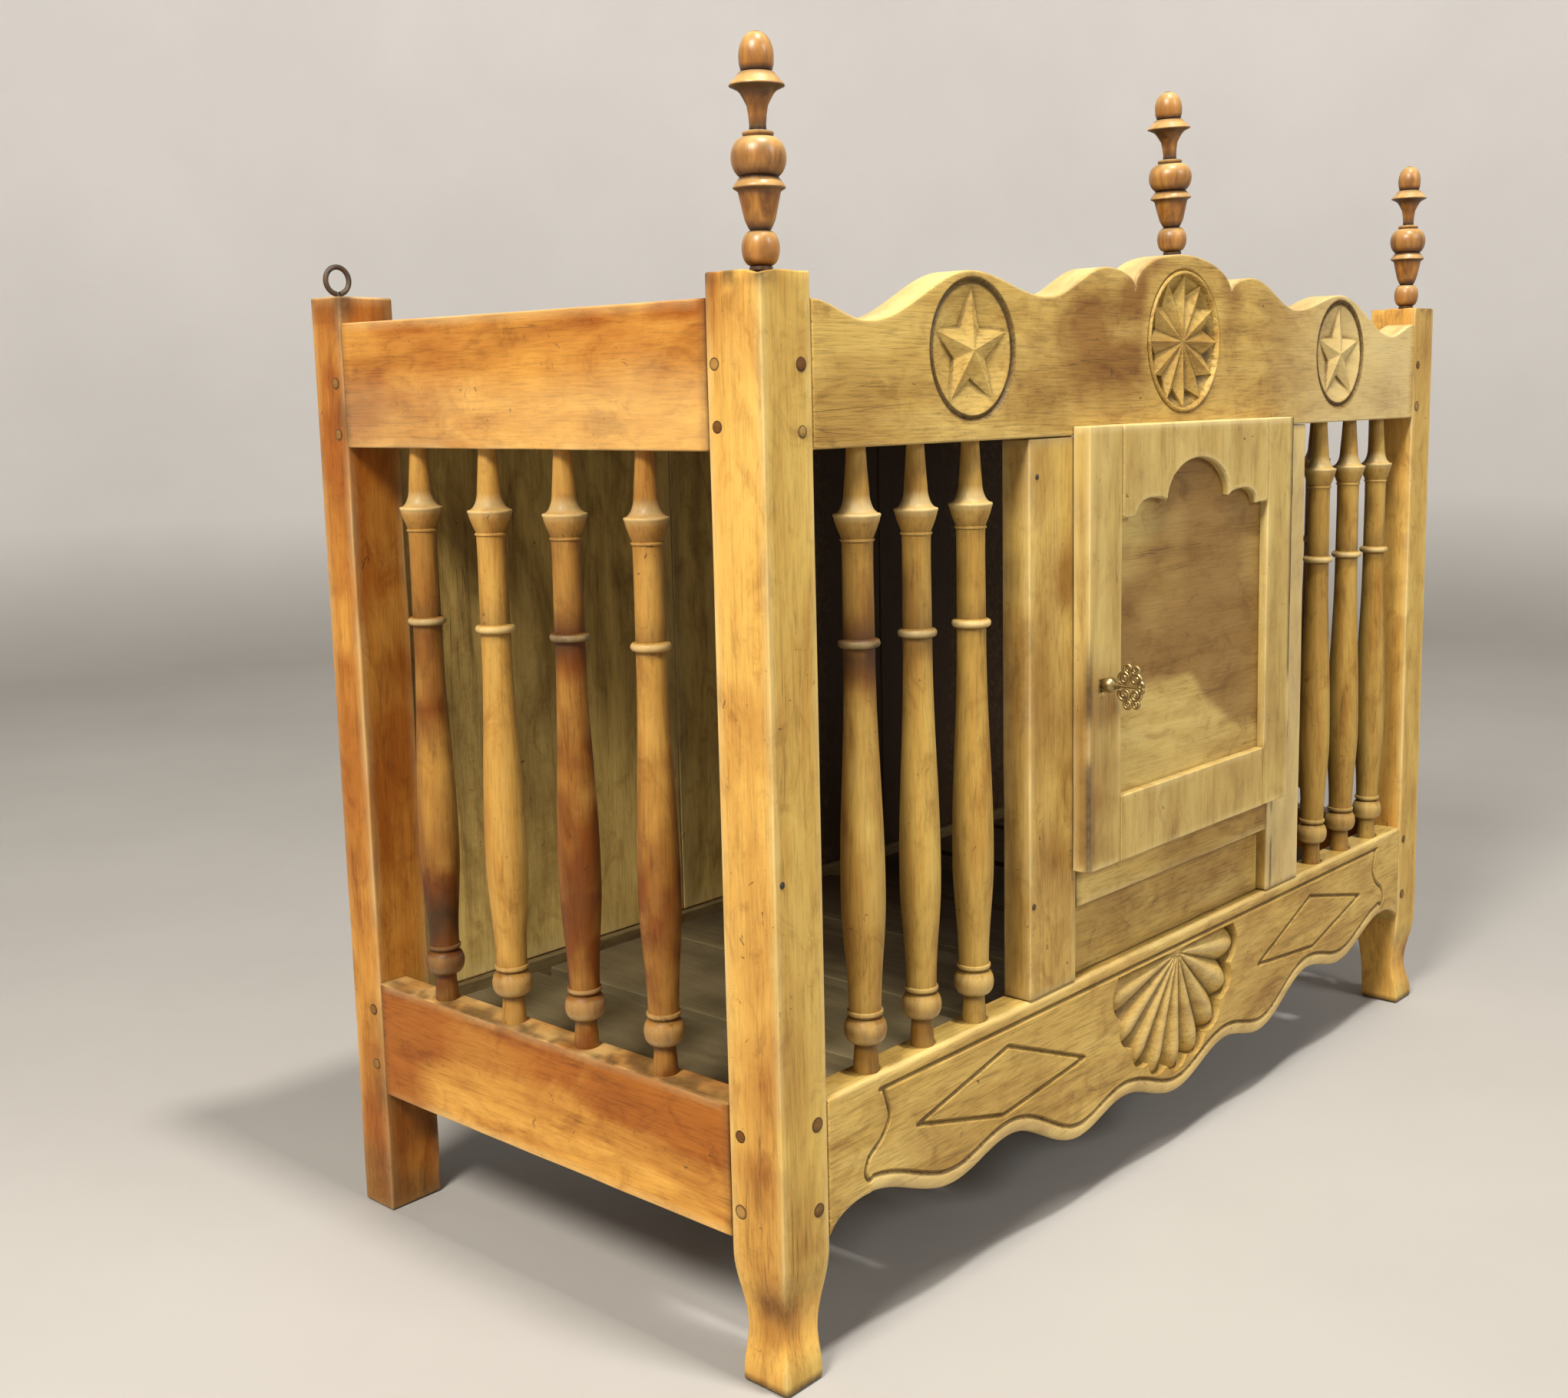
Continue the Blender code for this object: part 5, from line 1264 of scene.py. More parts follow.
# %% Sizes, edge and cut lines of the apron
APRON_CENTRE = 0.052
APRON_INNER_ARCH = (0.1885, 0.073)
APRON_SECOND_LOBE = (0.332, 0.061)
APRON_OUTER_ARCH = (0.545, 0.095)
APRON_FIRST_LOBE = (0.696, 0.083)
APRON_CUSP = (0.916, 0.110)
BAND = 0.0115
TOP_GROOVE_DROP = 0.0108
TOP_GROOVE_HALF = 0.392
GROOVE_HALF = 0.0025
GROOVE_DEPTH = 0.0024
SHELL_LOBES = 9
SHELL_REACH = 0.103
SHELL_SCALLOP = 0.0075
SHELL_STEPS = 14  # points along the end of one lobe
APRON_EDGE = 0.0022
APRON_STAINS = (
    (-0.33, 0.120, 0.060, 0.35), (-0.20, 0.150, 0.045, 0.3), (0.15, 0.09, 0.06, 0.4),
    (0.36, 0.160, 0.05, 0.45), (-0.385, 0.160, 0.02, 0.6), (0.30, 0.110, 0.05, 0.3),
)
shell_pivot = np.array((0.0, LOWER_LINE - 0.0170))


def apron_lower_edge():
    places = [(0.0, APRON_CENTRE)]
    for share, height in (
        APRON_INNER_ARCH, APRON_SECOND_LOBE, APRON_OUTER_ARCH, APRON_FIRST_LOBE, APRON_CUSP,
    ):
        places.append((share * SPAN_HALF, height))
    half = [np.array(places[:1])]
    half += [eased_curve(start, end) for start, end in zip(places, places[1:])]
    half.append(quarter_curve(places[-1], (SPAN_HALF, KNEE_HEIGHT), True))
    return both_halves(np.concatenate(half))


def smooth_path(corners, count=8):
    """A curve through its corners."""
    corners = np.asarray(corners, float)
    padded = np.concatenate([2 * corners[:1] - corners[1:2], corners, 2 * corners[-1:] - corners[-2:-1]])
    path = [corners[:1]]
    for before, start, end, after in zip(padded, padded[1:], padded[2:], padded[3:]):
        share = np.arange(1, count + 1)[:, None] / count
        path.append(0.5 * (
            2 * start + (end - before) * share + (2 * before - 5 * start + 4 * end - after) * share ** 2
            + (3 * start - before - 3 * end + after) * share ** 3
        ))
    return np.concatenate(path)


def apron_grooves():
    """The paths of the cut lines."""
    edge = apron_lower_edge()
    band = beside(resampled(edge, 0.002), BAND)
    clear = (line_distance(band, edge) > 0.985 * BAND) & (np.abs(band[:, 0]) < 0.400)
    band = band[clear]
    top = LOWER_LINE - TOP_GROOVE_DROP
    paths = [band, np.array([(-TOP_GROOVE_HALF, top), (TOP_GROOVE_HALF, top)])]
    for side in (-1, 1):
        scroll = [
            (0.388, top), (0.3835, 0.166), (0.3825, 0.157), (0.391, 0.145), (0.404, 0.136), (0.408, 0.126),
            (0.4045, 0.1195),
        ]
        start = band[0] if side < 0 else band[-1]
        paths.append(smooth_path([(side * x, z) for x, z in scroll] + [tuple(start)]))
        lozenge = [(0.352, 0.141), (0.244, 0.165), (0.142, 0.125), (0.251, 0.114), (0.352, 0.141)]
        paths.append(np.array([(side * x, z) for x, z in lozenge]))
    return [resampled(path, OUTLINE_STEP) for path in paths]


print("cut lines:", len(apron_grooves()))

# %% Shell


def shell_cut(points):
    """Depth and dirt of the shell."""
    away = points - shell_pivot
    radius = np.hypot(away[:, 0], away[:, 1])
    angle = np.arctan2(-away[:, 1], away[:, 0])
    width = np.pi / SHELL_LOBES
    lobe = np.clip(np.floor(angle / width), 0, SHELL_LOBES - 1)
    across = (angle - (lobe + 0.5) * width) / (width / 2)
    end = SHELL_REACH - SHELL_SCALLOP * across ** 2
    share = unit(radius / SHELL_REACH)
    valley = 0.0004 + 0.0090 * share ** 0.8
    depth = 0.0006 + valley * np.abs(across) ** 1.7
    depth += 0.0050 * unit((radius - end + 0.020) / 0.020) ** 2
    within = (angle > 0) & (radius < end)
    dirt = 0.85 * unit((np.abs(across) - 0.60) / 0.40) ** 1.6 * np.clip(radius / 0.02, 0.3, 1)
    dirt = np.maximum(dirt, 0.65 * unit(1 - (end - radius) / 0.0030))
    return np.where(within, depth, 0), np.where(within, dirt, 0)


def shell_lines():
    lines = []
    width = math.pi / SHELL_LOBES
    for grow in (0.0, 0.0007):
        rim = []
        for step in range(SHELL_LOBES * SHELL_STEPS + 1):
            angle = width * step / SHELL_STEPS
            across = 2 * (step % SHELL_STEPS) / SHELL_STEPS - 1
            reach = SHELL_REACH - SHELL_SCALLOP * across ** 2 - 0.0002 + grow
            rim.append(shell_pivot + reach * np.array((math.cos(angle), -math.sin(angle))))
        lines.append(np.array(rim))
    for step in range(SHELL_LOBES + 1):
        angle = width * step
        ray = np.array((math.cos(angle), -math.sin(angle)))
        end = SHELL_REACH - SHELL_SCALLOP
        lines.append(resampled([shell_pivot + 0.004 * ray, shell_pivot + end * ray], 0.002))
    return lines


print("lines of the shell:", len(shell_lines()))

# %% Apron board


def bulge(away, width):
    """Height of a rounded band, from 0 at its edges to 1 along its middle."""
    half = width / 2
    return np.sqrt(np.maximum(1 - ((away - half) / (half + 0.0006)) ** 2, 0))


def dress_apron():
    edge = apron_lower_edge()
    top = np.array([(SPAN_HALF, LOWER_LINE), (-SPAN_HALF, LOWER_LINE)])
    outline = resampled(np.concatenate([edge, top, edge[:1]]), OUTLINE_STEP)[:-1]
    grooves = apron_grooves()
    lines = shell_lines()
    for path in grooves:
        lines += [path, beside(path, GROOVE_HALF), beside(path, -GROOVE_HALF)]
    loose = [scattered((-SPAN_HALF, APRON_CENTRE), (SPAN_HALF, LOWER_LINE), FACE_CELL)]
    loose.append(scattered(shell_pivot - (SHELL_REACH, SHELL_REACH), shell_pivot + (SHELL_REACH, 0), 0.0020))
    edge_fine = resampled(edge, 0.002)
    loose += [beside(edge_fine, gap) for gap in (0.003, 0.005, 0.007, 0.009)]

    def cut(points):
        depth, dirt = shell_cut(points)
        ridge = np.where(depth > 0, 0.6 * unit(1 - depth / 0.0035), 0)
        for path in grooves:
            groove = unit(1 - line_distance(points, path) / GROOVE_HALF)
            depth = np.maximum(depth, GROOVE_DEPTH * groove)
            dirt = np.maximum(dirt, 0.82 * soft_step(1.6 * groove))
        from_edge = line_distance(points, edge_fine)
        banded = (from_edge < BAND) & (np.abs(points[:, 0]) < 0.402)
        depth = np.where(banded, np.maximum(depth, 0.0020 * (1 - bulge(from_edge, BAND))), depth)
        from_top = LOWER_LINE - points[:, 1]
        topped = (from_top < TOP_GROOVE_DROP) & (np.abs(points[:, 0]) < TOP_GROOVE_HALF)
        depth = np.where(topped, np.maximum(depth, 0.0018 * (1 - bulge(from_top, TOP_GROOVE_DROP))), depth)
        return depth, dirt, np.where(banded, 0.55, ridge)

    points, faces, places, wear, (face_dirt, face_pale) = carved_shell(
        outline, lines, np.concatenate(loose), FRONT, RAIL_BACK, cut, APRON_EDGE,
    )
    dirt = np.zeros(len(points))
    dirt[:len(places)] = face_dirt
    wear[:len(places)] = np.maximum(0.6 * wear[:len(places)], face_pale * (1 - face_dirt))
    wear *= soft_step((SPAN_HALF - np.abs(points[:, 0])) / 0.014)
    marks = {"wear": wear, "dirt": dirt, "seed": 7.7, "stain": front_stains(points, APRON_STAINS, 62)}
    made = add_piece("carved_apron", points, faces, level_wheat, marks, 32)
    dress(made, "cabinet", "front_wood", "apron")
    print("apron:", len(places), "points on its face")


dress_apron()

# %% [markdown]
# The doorway has two mullions, a sill and a thin fixed panel. The left mullion has a real mortise, because
# the bolt slides into it when the key turns.

# %% Doorway


def left_mullion_mortise():
    """The hole that the bolt slides into, with a little play round it."""
    bolt_low, bolt_high = span("lock_bolt")
    inner_side = span("left_mullion")[1][0]
    play = np.array((0.0, 0.001, 0.001))
    mortise_low = np.array((bolt_low[0] - 0.010, bolt_low[1], bolt_low[2])) - play
    mortise_high = np.array((inner_side + 0.002, bolt_high[1], bolt_high[2])) + play
    return mortise_low, mortise_high


def dress_doorway():
    left_low, left_high = span("left_mullion")
    left_spots = [
        (left_low[0], FRONT + 0.01, 0.42, 0.10, 0.7), (left_low[0], FRONT, 0.58, 0.05, 0.7),
        (left_high[0], FRONT, 0.50, 0.05, 0.7), (left_high[0], FRONT, 0.40, 0.05, 0.6),
        (left_low[0] + 0.02, FRONT, 0.30, 0.05, 0.5), (left_high[0], FRONT, 0.25, 0.06, 0.4),
    ]
    right_low, right_high = span("right_mullion")
    right_spots = [
        (right_low[0], FRONT, 0.50, 0.06, 0.5), (right_high[0], FRONT, 0.35, 0.08, 0.35),
        (right_low[0] + 0.02, FRONT, 0.38, 0.05, 0.45),
    ]
    door_side = span("door_hinge_stile")[1][0]

    def joint_dirt(points, marks):
        """Grime at both ends of the left mullion, whose edges are worn right up to them."""
        marks["dirt"] = end_dirt(points, left_low, left_high, 2)

    def gap_shadow_and_painted_light(points, marks):
        """Painted light that pales the front, and a painted shadow line where the closed door leaves a gap
        beside its hinges.
        """
        in_front = points[:, 1] < FRONT + 0.002
        # A dark line beside the door's edge: painted shadow of the gap.
        line = in_front * unit(1 - np.abs(points[:, 0] - door_side - 0.0015) / 0.0030)
        broken = soft_step(0.8 + 1.2 * swell_noise(points, 0.03, 73))
        raise_mark(marks, "dirt", 0.9 * line * broken)
        # The whole front is made paler: painted light.
        raise_mark(marks, "wear", 0.95 * in_front)

    worn_board(
        "left_mullion", upright_wheat, 70, "front_wood", radius=0.0024, spots=left_spots, paint=joint_dirt,
        holes=[left_mullion_mortise()],
    )
    worn_board(
        "right_mullion", upright_wheat, 72, "front_wood", cell=0.003, radius=0.0024, joints=2,
        spots=right_spots, paint=gap_shadow_and_painted_light,
    )
    worn_board("door_sill", level_wheat, 74, "front_wood", joints=0)
    panel_low, panel_high = span("lower_panel")
    panel_spots = [
        (0.06, panel_low[1], panel_high[2], 0.10, 0.7), (-0.08, panel_low[1], panel_high[2], 0.07, 0.5),
    ]
    worn_board("lower_panel", level_wheat, 76, "front_wood", joints=2, spots=panel_spots)


dress_doorway()
print("doorway dressed")

# %% [markdown]
# The door is lipped: its frame laps over the doorway in front and has a tongue inside it. Stiles and the
# foot rail are two rolled boards each. The head rail has a scalloped lower edge, so it is cut with the
# same tool as the crest. All of them ride on the door.

# %% Door
DOOR_EDGE = 0.0016
DOOR_SEED = 29.6  # one figure runs on over all of the door
LIP_BACK = FRONT - 0.0003
TONGUE_FRONT = LIP_BACK - 0.0006
TONGUE_PLAY = 0.0095


def joined(*shells):
    """Several closed shells as one list of points and faces."""
    points = []
    faces = []
    total = 0
    for shell_points, shell_faces in shells:
        faces += [[total + int(index) for index in face] for face in shell_faces]
        points.append(np.asarray(shell_points))
        total += len(shell_points)
    return np.concatenate(points), faces


def key_height():
    """Height of the key's axis, from its joint."""
    turn = next(joint for joint in frame["joints"] if joint["name"] == "key_turn")
    return turn["pos_m"][2]


def worn_top(points, top):
    """Wear along the upper edge of the door."""
    return 0.95 * soft_step((points[:, 2] - top + 0.0055) / 0.003)


def dress_door():
    stile_low, stile_high = span("door_lock_stile")
    hinge_low, hinge_high = span("door_hinge_stile")
    foot_top = span("door_foot_rail")[1][2]
    step_line = span("door_head_rail")[0][2]
    edge, face, _ = stile_low
    door_top = stile_high[2]

    def flush(points):
        """No wear where stiles and rails meet."""
        in_opening = (points[:, 2] > foot_top + 0.002) & (points[:, 2] < step_line - 0.002)
        at_joint = np.abs(np.abs(points[:, 0]) - hinge_low[0]) < 0.006
        return np.where(at_joint & ~in_opening, 0.0, 1.0)

    def dark_edges_and_gap_shadow(points, seed):
        """Dark broken lines along the outer edges of the door; the one on the hinge side is partly painted
        shadow of the gap.
        """
        broken = soft_step(0.75 + 1.2 * swell_noise(points, 0.030, seed + 5))
        lock = soft_step(1.5 * (1 - np.abs(points[:, 0] - edge - 0.0006) / 0.0030))
        lock = lock * soft_step((0.470 - points[:, 2]) / 0.05) * (points[:, 1] < face + 0.005)
        # On the hinge side the dark line is partly a worn edge and partly painted shadow of the gap.
        hinge = soft_step(2.0 * (1 - (hinge_high[0] - points[:, 0]) / 0.0038))
        return np.maximum(0.9 * broken * lock, soft_step(0.75 + 1.5 * swell_noise(points, 0.045, 83)) * hinge)

    def member(node, seed, tongue_trim, spots, holes=()):
        low, high = span(node)
        lip_high = np.array((high[0], LIP_BACK, high[2]))
        lip, lip_faces, _, wear = board_shell(low, lip_high, 0.005, DOOR_EDGE, 0.0005, seed)
        tongue_low = np.array((low[0] + tongue_trim[0], TONGUE_FRONT, low[2] + tongue_trim[1]))
        tongue_high = np.array((high[0] - tongue_trim[2], high[1], high[2] - tongue_trim[3]))
        tongue, tongue_faces, _, _ = board_shell(tongue_low, tongue_high, 0.012, 0.0008, 0.0002, seed + 1)
        points, faces = joined((lip, lip_faces), (tongue, tongue_faces))
        wear = np.maximum(wear * flush(lip), worn_top(lip, door_top))
        marks = {
            "wear": np.concatenate([wear, np.zeros(len(tongue))]), "seed": DOOR_SEED,
            "stain": blotch_marks(points, spots, seed), "dirt": dark_edges_and_gap_shadow(points, seed),
        }
        made = add_piece("worn_" + node, points, faces, door_wood, marks)
        for hole_low, hole_high in holes:
            bore(made, hole_low, hole_high)
        dress(made, "door", "front_wood", node)

    key_x = centre_of("key")[0]
    key_z = key_height()
    slot_low = np.array((key_x - 0.0034, face - 0.002, key_z - 0.0068))
    slot_high = np.array((key_x + 0.0034, hinge_high[1] + 0.002, key_z + 0.0034))
    lock_spots = [
        (edge, face + 0.006, 0.40, 0.06, 1.0), (edge, face + 0.006, 0.34, 0.06, 1.0),
        (edge, face + 0.006, 0.30, 0.05, 0.9), (edge, face + 0.012, 0.56, 0.03, 0.4),
        (key_x + 0.012, face, key_z - 0.022, 0.024, 0.7),
    ]
    hinge_spots = [(hinge_low[0], face, 0.36, 0.05, 0.3), (hinge_high[0] - 0.01, face, 0.33, 0.04, 0.4)]
    foot_spots = [(0.08, face, 0.315, 0.05, 0.35), (-0.05, face, 0.30, 0.04, 0.25)]
    play = TONGUE_PLAY
    member("door_lock_stile", 80, (play, play, 0, play), lock_spots, [(slot_low, slot_high)])
    member("door_hinge_stile", 82, (0, play, play, play), hinge_spots)
    member("door_foot_rail", 84, (0, play, 0, 0), foot_spots)
    print("door face at", round(face, 4))


dress_door()

# %% [markdown]
# The head rail's scallop is an arch between two shoulders. The panel behind it is thin and flat, with an
# old brown patch above a paler, washed lower part.

# %% Door head and panel
ARCH_HALF_SHARE = 0.43
STEP_SHARE = 0.83
SHOULDER_SHARE = 0.52
ARCH_RISE_SHARE = 0.59
ARCH_SPRING_SHARE = 0.13
SHOULDER_RISE_SHARE = 0.19


def dress_door_head():
    low, high = span("door_head_rail")
    inner = high[0]
    rail = high[2] - low[2]
    arch_x = ARCH_HALF_SHARE * inner
    step_x = STEP_SHARE * inner
    shoulder_x = arch_x + SHOULDER_SHARE * (step_x - arch_x)
    top = (0.0, low[2] + ARCH_RISE_SHARE * rail)
    spring = (arch_x, low[2] + ARCH_SPRING_SHARE * rail)
    shoulder = (shoulder_x, low[2] + SHOULDER_RISE_SHARE * rail)
    step = (step_x, low[2])
    half = np.concatenate([
        np.array([top]), quarter_curve(top, spring, True), quarter_curve(spring, shoulder, False, 8),
        quarter_curve(shoulder, step, True, 8), np.array([(inner, low[2])]),
    ])
    edge = both_halves(half)
    shells = []
    wears = []
    for head, front, back, cell in (
        (high[2], low[1], LIP_BACK, FACE_CELL), (UPPER_LINE - 0.0025, TONGUE_FRONT, high[1], 0.02),
    ):
        corners = np.array([(inner, head), (-inner, head)])
        outline = resampled(np.concatenate([edge, corners, edge[:1]]), 0.0028)[:-1]
        loose = scattered((-inner, low[2]), (inner, head), cell)
        points, faces, _, wear, _ = carved_shell(
            outline, [], loose, front, back, lambda places: [np.zeros(len(places))], DOOR_EDGE,
        )
        shells.append((points, faces))
        wears.append(wear)
    points, faces = joined(*shells)
    spots = [(0.06, low[1], 0.60, 0.05, 0.3), (-0.09, low[1], 0.575, 0.03, 0.3)]
    wear = np.concatenate(wears) * soft_step((inner - np.abs(points[:, 0])) / 0.008)
    wear = np.maximum(wear, worn_top(points, high[2]))
    marks = {"wear": wear, "seed": DOOR_SEED, "stain": blotch_marks(points, spots, 86)}
    made = add_piece("scalloped_door_head", points, faces, door_wood, marks)
    dress(made, "door", "front_wood", "door_head_rail")


def dress_door_panel():
    low, high = span("door_panel")
    points, faces, _, _ = board_shell(low, high, 0.004, 0.001, 0.0006, 88)
    across = points[:, 0]
    up = points[:, 2]
    tide = 0.405 - 0.59 * np.clip(across, 0, None)
    brown = soft_step((up - tide + 0.010 * swell_noise(points, 0.04, 88)) / 0.012)
    brown *= 0.95 + 0.25 * swell_noise(points, 0.04, 89)
    corner = np.hypot((across + 0.116) / 0.075, (up - 0.550) / 0.075)
    brown *= soft_step((corner - 0.35) / 0.7)
    rim = from_ends(points, low, high, 0) - 0.006
    dirt = 0.55 * unit(1 - rim / 0.004)
    dirt += 0.35 * unit(1 - (up - low[2] - 0.006) / 0.003)
    marks = {"wear": 0, "seed": 5.9, "stain": unit(brown), "dirt": dirt}
    made = add_piece("worn_door_panel", points, faces, panel_wood, marks)
    dress(made, "door", "front_wood", "door_panel")


dress_door_head()
dress_door_panel()
print("door dressed")

# %% [markdown]
# The spindles are turned from one pattern: a flared cap over a cup, a thin ring, a long belly, a fillet
# and a bead on a small foot. A lathe profile is spun once into a master, and Geometry Nodes set copies of
# it on the fourteen seats, each turned and thickened a little by a fixed seed, as hand turning does.

# %% Turned profiles
PROUD_STEP = 0.0005
PROUD_REACH = 0.006
PROUD_FULL = 0.0022
TURNED_CREASE = 50


def bead_row(top, bottom, radius, edge, count=10):
    """Points down a round bead."""
    angle = np.pi * np.arange(count + 1) / count
    up = top + (bottom - top) * (1 - np.cos(angle)) / 2
    return list(zip(edge + (radius - edge) * np.sin(angle), up))


def swell_row(start, end, count=10):
    """Points that ease from one radius to another."""
    share = np.arange(count + 1) / count
    return list(zip(ease(start[0], end[0], share), start[1] + (end[1] - start[1]) * share))


def flare_row(start, end, count=10):
    """Points down a hollow flare, upright at its start and level at its end."""
    angle = np.pi / 2 * np.arange(count + 1) / count
    out = start[0] + (end[0] - start[0]) * (1 - np.cos(angle))
    return list(zip(out, start[1] + (end[1] - start[1]) * np.sin(angle)))


def turned_shell(profile, sides):
    """Spins (radius, height) points, top to bottom, whose ends lie on the axis."""
    profile = np.array(profile)
    angle = 2 * np.pi * np.arange(sides) / sides
    points = [(0.0, 0.0, profile[0][1])]
    for radius, height in profile[1:-1]:
        points += [(radius * c, radius * s, height) for c, s in zip(np.cos(angle), np.sin(angle))]
    points.append((0.0, 0.0, profile[-1][1]))
    rows = len(profile) - 2
    faces = []
    for step in range(sides):
        following = (step + 1) % sides
        faces.append((0, 1 + step, 1 + following))
        for row in range(rows - 1):
            upper = 1 + row * sides
            lower = upper + sides
            faces.append((upper + step, lower + step, lower + following, upper + following))
        last = 1 + (rows - 1) * sides
        faces.append((last + following, last + step, len(points) - 1))
    return np.array(points), faces


def on_rings(values, sides):
    """A profile's values, repeated round each ring of its turning."""
    return np.concatenate([values[:1], np.repeat(values[1:-1], sides), values[-1:]])


def turned_marks(profile, sides):
    """Wear on what stands proud of a turning and dirt in its hollows."""
    profile = np.array(profile)
    grid = np.arange(profile[-1][1], profile[0][1], PROUD_STEP)
    radius = np.interp(grid, profile[::-1, 1], profile[::-1, 0])
    window = int(PROUD_REACH / PROUD_STEP)
    kernel = np.ones(2 * window + 1) / (2 * window + 1)
    smooth = np.convolve(np.pad(radius, window, mode="edge"), kernel, "valid")
    proud = on_rings(np.interp(profile[:, 1], grid, radius - smooth), sides)
    return unit(proud / PROUD_FULL), unit(-proud / PROUD_FULL)


def facing(profile, sides, sign):
    """How far each point of a turning looks up (sign 1) or down (sign -1), from 0 to 1."""
    out, down = np.gradient(np.array(profile), axis=0).T
    return on_rings(unit(sign * out / np.maximum(np.hypot(out, down), 1e-9)), sides)


print("a bead's radii:", [round(float(radius), 2) for radius, _ in bead_row(1, 0, 2, 1, 4)])

# %% Spindle master
SPINDLE_SIDES = 32
SPINDLE_REACH = 0.025  # points this near an axis belong to its spindle


def spindle_profile():
    top = UPPER_LINE
    foot = LOWER_LINE
    profile = [(0.0, top + 0.004), (0.0062, top + 0.004), (0.0062, top - 0.001), (0.0070, top - 0.014)]
    profile += flare_row((0.0081, top - 0.028), (0.0149, top - 0.0426))
    profile += [(0.0153, top - 0.0431), (0.0153, top - 0.0442), (0.0148, top - 0.0450)]
    share = np.arange(1, 9) / 8
    profile += list(zip(0.0102 + 0.0046 * (1 - share ** 1.25), top - 0.0450 - 0.0133 * share))
    profile += [(0.0111, top - 0.0590), (0.0111, top - 0.0600), (0.0101, top - 0.0606)]
    profile += [(0.0099, top - 0.075), (0.0101, top - 0.105)]
    ring = top - 0.1265
    profile += [(0.0102, ring + 0.0034)] + bead_row(ring + 0.0029, ring - 0.0029, 0.0138, 0.0112, 8)
    profile += [(0.0103, ring - 0.0034)]
    profile += swell_row((0.0103, ring - 0.010), (0.0147, foot + 0.126), 14)
    profile += swell_row((0.0147, foot + 0.122), (0.0108, foot + 0.0440), 12)[1:]
    profile += [(0.0108, foot + 0.0435), (0.0119, foot + 0.0430), (0.0121, foot + 0.0418)]
    profile += [(0.0119, foot + 0.0407), (0.0109, foot + 0.0402), (0.0109, foot + 0.0393)]
    profile += bead_row(foot + 0.0390, foot + 0.0205, 0.0143, 0.0086, 12)
    profile += swell_row((0.0076, foot + 0.0190), (0.0086, foot + 0.0030), 6)
    profile += [(0.0086, foot - 0.0015), (0.0, foot - 0.0015)]
    return profile


def spindle_master(finish):
    profile = spindle_profile()
    points, faces = turned_shell(profile, SPINDLE_SIDES)
    wear, dirt = turned_marks(profile, SPINDLE_SIDES)
    dusty = unit((points[:, 2] - UPPER_LINE + 0.0440) / 0.004)
    dusty *= unit((UPPER_LINE - 0.030 - points[:, 2]) / 0.008)
    marks = {"wear": np.maximum(wear, 0.85 * dusty), "dirt": 0.75 * dirt}
    return add_piece("spindle_master", points, faces, finish, marks, TURNED_CREASE)


AMBER = ((0.60, 0.37, 0.092), (0.525, 0.287, 0.058), (0.38, 0.163, 0.023), (0.34, 0.175, 0.08))
spindle_wood = waxed_wood("turned_spindle_wood", *AMBER, grain=2, blotches=0.25, gloss=0.38)
print("spindle profile has", len(spindle_profile()), "points")

# %% [markdown]
# The tree below takes the master and a cloud of seats. Each seat carries numbers of its own: a seed that
# shifts the grain, a stain that makes some spindles redder and a cool tint on those in front, which paints
# the front's shade. Instances keep those numbers when they are made real, so the finish can read them.

# %% Copies with Geometry Nodes


def copies_tree(name):
    """Sets copies of a master on the seats, turned and sized by a fixed seed."""
    tree = bpy.data.node_groups.new(name, "GeometryNodeTree")
    tree.interface.new_socket("Geometry", in_out="OUTPUT", socket_type="NodeSocketGeometry")
    for word, kind in (
        ("Seats", "Geometry"), ("Master", "Object"), ("Finish", "Material"), ("Thinnest", "Float"),
        ("Thickest", "Float"), ("Turn", "Float"), ("Seed", "Int"),
    ):
        tree.interface.new_socket(word, in_out="INPUT", socket_type="NodeSocket" + kind)
    given = tree.nodes.new("NodeGroupInput").outputs
    master = add_node(tree, "GeometryNodeObjectInfo", {"Object": given["Master"]}).outputs["Geometry"]
    turn = add_node(tree, "FunctionNodeRandomValue", data_type="FLOAT")
    feed(tree, turn.inputs[3], given["Turn"])
    feed(tree, turn.inputs["Seed"], given["Seed"])
    way = add_node(tree, "GeometryNodeInputNamedAttribute", {"Name": "way"}, data_type="FLOAT_VECTOR")
    stand = add_node(tree, "FunctionNodeEulerToRotation", {"Euler": way.outputs["Attribute"]})
    spin_axis = add_node(tree, "ShaderNodeCombineXYZ", {"Z": turn.outputs[1]})
    spin = add_node(tree, "FunctionNodeEulerToRotation", {"Euler": spin_axis.outputs["Vector"]})
    both = add_node(tree, "FunctionNodeRotateRotation", rotation_space="LOCAL")
    feed(tree, both.inputs[0], stand.outputs[0])
    feed(tree, both.inputs[1], spin.outputs[0])
    size = add_node(tree, "FunctionNodeRandomValue", data_type="FLOAT")
    feed(tree, size.inputs[2], given["Thinnest"])
    feed(tree, size.inputs[3], given["Thickest"])
    feed(tree, size.inputs["Seed"], given["Seed"])
    scale = add_node(tree, "ShaderNodeCombineXYZ", {"X": size.outputs[1], "Y": size.outputs[1], "Z": 1.0})
    copies = add_node(tree, "GeometryNodeInstanceOnPoints", {
        "Points": given["Seats"], "Instance": master, "Rotation": both.outputs[0],
        "Scale": scale.outputs["Vector"],
    })
    solid = add_node(tree, "GeometryNodeRealizeInstances", {"Geometry": copies.outputs["Instances"]})
    dressed = add_node(tree, "GeometryNodeSetMaterial", {
        "Geometry": solid.outputs["Geometry"], "Material": given["Finish"],
    })
    tree.links.new(dressed.outputs["Geometry"], tree.nodes.new("NodeGroupOutput").inputs["Geometry"])
    return tree


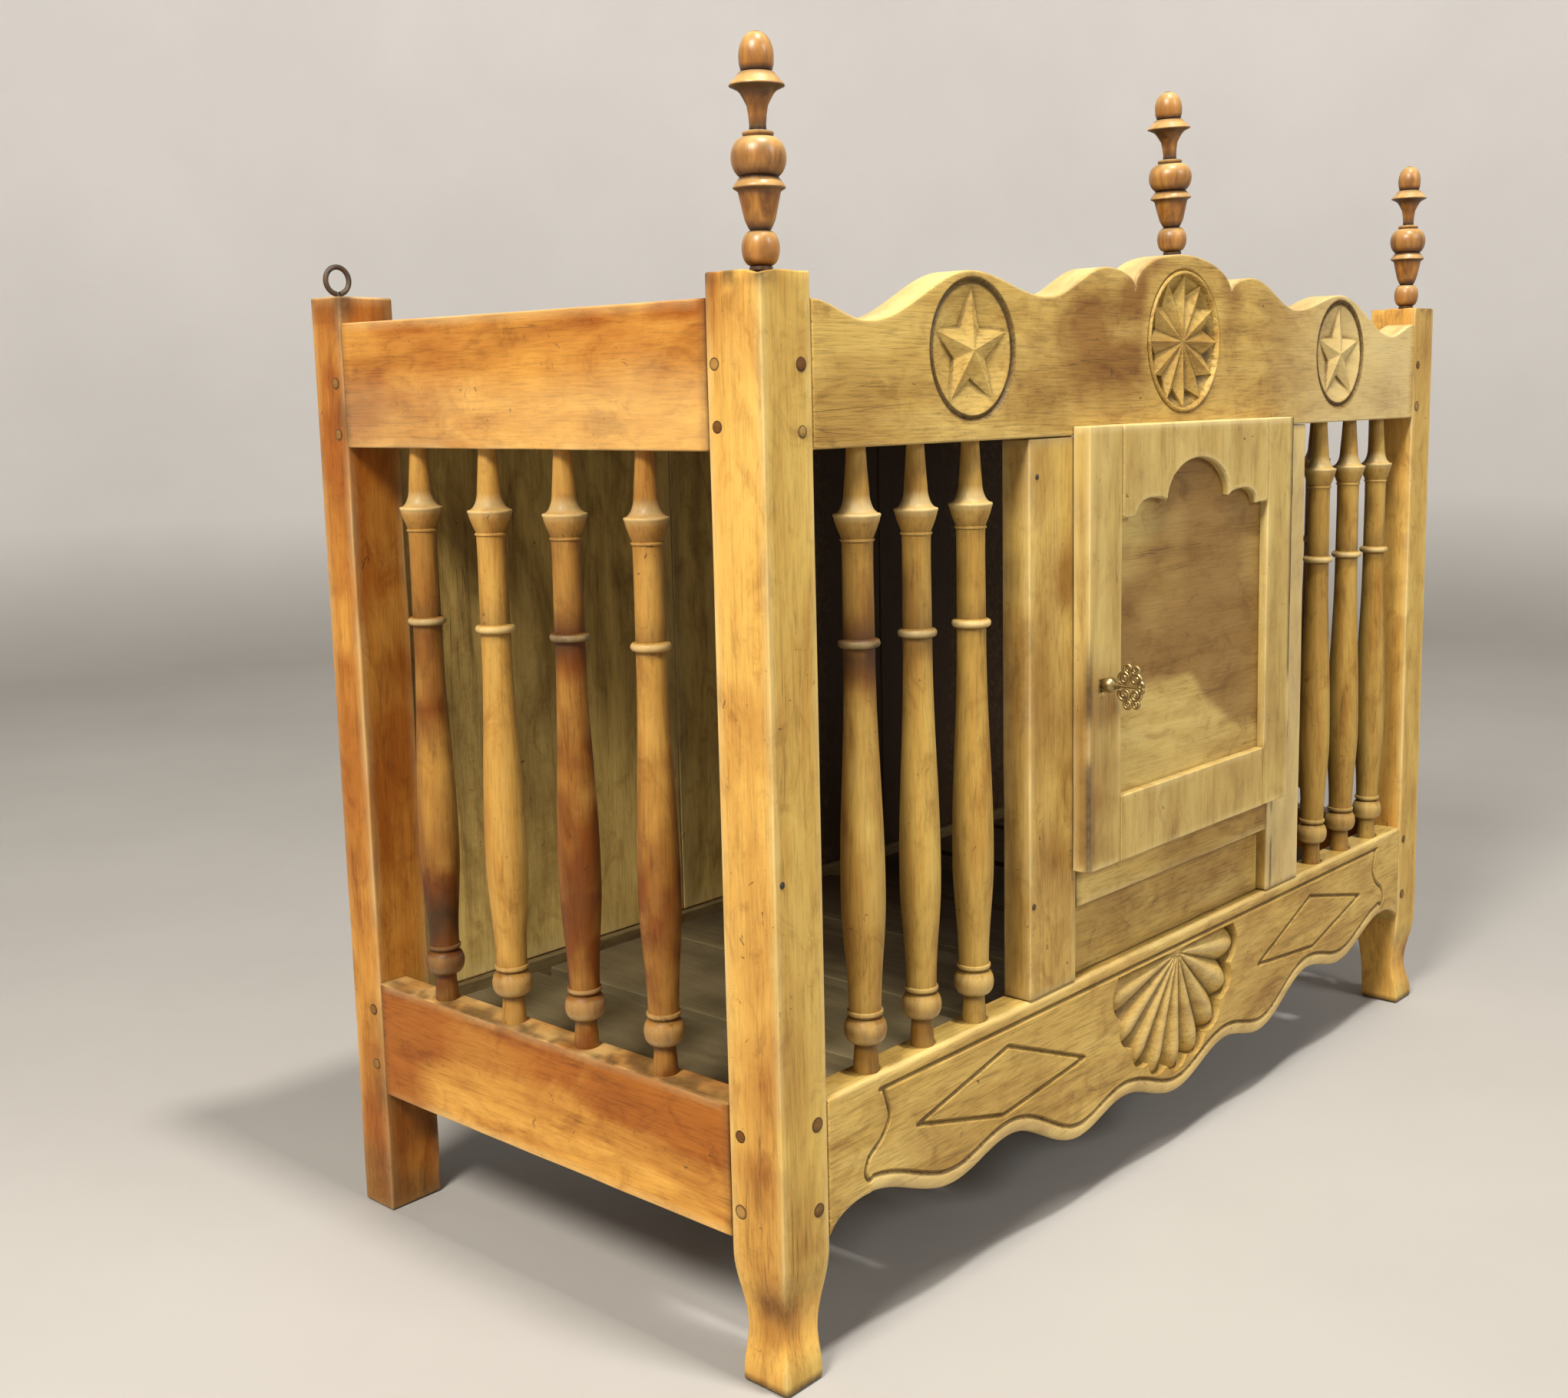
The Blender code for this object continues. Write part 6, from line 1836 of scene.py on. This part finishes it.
def set_copies(name, master, finish, seats, ways, numbers, thinnest, thickest, seed):
    """One plain mesh of copies of a master; numbers are marks, one value for each seat."""
    cloud = bpy.data.meshes.new(name)
    cloud.from_pydata([tuple(seat) for seat in seats], [], [])
    layer = cloud.attributes.new("way", "FLOAT_VECTOR", "POINT")
    layer.data.foreach_set("vector", np.asarray(ways, np.float32).ravel())
    for word, values in numbers.items():
        cloud.attributes.new(word, "FLOAT", "POINT").data.foreach_set("value", np.asarray(values, np.float32))
    made = place_in_scene(name, cloud)
    tree = copies_tree(name + "_tree")
    step = made.modifiers.new("copies", "NODES")
    step.node_group = tree
    values = {
        "Master": master, "Finish": finish, "Thinnest": thinnest, "Thickest": thickest, "Turn": math.tau,
        "Seed": seed,
    }
    for item in tree.interface.items_tree:
        if item.in_out == "INPUT" and item.name in values:
            step[item.identifier] = values[item.name]
    settle(made, step)
    bpy.data.objects.remove(master)
    return made


print("spindle seats:", sum("_spindle_" in name for name in frame["nodes"]))

# %% Stains along the spindles
STAIN_COURSES = {  # heights and stains from the foot up
    "left_side_spindle_1": (
        (0.19, 0.60), (0.23, 0.50), (0.26, 0.75), (0.33, 0.75), (0.385, 0.60), (0.42, 0.20), (0.53, 0.05),
        (0.555, 0.35), (0.607, 0.40),
    ),
    "left_side_spindle_2": (
        (0.19, 0.60), (0.225, 0.65), (0.25, 0.95), (0.33, 0.80), (0.40, 0.85), (0.42, 0.45), (0.452, 0.50),
        (0.47, 0.95), (0.50, 0.70), (0.545, 0.75), (0.56, 0.30), (0.607, 0.25),
    ),
    "left_side_spindle_3": ((0.19, 0.30), (0.22, 0.30), (0.24, 0.08), (0.50, 0.05), (0.607, 0.15)),
    "left_side_spindle_4": (
        (0.19, 0.50), (0.24, 0.90), (0.27, 0.90), (0.30, 0.55), (0.36, 0.40), (0.385, 0.50), (0.42, 0.80),
        (0.47, 0.80), (0.485, 0.55), (0.53, 0.50), (0.55, 0.30), (0.607, 0.30),
    ),
    "front_left_spindle_3": (
        (0.19, 0.50), (0.22, 0.40), (0.25, 0.22), (0.41, 0.25), (0.44, 0.50), (0.475, 1.00), (0.49, 0.80),
        (0.52, 0.50), (0.55, 0.35), (0.607, 0.10),
    ),
    "front_left_spindle_2": (
        (0.19, 0.40), (0.22, 0.30), (0.25, 0.0), (0.43, 0.0), (0.48, 0.45), (0.53, 0.30), (0.607, 0.15),
    ),
    "front_left_spindle_1": ((0.19, 0.35), (0.22, 0.20), (0.25, 0.0), (0.607, 0.05)),
}
GRIME_COURSES = {
    "front_left_spindle_3": ((0.45, 0.0), (0.47, 0.85), (0.492, 0.75), (0.505, 0.1), (0.55, 0.0)),
    "front_left_spindle_2": ((0.46, 0.0), (0.475, 0.35), (0.49, 0.45), (0.51, 0.0)),
    "left_side_spindle_4": (
        (0.225, 0.3), (0.25, 0.75), (0.28, 0.25), (0.30, 0.0), (0.45, 0.05), (0.475, 0.25), (0.49, 0.0),
    ),
    "left_side_spindle_2": (
        (0.24, 0.0), (0.30, 0.2), (0.34, 0.0), (0.46, 0.0), (0.475, 0.55), (0.495, 0.35), (0.51, 0.0),
    ),
}


def add_course(mesh, word, courses, rough):
    """Sets a mark along the length of some spindles, each in its own way."""
    places = np.empty(3 * len(mesh.vertices), np.float32)
    mesh.vertices.foreach_get("co", places)
    places = places.reshape(-1, 3)
    layer = mesh.attributes[word]
    values = np.empty(len(mesh.vertices), np.float32)
    layer.data.foreach_get("value", values)
    ragged = rough * (swell_noise(places, 0.012, 91) + 0.9 * swell_noise(places, 0.030, 92))
    for node, course in courses.items():
        x, y, _ = centre_of(node)
        here = np.hypot(places[:, 0] - x, places[:, 1] - y) < SPINDLE_REACH
        wanted = np.interp(places[here, 2], *zip(*course)) * (1 + ragged[here])
        values[here] = unit(np.maximum(values[here] * (word == "dirt"), wanted))
    layer.data.foreach_set("value", values)


print("spindles with their own stains:", len(STAIN_COURSES))

# %% Spindles


def dress_spindles():
    names = sorted(name for name in frame["nodes"] if "_spindle_" in name)
    seats = [centre_of(name) * (1, 1, 0) for name in names]
    numbers = {
        "seed": [1.9 + 0.83 * index for index in range(len(names))],
        "stain": [0.12 if name.startswith("front") else 0.30 for name in names],
        # Spindles in front get a cool tint: painted shade of the front.
        "faded": [1.0 if name.startswith("front") else 0.0 for name in names],
    }
    ways = np.zeros((len(names), 3))
    made = set_copies(
        "turned_spindles", spindle_master(spindle_wood), spindle_wood, seats, ways, numbers, 0.97, 1.03, 4,
    )
    made.data.shade_smooth()
    made.data.set_sharp_from_angle(angle=math.radians(TURNED_CREASE))
    add_course(made.data, "stain", STAIN_COURSES, 0.45)
    add_course(made.data, "dirt", GRIME_COURSES, 0.6)
    dress(made, "cabinet", "spindle_wood", *names)
    print("spindles:", len(names), "copies,", len(made.data.polygons), "faces")


dress_spindles()

# %% [markdown]
# The finials are redder and glossier than the rest: a ball, a vase, a saucer, a bigger ball, a trumpet
# and an acorn in its cup. The middle one is shorter and leans, so each is put in place by itself.

# %% Finials
FINIAL_SIDES = 40
MIDDLE_LEAN = math.radians(-4.0)
MIDDLE_HEIGHT_SHARE = 0.9


def polished_walnut():
    material, tree, shader = new_finish("polished_walnut")
    place = object_place(tree)
    figure = noise(tree, stretched(tree, place, 6.0, 2), 22.0, 6.0, 0.6, 0.6)
    cloud = noise(tree, place, 34.0, 4.0, 0.6)
    colour = ramp(tree, figure, [
        (0.28, (0.085, 0.028, 0.006)), (0.5, (0.25, 0.100, 0.018)), (0.72, (0.40, 0.185, 0.036)),
    ])
    # Wear turns the colour gilt; on the finials' upward faces this is a painted highlight.
    gilt_and_highlight = times(tree, mark(tree, "wear"), ramp(tree, cloud, [(0.3, 0.9), (0.7, 0.45)]))
    colour = blend(tree, gilt_and_highlight, colour, (0.72, 0.51, 0.22))
    # Dirt darkens the colour; on the finials' downward faces this is painted shade.
    grime = times(tree, mark(tree, "dirt"), 1.3, True)
    colour = blend(tree, grime, colour, (0.03, 0.012, 0.005))
    shader.inputs["Specular IOR Level"].default_value = 0.4
    set_surface(tree, shader, colour, ramp(tree, cloud, [(0.3, 0.42), (0.7, 0.30)]), figure, 0.2, 0.0008)
    return material


def finial_profile():
    """From the acorn's tip down to the foot, above the seat."""
    angle = np.pi / 2 * np.arange(0, 11) / 10
    acorn = list(zip(0.0105 * np.sin(angle) ** 0.9, 0.1235 + 0.0145 * np.cos(angle)))
    profile = [(0.0, acorn[0][1])] + acorn[1:]
    profile += [(0.0103, 0.1190), (0.0094, 0.1154), (0.0090, 0.1147)]
    profile += [(0.0106, 0.1143), (0.0135, 0.1108), (0.0160, 0.1080), (0.0167, 0.1072), (0.0166, 0.1065)]
    profile += [(0.0150, 0.1058), (0.0119, 0.1043), (0.0102, 0.1025), (0.0082, 0.0990), (0.0064, 0.0955)]
    profile += [(0.0055, 0.0900), (0.0051, 0.0850), (0.0052, 0.0816), (0.0078, 0.0809), (0.0094, 0.0802)]
    profile += [(0.0095, 0.0790), (0.0088, 0.0778)]
    ball = bead_row(0.0776, 0.0538, 0.0167, 0.0084, 16)
    profile += [place for place in ball if 0.0548 < place[1] < 0.0776]
    profile += [(0.0117, 0.0546), (0.0140, 0.0516), (0.0156, 0.0493), (0.0159, 0.0485), (0.0157, 0.0478)]
    profile += [(0.0140, 0.0469), (0.0128, 0.0458), (0.0122, 0.0425), (0.0113, 0.0385), (0.0103, 0.0340)]
    profile += [(0.0092, 0.0295), (0.0075, 0.0258), (0.0063, 0.0236)]
    profile += bead_row(0.0233, 0.0030, 0.0115, 0.0062, 12)
    profile += [(0.0070, 0.0026), (0.0072, 0.0003), (0.0, 0.0003)]
    return profile


def finial_seat(word):
    if word == "centre":
        return Vector((0.0, (FRONT + RAIL_BACK) / 2, UPPER_LINE + CREST_CENTRE_RISE + 0.0006))
    x, y, _ = centre_of(f"{word}_finial")
    return Vector((x, y, span(f"front_{word}_post")[1][2]))


def dress_finials():
    finish = polished_walnut()
    profile = finial_profile()
    shell, faces = turned_shell(profile, FINIAL_SIDES)
    wear, dirt = turned_marks(profile, FINIAL_SIDES)
    # Faces that look up are made pale and gilt: painted highlight. Faces that look down are darkened: painted
    # shade.
    wear = np.maximum(0.4 * wear, 0.85 * facing(profile, FINIAL_SIDES, 1))
    dirt = np.maximum(dirt, 0.7 * soft_step(facing(profile, FINIAL_SIDES, -1) * 1.3 - 0.3))
    for number, word in enumerate(("left", "centre", "right")):
        lean, share = (MIDDLE_LEAN, MIDDLE_HEIGHT_SHARE) if word == "centre" else (0.0, 1.0)
        turn = Matrix.Translation(finial_seat(word)) @ Matrix.Rotation(lean, 4, "Y")
        points = [tuple(turn @ Vector(point)) for point in shell * (1, 1, share)]
        marks = {"wear": wear, "dirt": dirt, "seed": number}
        made = add_piece(f"turned_{word}_finial", points, faces, finish, marks, TURNED_CREASE)
        dress(made, "cabinet", "finial_wood", word + "_finial")


dress_finials()
print("finials dressed")

# %% [markdown]
# The joints are held by round pegs whose heads show on the posts. They are small domed discs, so
# Geometry Nodes set copies of one master on their seats, each turned to its face.

# %% Pegs
PEG_RADIUS = 0.0040
PEG_RISE = 0.0004
STAND_OFF = 0.0001  # keeps a head clear of its face
FRONT_PEG_ACROSS = 0.4555
FRONT_PEG_HEIGHTS = (0.6585, 0.6182, 0.1762, 0.1180)
SIDE_PEG_PLACES = ((-0.1664, 0.6595), (-0.1674, 0.6219), (-0.1698, 0.1703), (-0.1685, 0.1186))
REAR_PEG_HEIGHTS = (0.655, 0.617, 0.166, 0.121)
PEG_STAINS = [0.95, 0.25, 0.8, 0.75, 0.3, 0.6, 0.85, 0.35, 0.5, 0.5, 0.5, 0.5]  # front, side, rear
PEG_END = ((0.56, 0.335, 0.090), (0.47, 0.265, 0.062), (0.34, 0.165, 0.034), (0.34, 0.22, 0.14))


def peg_master(name, finish, radius):
    rim = 1.16 * radius
    profile = [(0.0, PEG_RISE), (radius * 0.55, PEG_RISE * 0.9), (radius * 0.85, PEG_RISE * 0.45)]
    profile += [(radius, 0.0), (rim, -0.00005), (rim, -0.002), (0.0, -0.002)]
    points, faces = turned_shell(profile, 16)
    away = np.hypot(points[:, 0], points[:, 1])
    dirt = 0.85 * soft_step((away - 0.80 * radius) / (0.2 * radius))
    return add_piece(name, points, faces, finish, {"dirt": dirt}, 60)


def face_ways(seats):
    """Turns that lay a disc on the front or on the outer side of a post."""
    quarter = math.pi / 2
    return [
        (quarter, 0, 0) if face == "front" else (0, math.copysign(quarter, x), 0) for x, _, _, face in seats
    ]


def dress_pegs():
    rear_face = span("rear_left_post")[0][1]
    seats = []
    for side, _ in SIDES:
        outer = side * (STAND_OFF - span("front_left_post")[0][0])
        seats += [(side * FRONT_PEG_ACROSS, FRONT - STAND_OFF, z, "front") for z in FRONT_PEG_HEIGHTS]
        seats += [(outer, y, z, "side") for y, z in SIDE_PEG_PLACES]
        seats += [(outer, rear_face + 0.010, z, "side") for z in REAR_PEG_HEIGHTS]
    peg_wood = waxed_wood("peg_end_grain", *PEG_END, grain=1)
    numbers = {
        "seed": [0.61 * index for index in range(len(seats))],
        "stain": PEG_STAINS * 2,
        # Pegs on the front get a cool tint: painted shade of the front.
        "faded": [1.0 if seat[3] == "front" else 0.0 for seat in seats],
    }
    master = peg_master("peg_master", peg_wood, PEG_RADIUS)
    places = [seat[:3] for seat in seats]
    made = set_copies("joint_pegs", master, peg_wood, places, face_ways(seats), numbers, 0.85, 1.1, 9)
    dress(made, "cabinet", "frame_wood")
    print("pegs:", len(seats))


dress_pegs()

# %% [markdown]
# Iron and brass are small here but catch the eye: the screw eyes that the cupboard hangs on, the hinges
# and the key. Iron is dark with patches of rust, brass is tarnished in patches and bright between them.

# %% Metals


def old_iron():
    material, tree, shader = new_finish("old_iron")
    place = object_place(tree)
    pits = noise(tree, place, 420.0, 5.0, 0.65)
    rust = noise(tree, place, 90.0, 4.0, 0.6)
    colour = ramp(tree, rust, [
        (0.35, (0.045, 0.040, 0.036)), (0.62, (0.11, 0.075, 0.05)), (0.8, (0.16, 0.08, 0.04)),
    ])
    shader.inputs["Metallic"].default_value = 0.75
    set_surface(tree, shader, colour, ramp(tree, rust, [(0.35, 0.45), (0.7, 0.8)]), pits, 0.4, 0.0004)
    return material


def worn_brass():
    material, tree, shader = new_finish("worn_brass")
    tarnish = noise(tree, object_place(tree), 160.0, 4.0, 0.6)
    colour = ramp(tree, tarnish, [
        (0.3, (0.15, 0.10, 0.040)), (0.55, (0.38, 0.285, 0.125)), (0.8, (0.62, 0.51, 0.28)),
    ])
    shader.inputs["Metallic"].default_value = 0.95
    set_surface(tree, shader, colour, ramp(tree, tarnish, [(0.3, 0.5), (0.7, 0.26)]), tarnish, 0.2, 0.0003)
    return material


iron = old_iron()
brass = worn_brass()


def refinish(node, finish):
    """Gives a CAD node that stays in view a better finish."""
    mesh = frame["nodes"][node].data
    mesh.materials.clear()
    mesh.materials.append(finish)


for node in frame["nodes"]:
    if "hinge_" in node and "leaf" in node or node in ("lock_case", "lock_bolt"):
        refinish(node, iron)
print("metals ready")

# %% [markdown]
# Three old nails show in the front, one in the left post and two in the left mullion. They are pegs of
# iron on a smaller radius, so the same tree sets them.

# %% Nails
NAIL_RADIUS = 0.0019
NAIL_SEATS = ((-0.4831, 0.3412), (-0.2063, 0.5792), (-0.2111, 0.2626))  # across and up on the front


def dress_nails():
    seats = [(x, FRONT - STAND_OFF, z, "front") for x, z in NAIL_SEATS]
    master = peg_master("nail_master", iron, NAIL_RADIUS)
    places = [seat[:3] for seat in seats]
    made = set_copies("iron_nails", master, iron, places, face_ways(seats), {}, 0.9, 1.1, 12)
    dress(made, "cabinet", "iron")
    print("nails:", len(seats))


dress_nails()

# %% [markdown]
# A screw eye and the key's bow are bent wire, so one helper sweeps a circle along a path. The eye's ring
# is nearly closed on its shank. The bow is a set of small scrolls between the ball and an outer loop.

# %% Swept wire


def swept_wire(path, radius, sides=10):
    """A closed tube along a path; radius may change along it."""
    path = np.asarray(path, float)
    radius = np.broadcast_to(radius, (len(path),))
    way = np.gradient(path, axis=0)
    way = way / np.linalg.norm(way, axis=1, keepdims=True)
    start = np.cross(way[0], (0.31, 0.92, 0.24))
    normal = start / np.linalg.norm(start)
    points = []
    angle = 2 * np.pi * np.arange(sides) / sides
    for place, forward, size in zip(path, way, radius):
        normal = normal - forward * (normal @ forward)
        normal = normal / np.linalg.norm(normal)
        other = np.cross(forward, normal)
        points += [place + size * (c * normal + s * other) for c, s in zip(np.cos(angle), np.sin(angle))]
    faces = ring_faces(len(path), sides)
    faces.append(tuple(range(sides - 1, -1, -1)))
    faces.append(tuple(range((len(path) - 1) * sides, len(path) * sides)))
    return np.array(points), faces


def dress_screw_eyes():
    for _, word in SIDES:
        node = word + "_screw_eye"
        low, high = span(node)
        x, y, _ = centre_of(node)
        wire = (high[1] - low[1]) / 2
        ring = (high[0] - low[0]) / 2 - wire
        centre_z = high[2] - wire - ring
        angle = np.radians(np.linspace(-8, -352, 56))
        loop = np.stack([x - ring * np.sin(angle), 0 * angle + y, centre_z - ring * np.cos(angle)], 1)
        shank = [(x, y, height) for height in np.linspace(low[2], centre_z - ring - 0.0004, 10)]
        points, faces = joined(swept_wire(loop, wire, 14), swept_wire(shank, wire * 0.98, 14))
        made = add_piece("iron_" + node, points, faces, iron, {})
        dress(made, "cabinet", "iron", node)


dress_screw_eyes()
print("screw eyes dressed")

# %% [markdown]
# The key is turned brass up to its ball, and its bow is pierced scrollwork. Mirrored curls of thin wire that
# touch each other give the lacy outline without a casting model.

# %% Key


def scroll(centre_out, centre_up, start_radius, end_radius, start, turns, count=40):
    """A spiral in the bow's plane as (out, up) points."""
    share = np.arange(count + 1) / count
    angle = start + 2 * np.pi * turns * share
    radius = start_radius + (end_radius - start_radius) * share
    return np.stack([centre_out + radius * np.cos(angle), centre_up + radius * np.sin(angle)], 1)


BOW_CURLS = (  # place along and up the bow, first and last radius, first angle, turns
    (0.26, 0.34, 0.0054, 0.0014, 3.6, -1.40), (0.70, 0.33, 0.0052, 0.0013, -1.2, 1.45),
    (0.40, 0.76, 0.0038, 0.0012, -1.9, -1.30), (0.70, 0.74, 0.0034, 0.0012, -2.4, 1.30),
    (0.90, 0.10, 0.0024, 0.0012, 1.6, -1.10),
)
BOW_LENGTH_SHARE = 0.84
BOW_HEIGHT_SHARE = 1.10
BOW_WIRE = 0.0013
KEY_BALL = 0.006
KEY_STEM = 0.0030
KEY_NECK = 0.0026


def dress_key():
    low, high = span("key")
    x = centre_of("key")[0]
    z = key_height()
    seat = span("door_lock_stile")[0][1] - 0.0003
    neck_end = seat - 2 * KEY_BALL - 0.0012
    bow_length = BOW_LENGTH_SHARE * (neck_end - low[1])
    angle = np.pi * np.arange(0, 15) / 14
    profile = [(0.0, -high[1]), (KEY_STEM, -high[1]), (KEY_STEM, -seat)]
    for turn in angle[3:-2]:
        profile.append((max(KEY_STEM, KEY_BALL * math.sin(turn)), -seat + KEY_BALL * (1 - math.cos(turn))))
    profile += [(KEY_NECK, -seat + 2 * KEY_BALL - 0.0004), (KEY_NECK, -neck_end + 0.001)]
    profile.append((0.0, -neck_end + 0.001))
    shell, faces = turned_shell(profile[::-1], 24)
    shells = [(np.stack([x + shell[:, 0], -shell[:, 2], z + shell[:, 1]], 1), faces)]
    bow_half = BOW_HEIGHT_SHARE * ((high[2] - low[2]) / 2 - BOW_WIRE)
    paths = []
    for sign in (-1, 1):
        for out, up, start_radius, end_radius, start, turns in BOW_CURLS:
            paths.append(scroll(
                bow_length * out, sign * bow_half * up, start_radius, end_radius, sign * start, sign * turns,
            ))
    paths.append(np.stack([np.linspace(-0.001, bow_length - BOW_WIRE, 20), np.zeros(20)], 1))
    for path in paths:
        route = np.stack([np.full(len(path), x), neck_end - path[:, 0], z + path[:, 1]], 1)
        route[:, 1] = np.maximum(route[:, 1], low[1] + BOW_WIRE)
        shells.append(swept_wire(route, BOW_WIRE, 10))
    bit_low = np.array((x - 0.0011, span("lock_case")[0][1] + 0.0004, z - 0.0062))
    bit_high = np.array((x + 0.0011, high[1] - 0.0006, z))
    shells.append(board_shell(bit_low, bit_high, 0.003, 0.0003, 0.0, 5)[:2])
    points, faces = joined(*shells)
    made = add_piece("brass_key", points, faces, brass, {})
    dress(made, "key", "brass", "key")


dress_key()
print("key dressed")
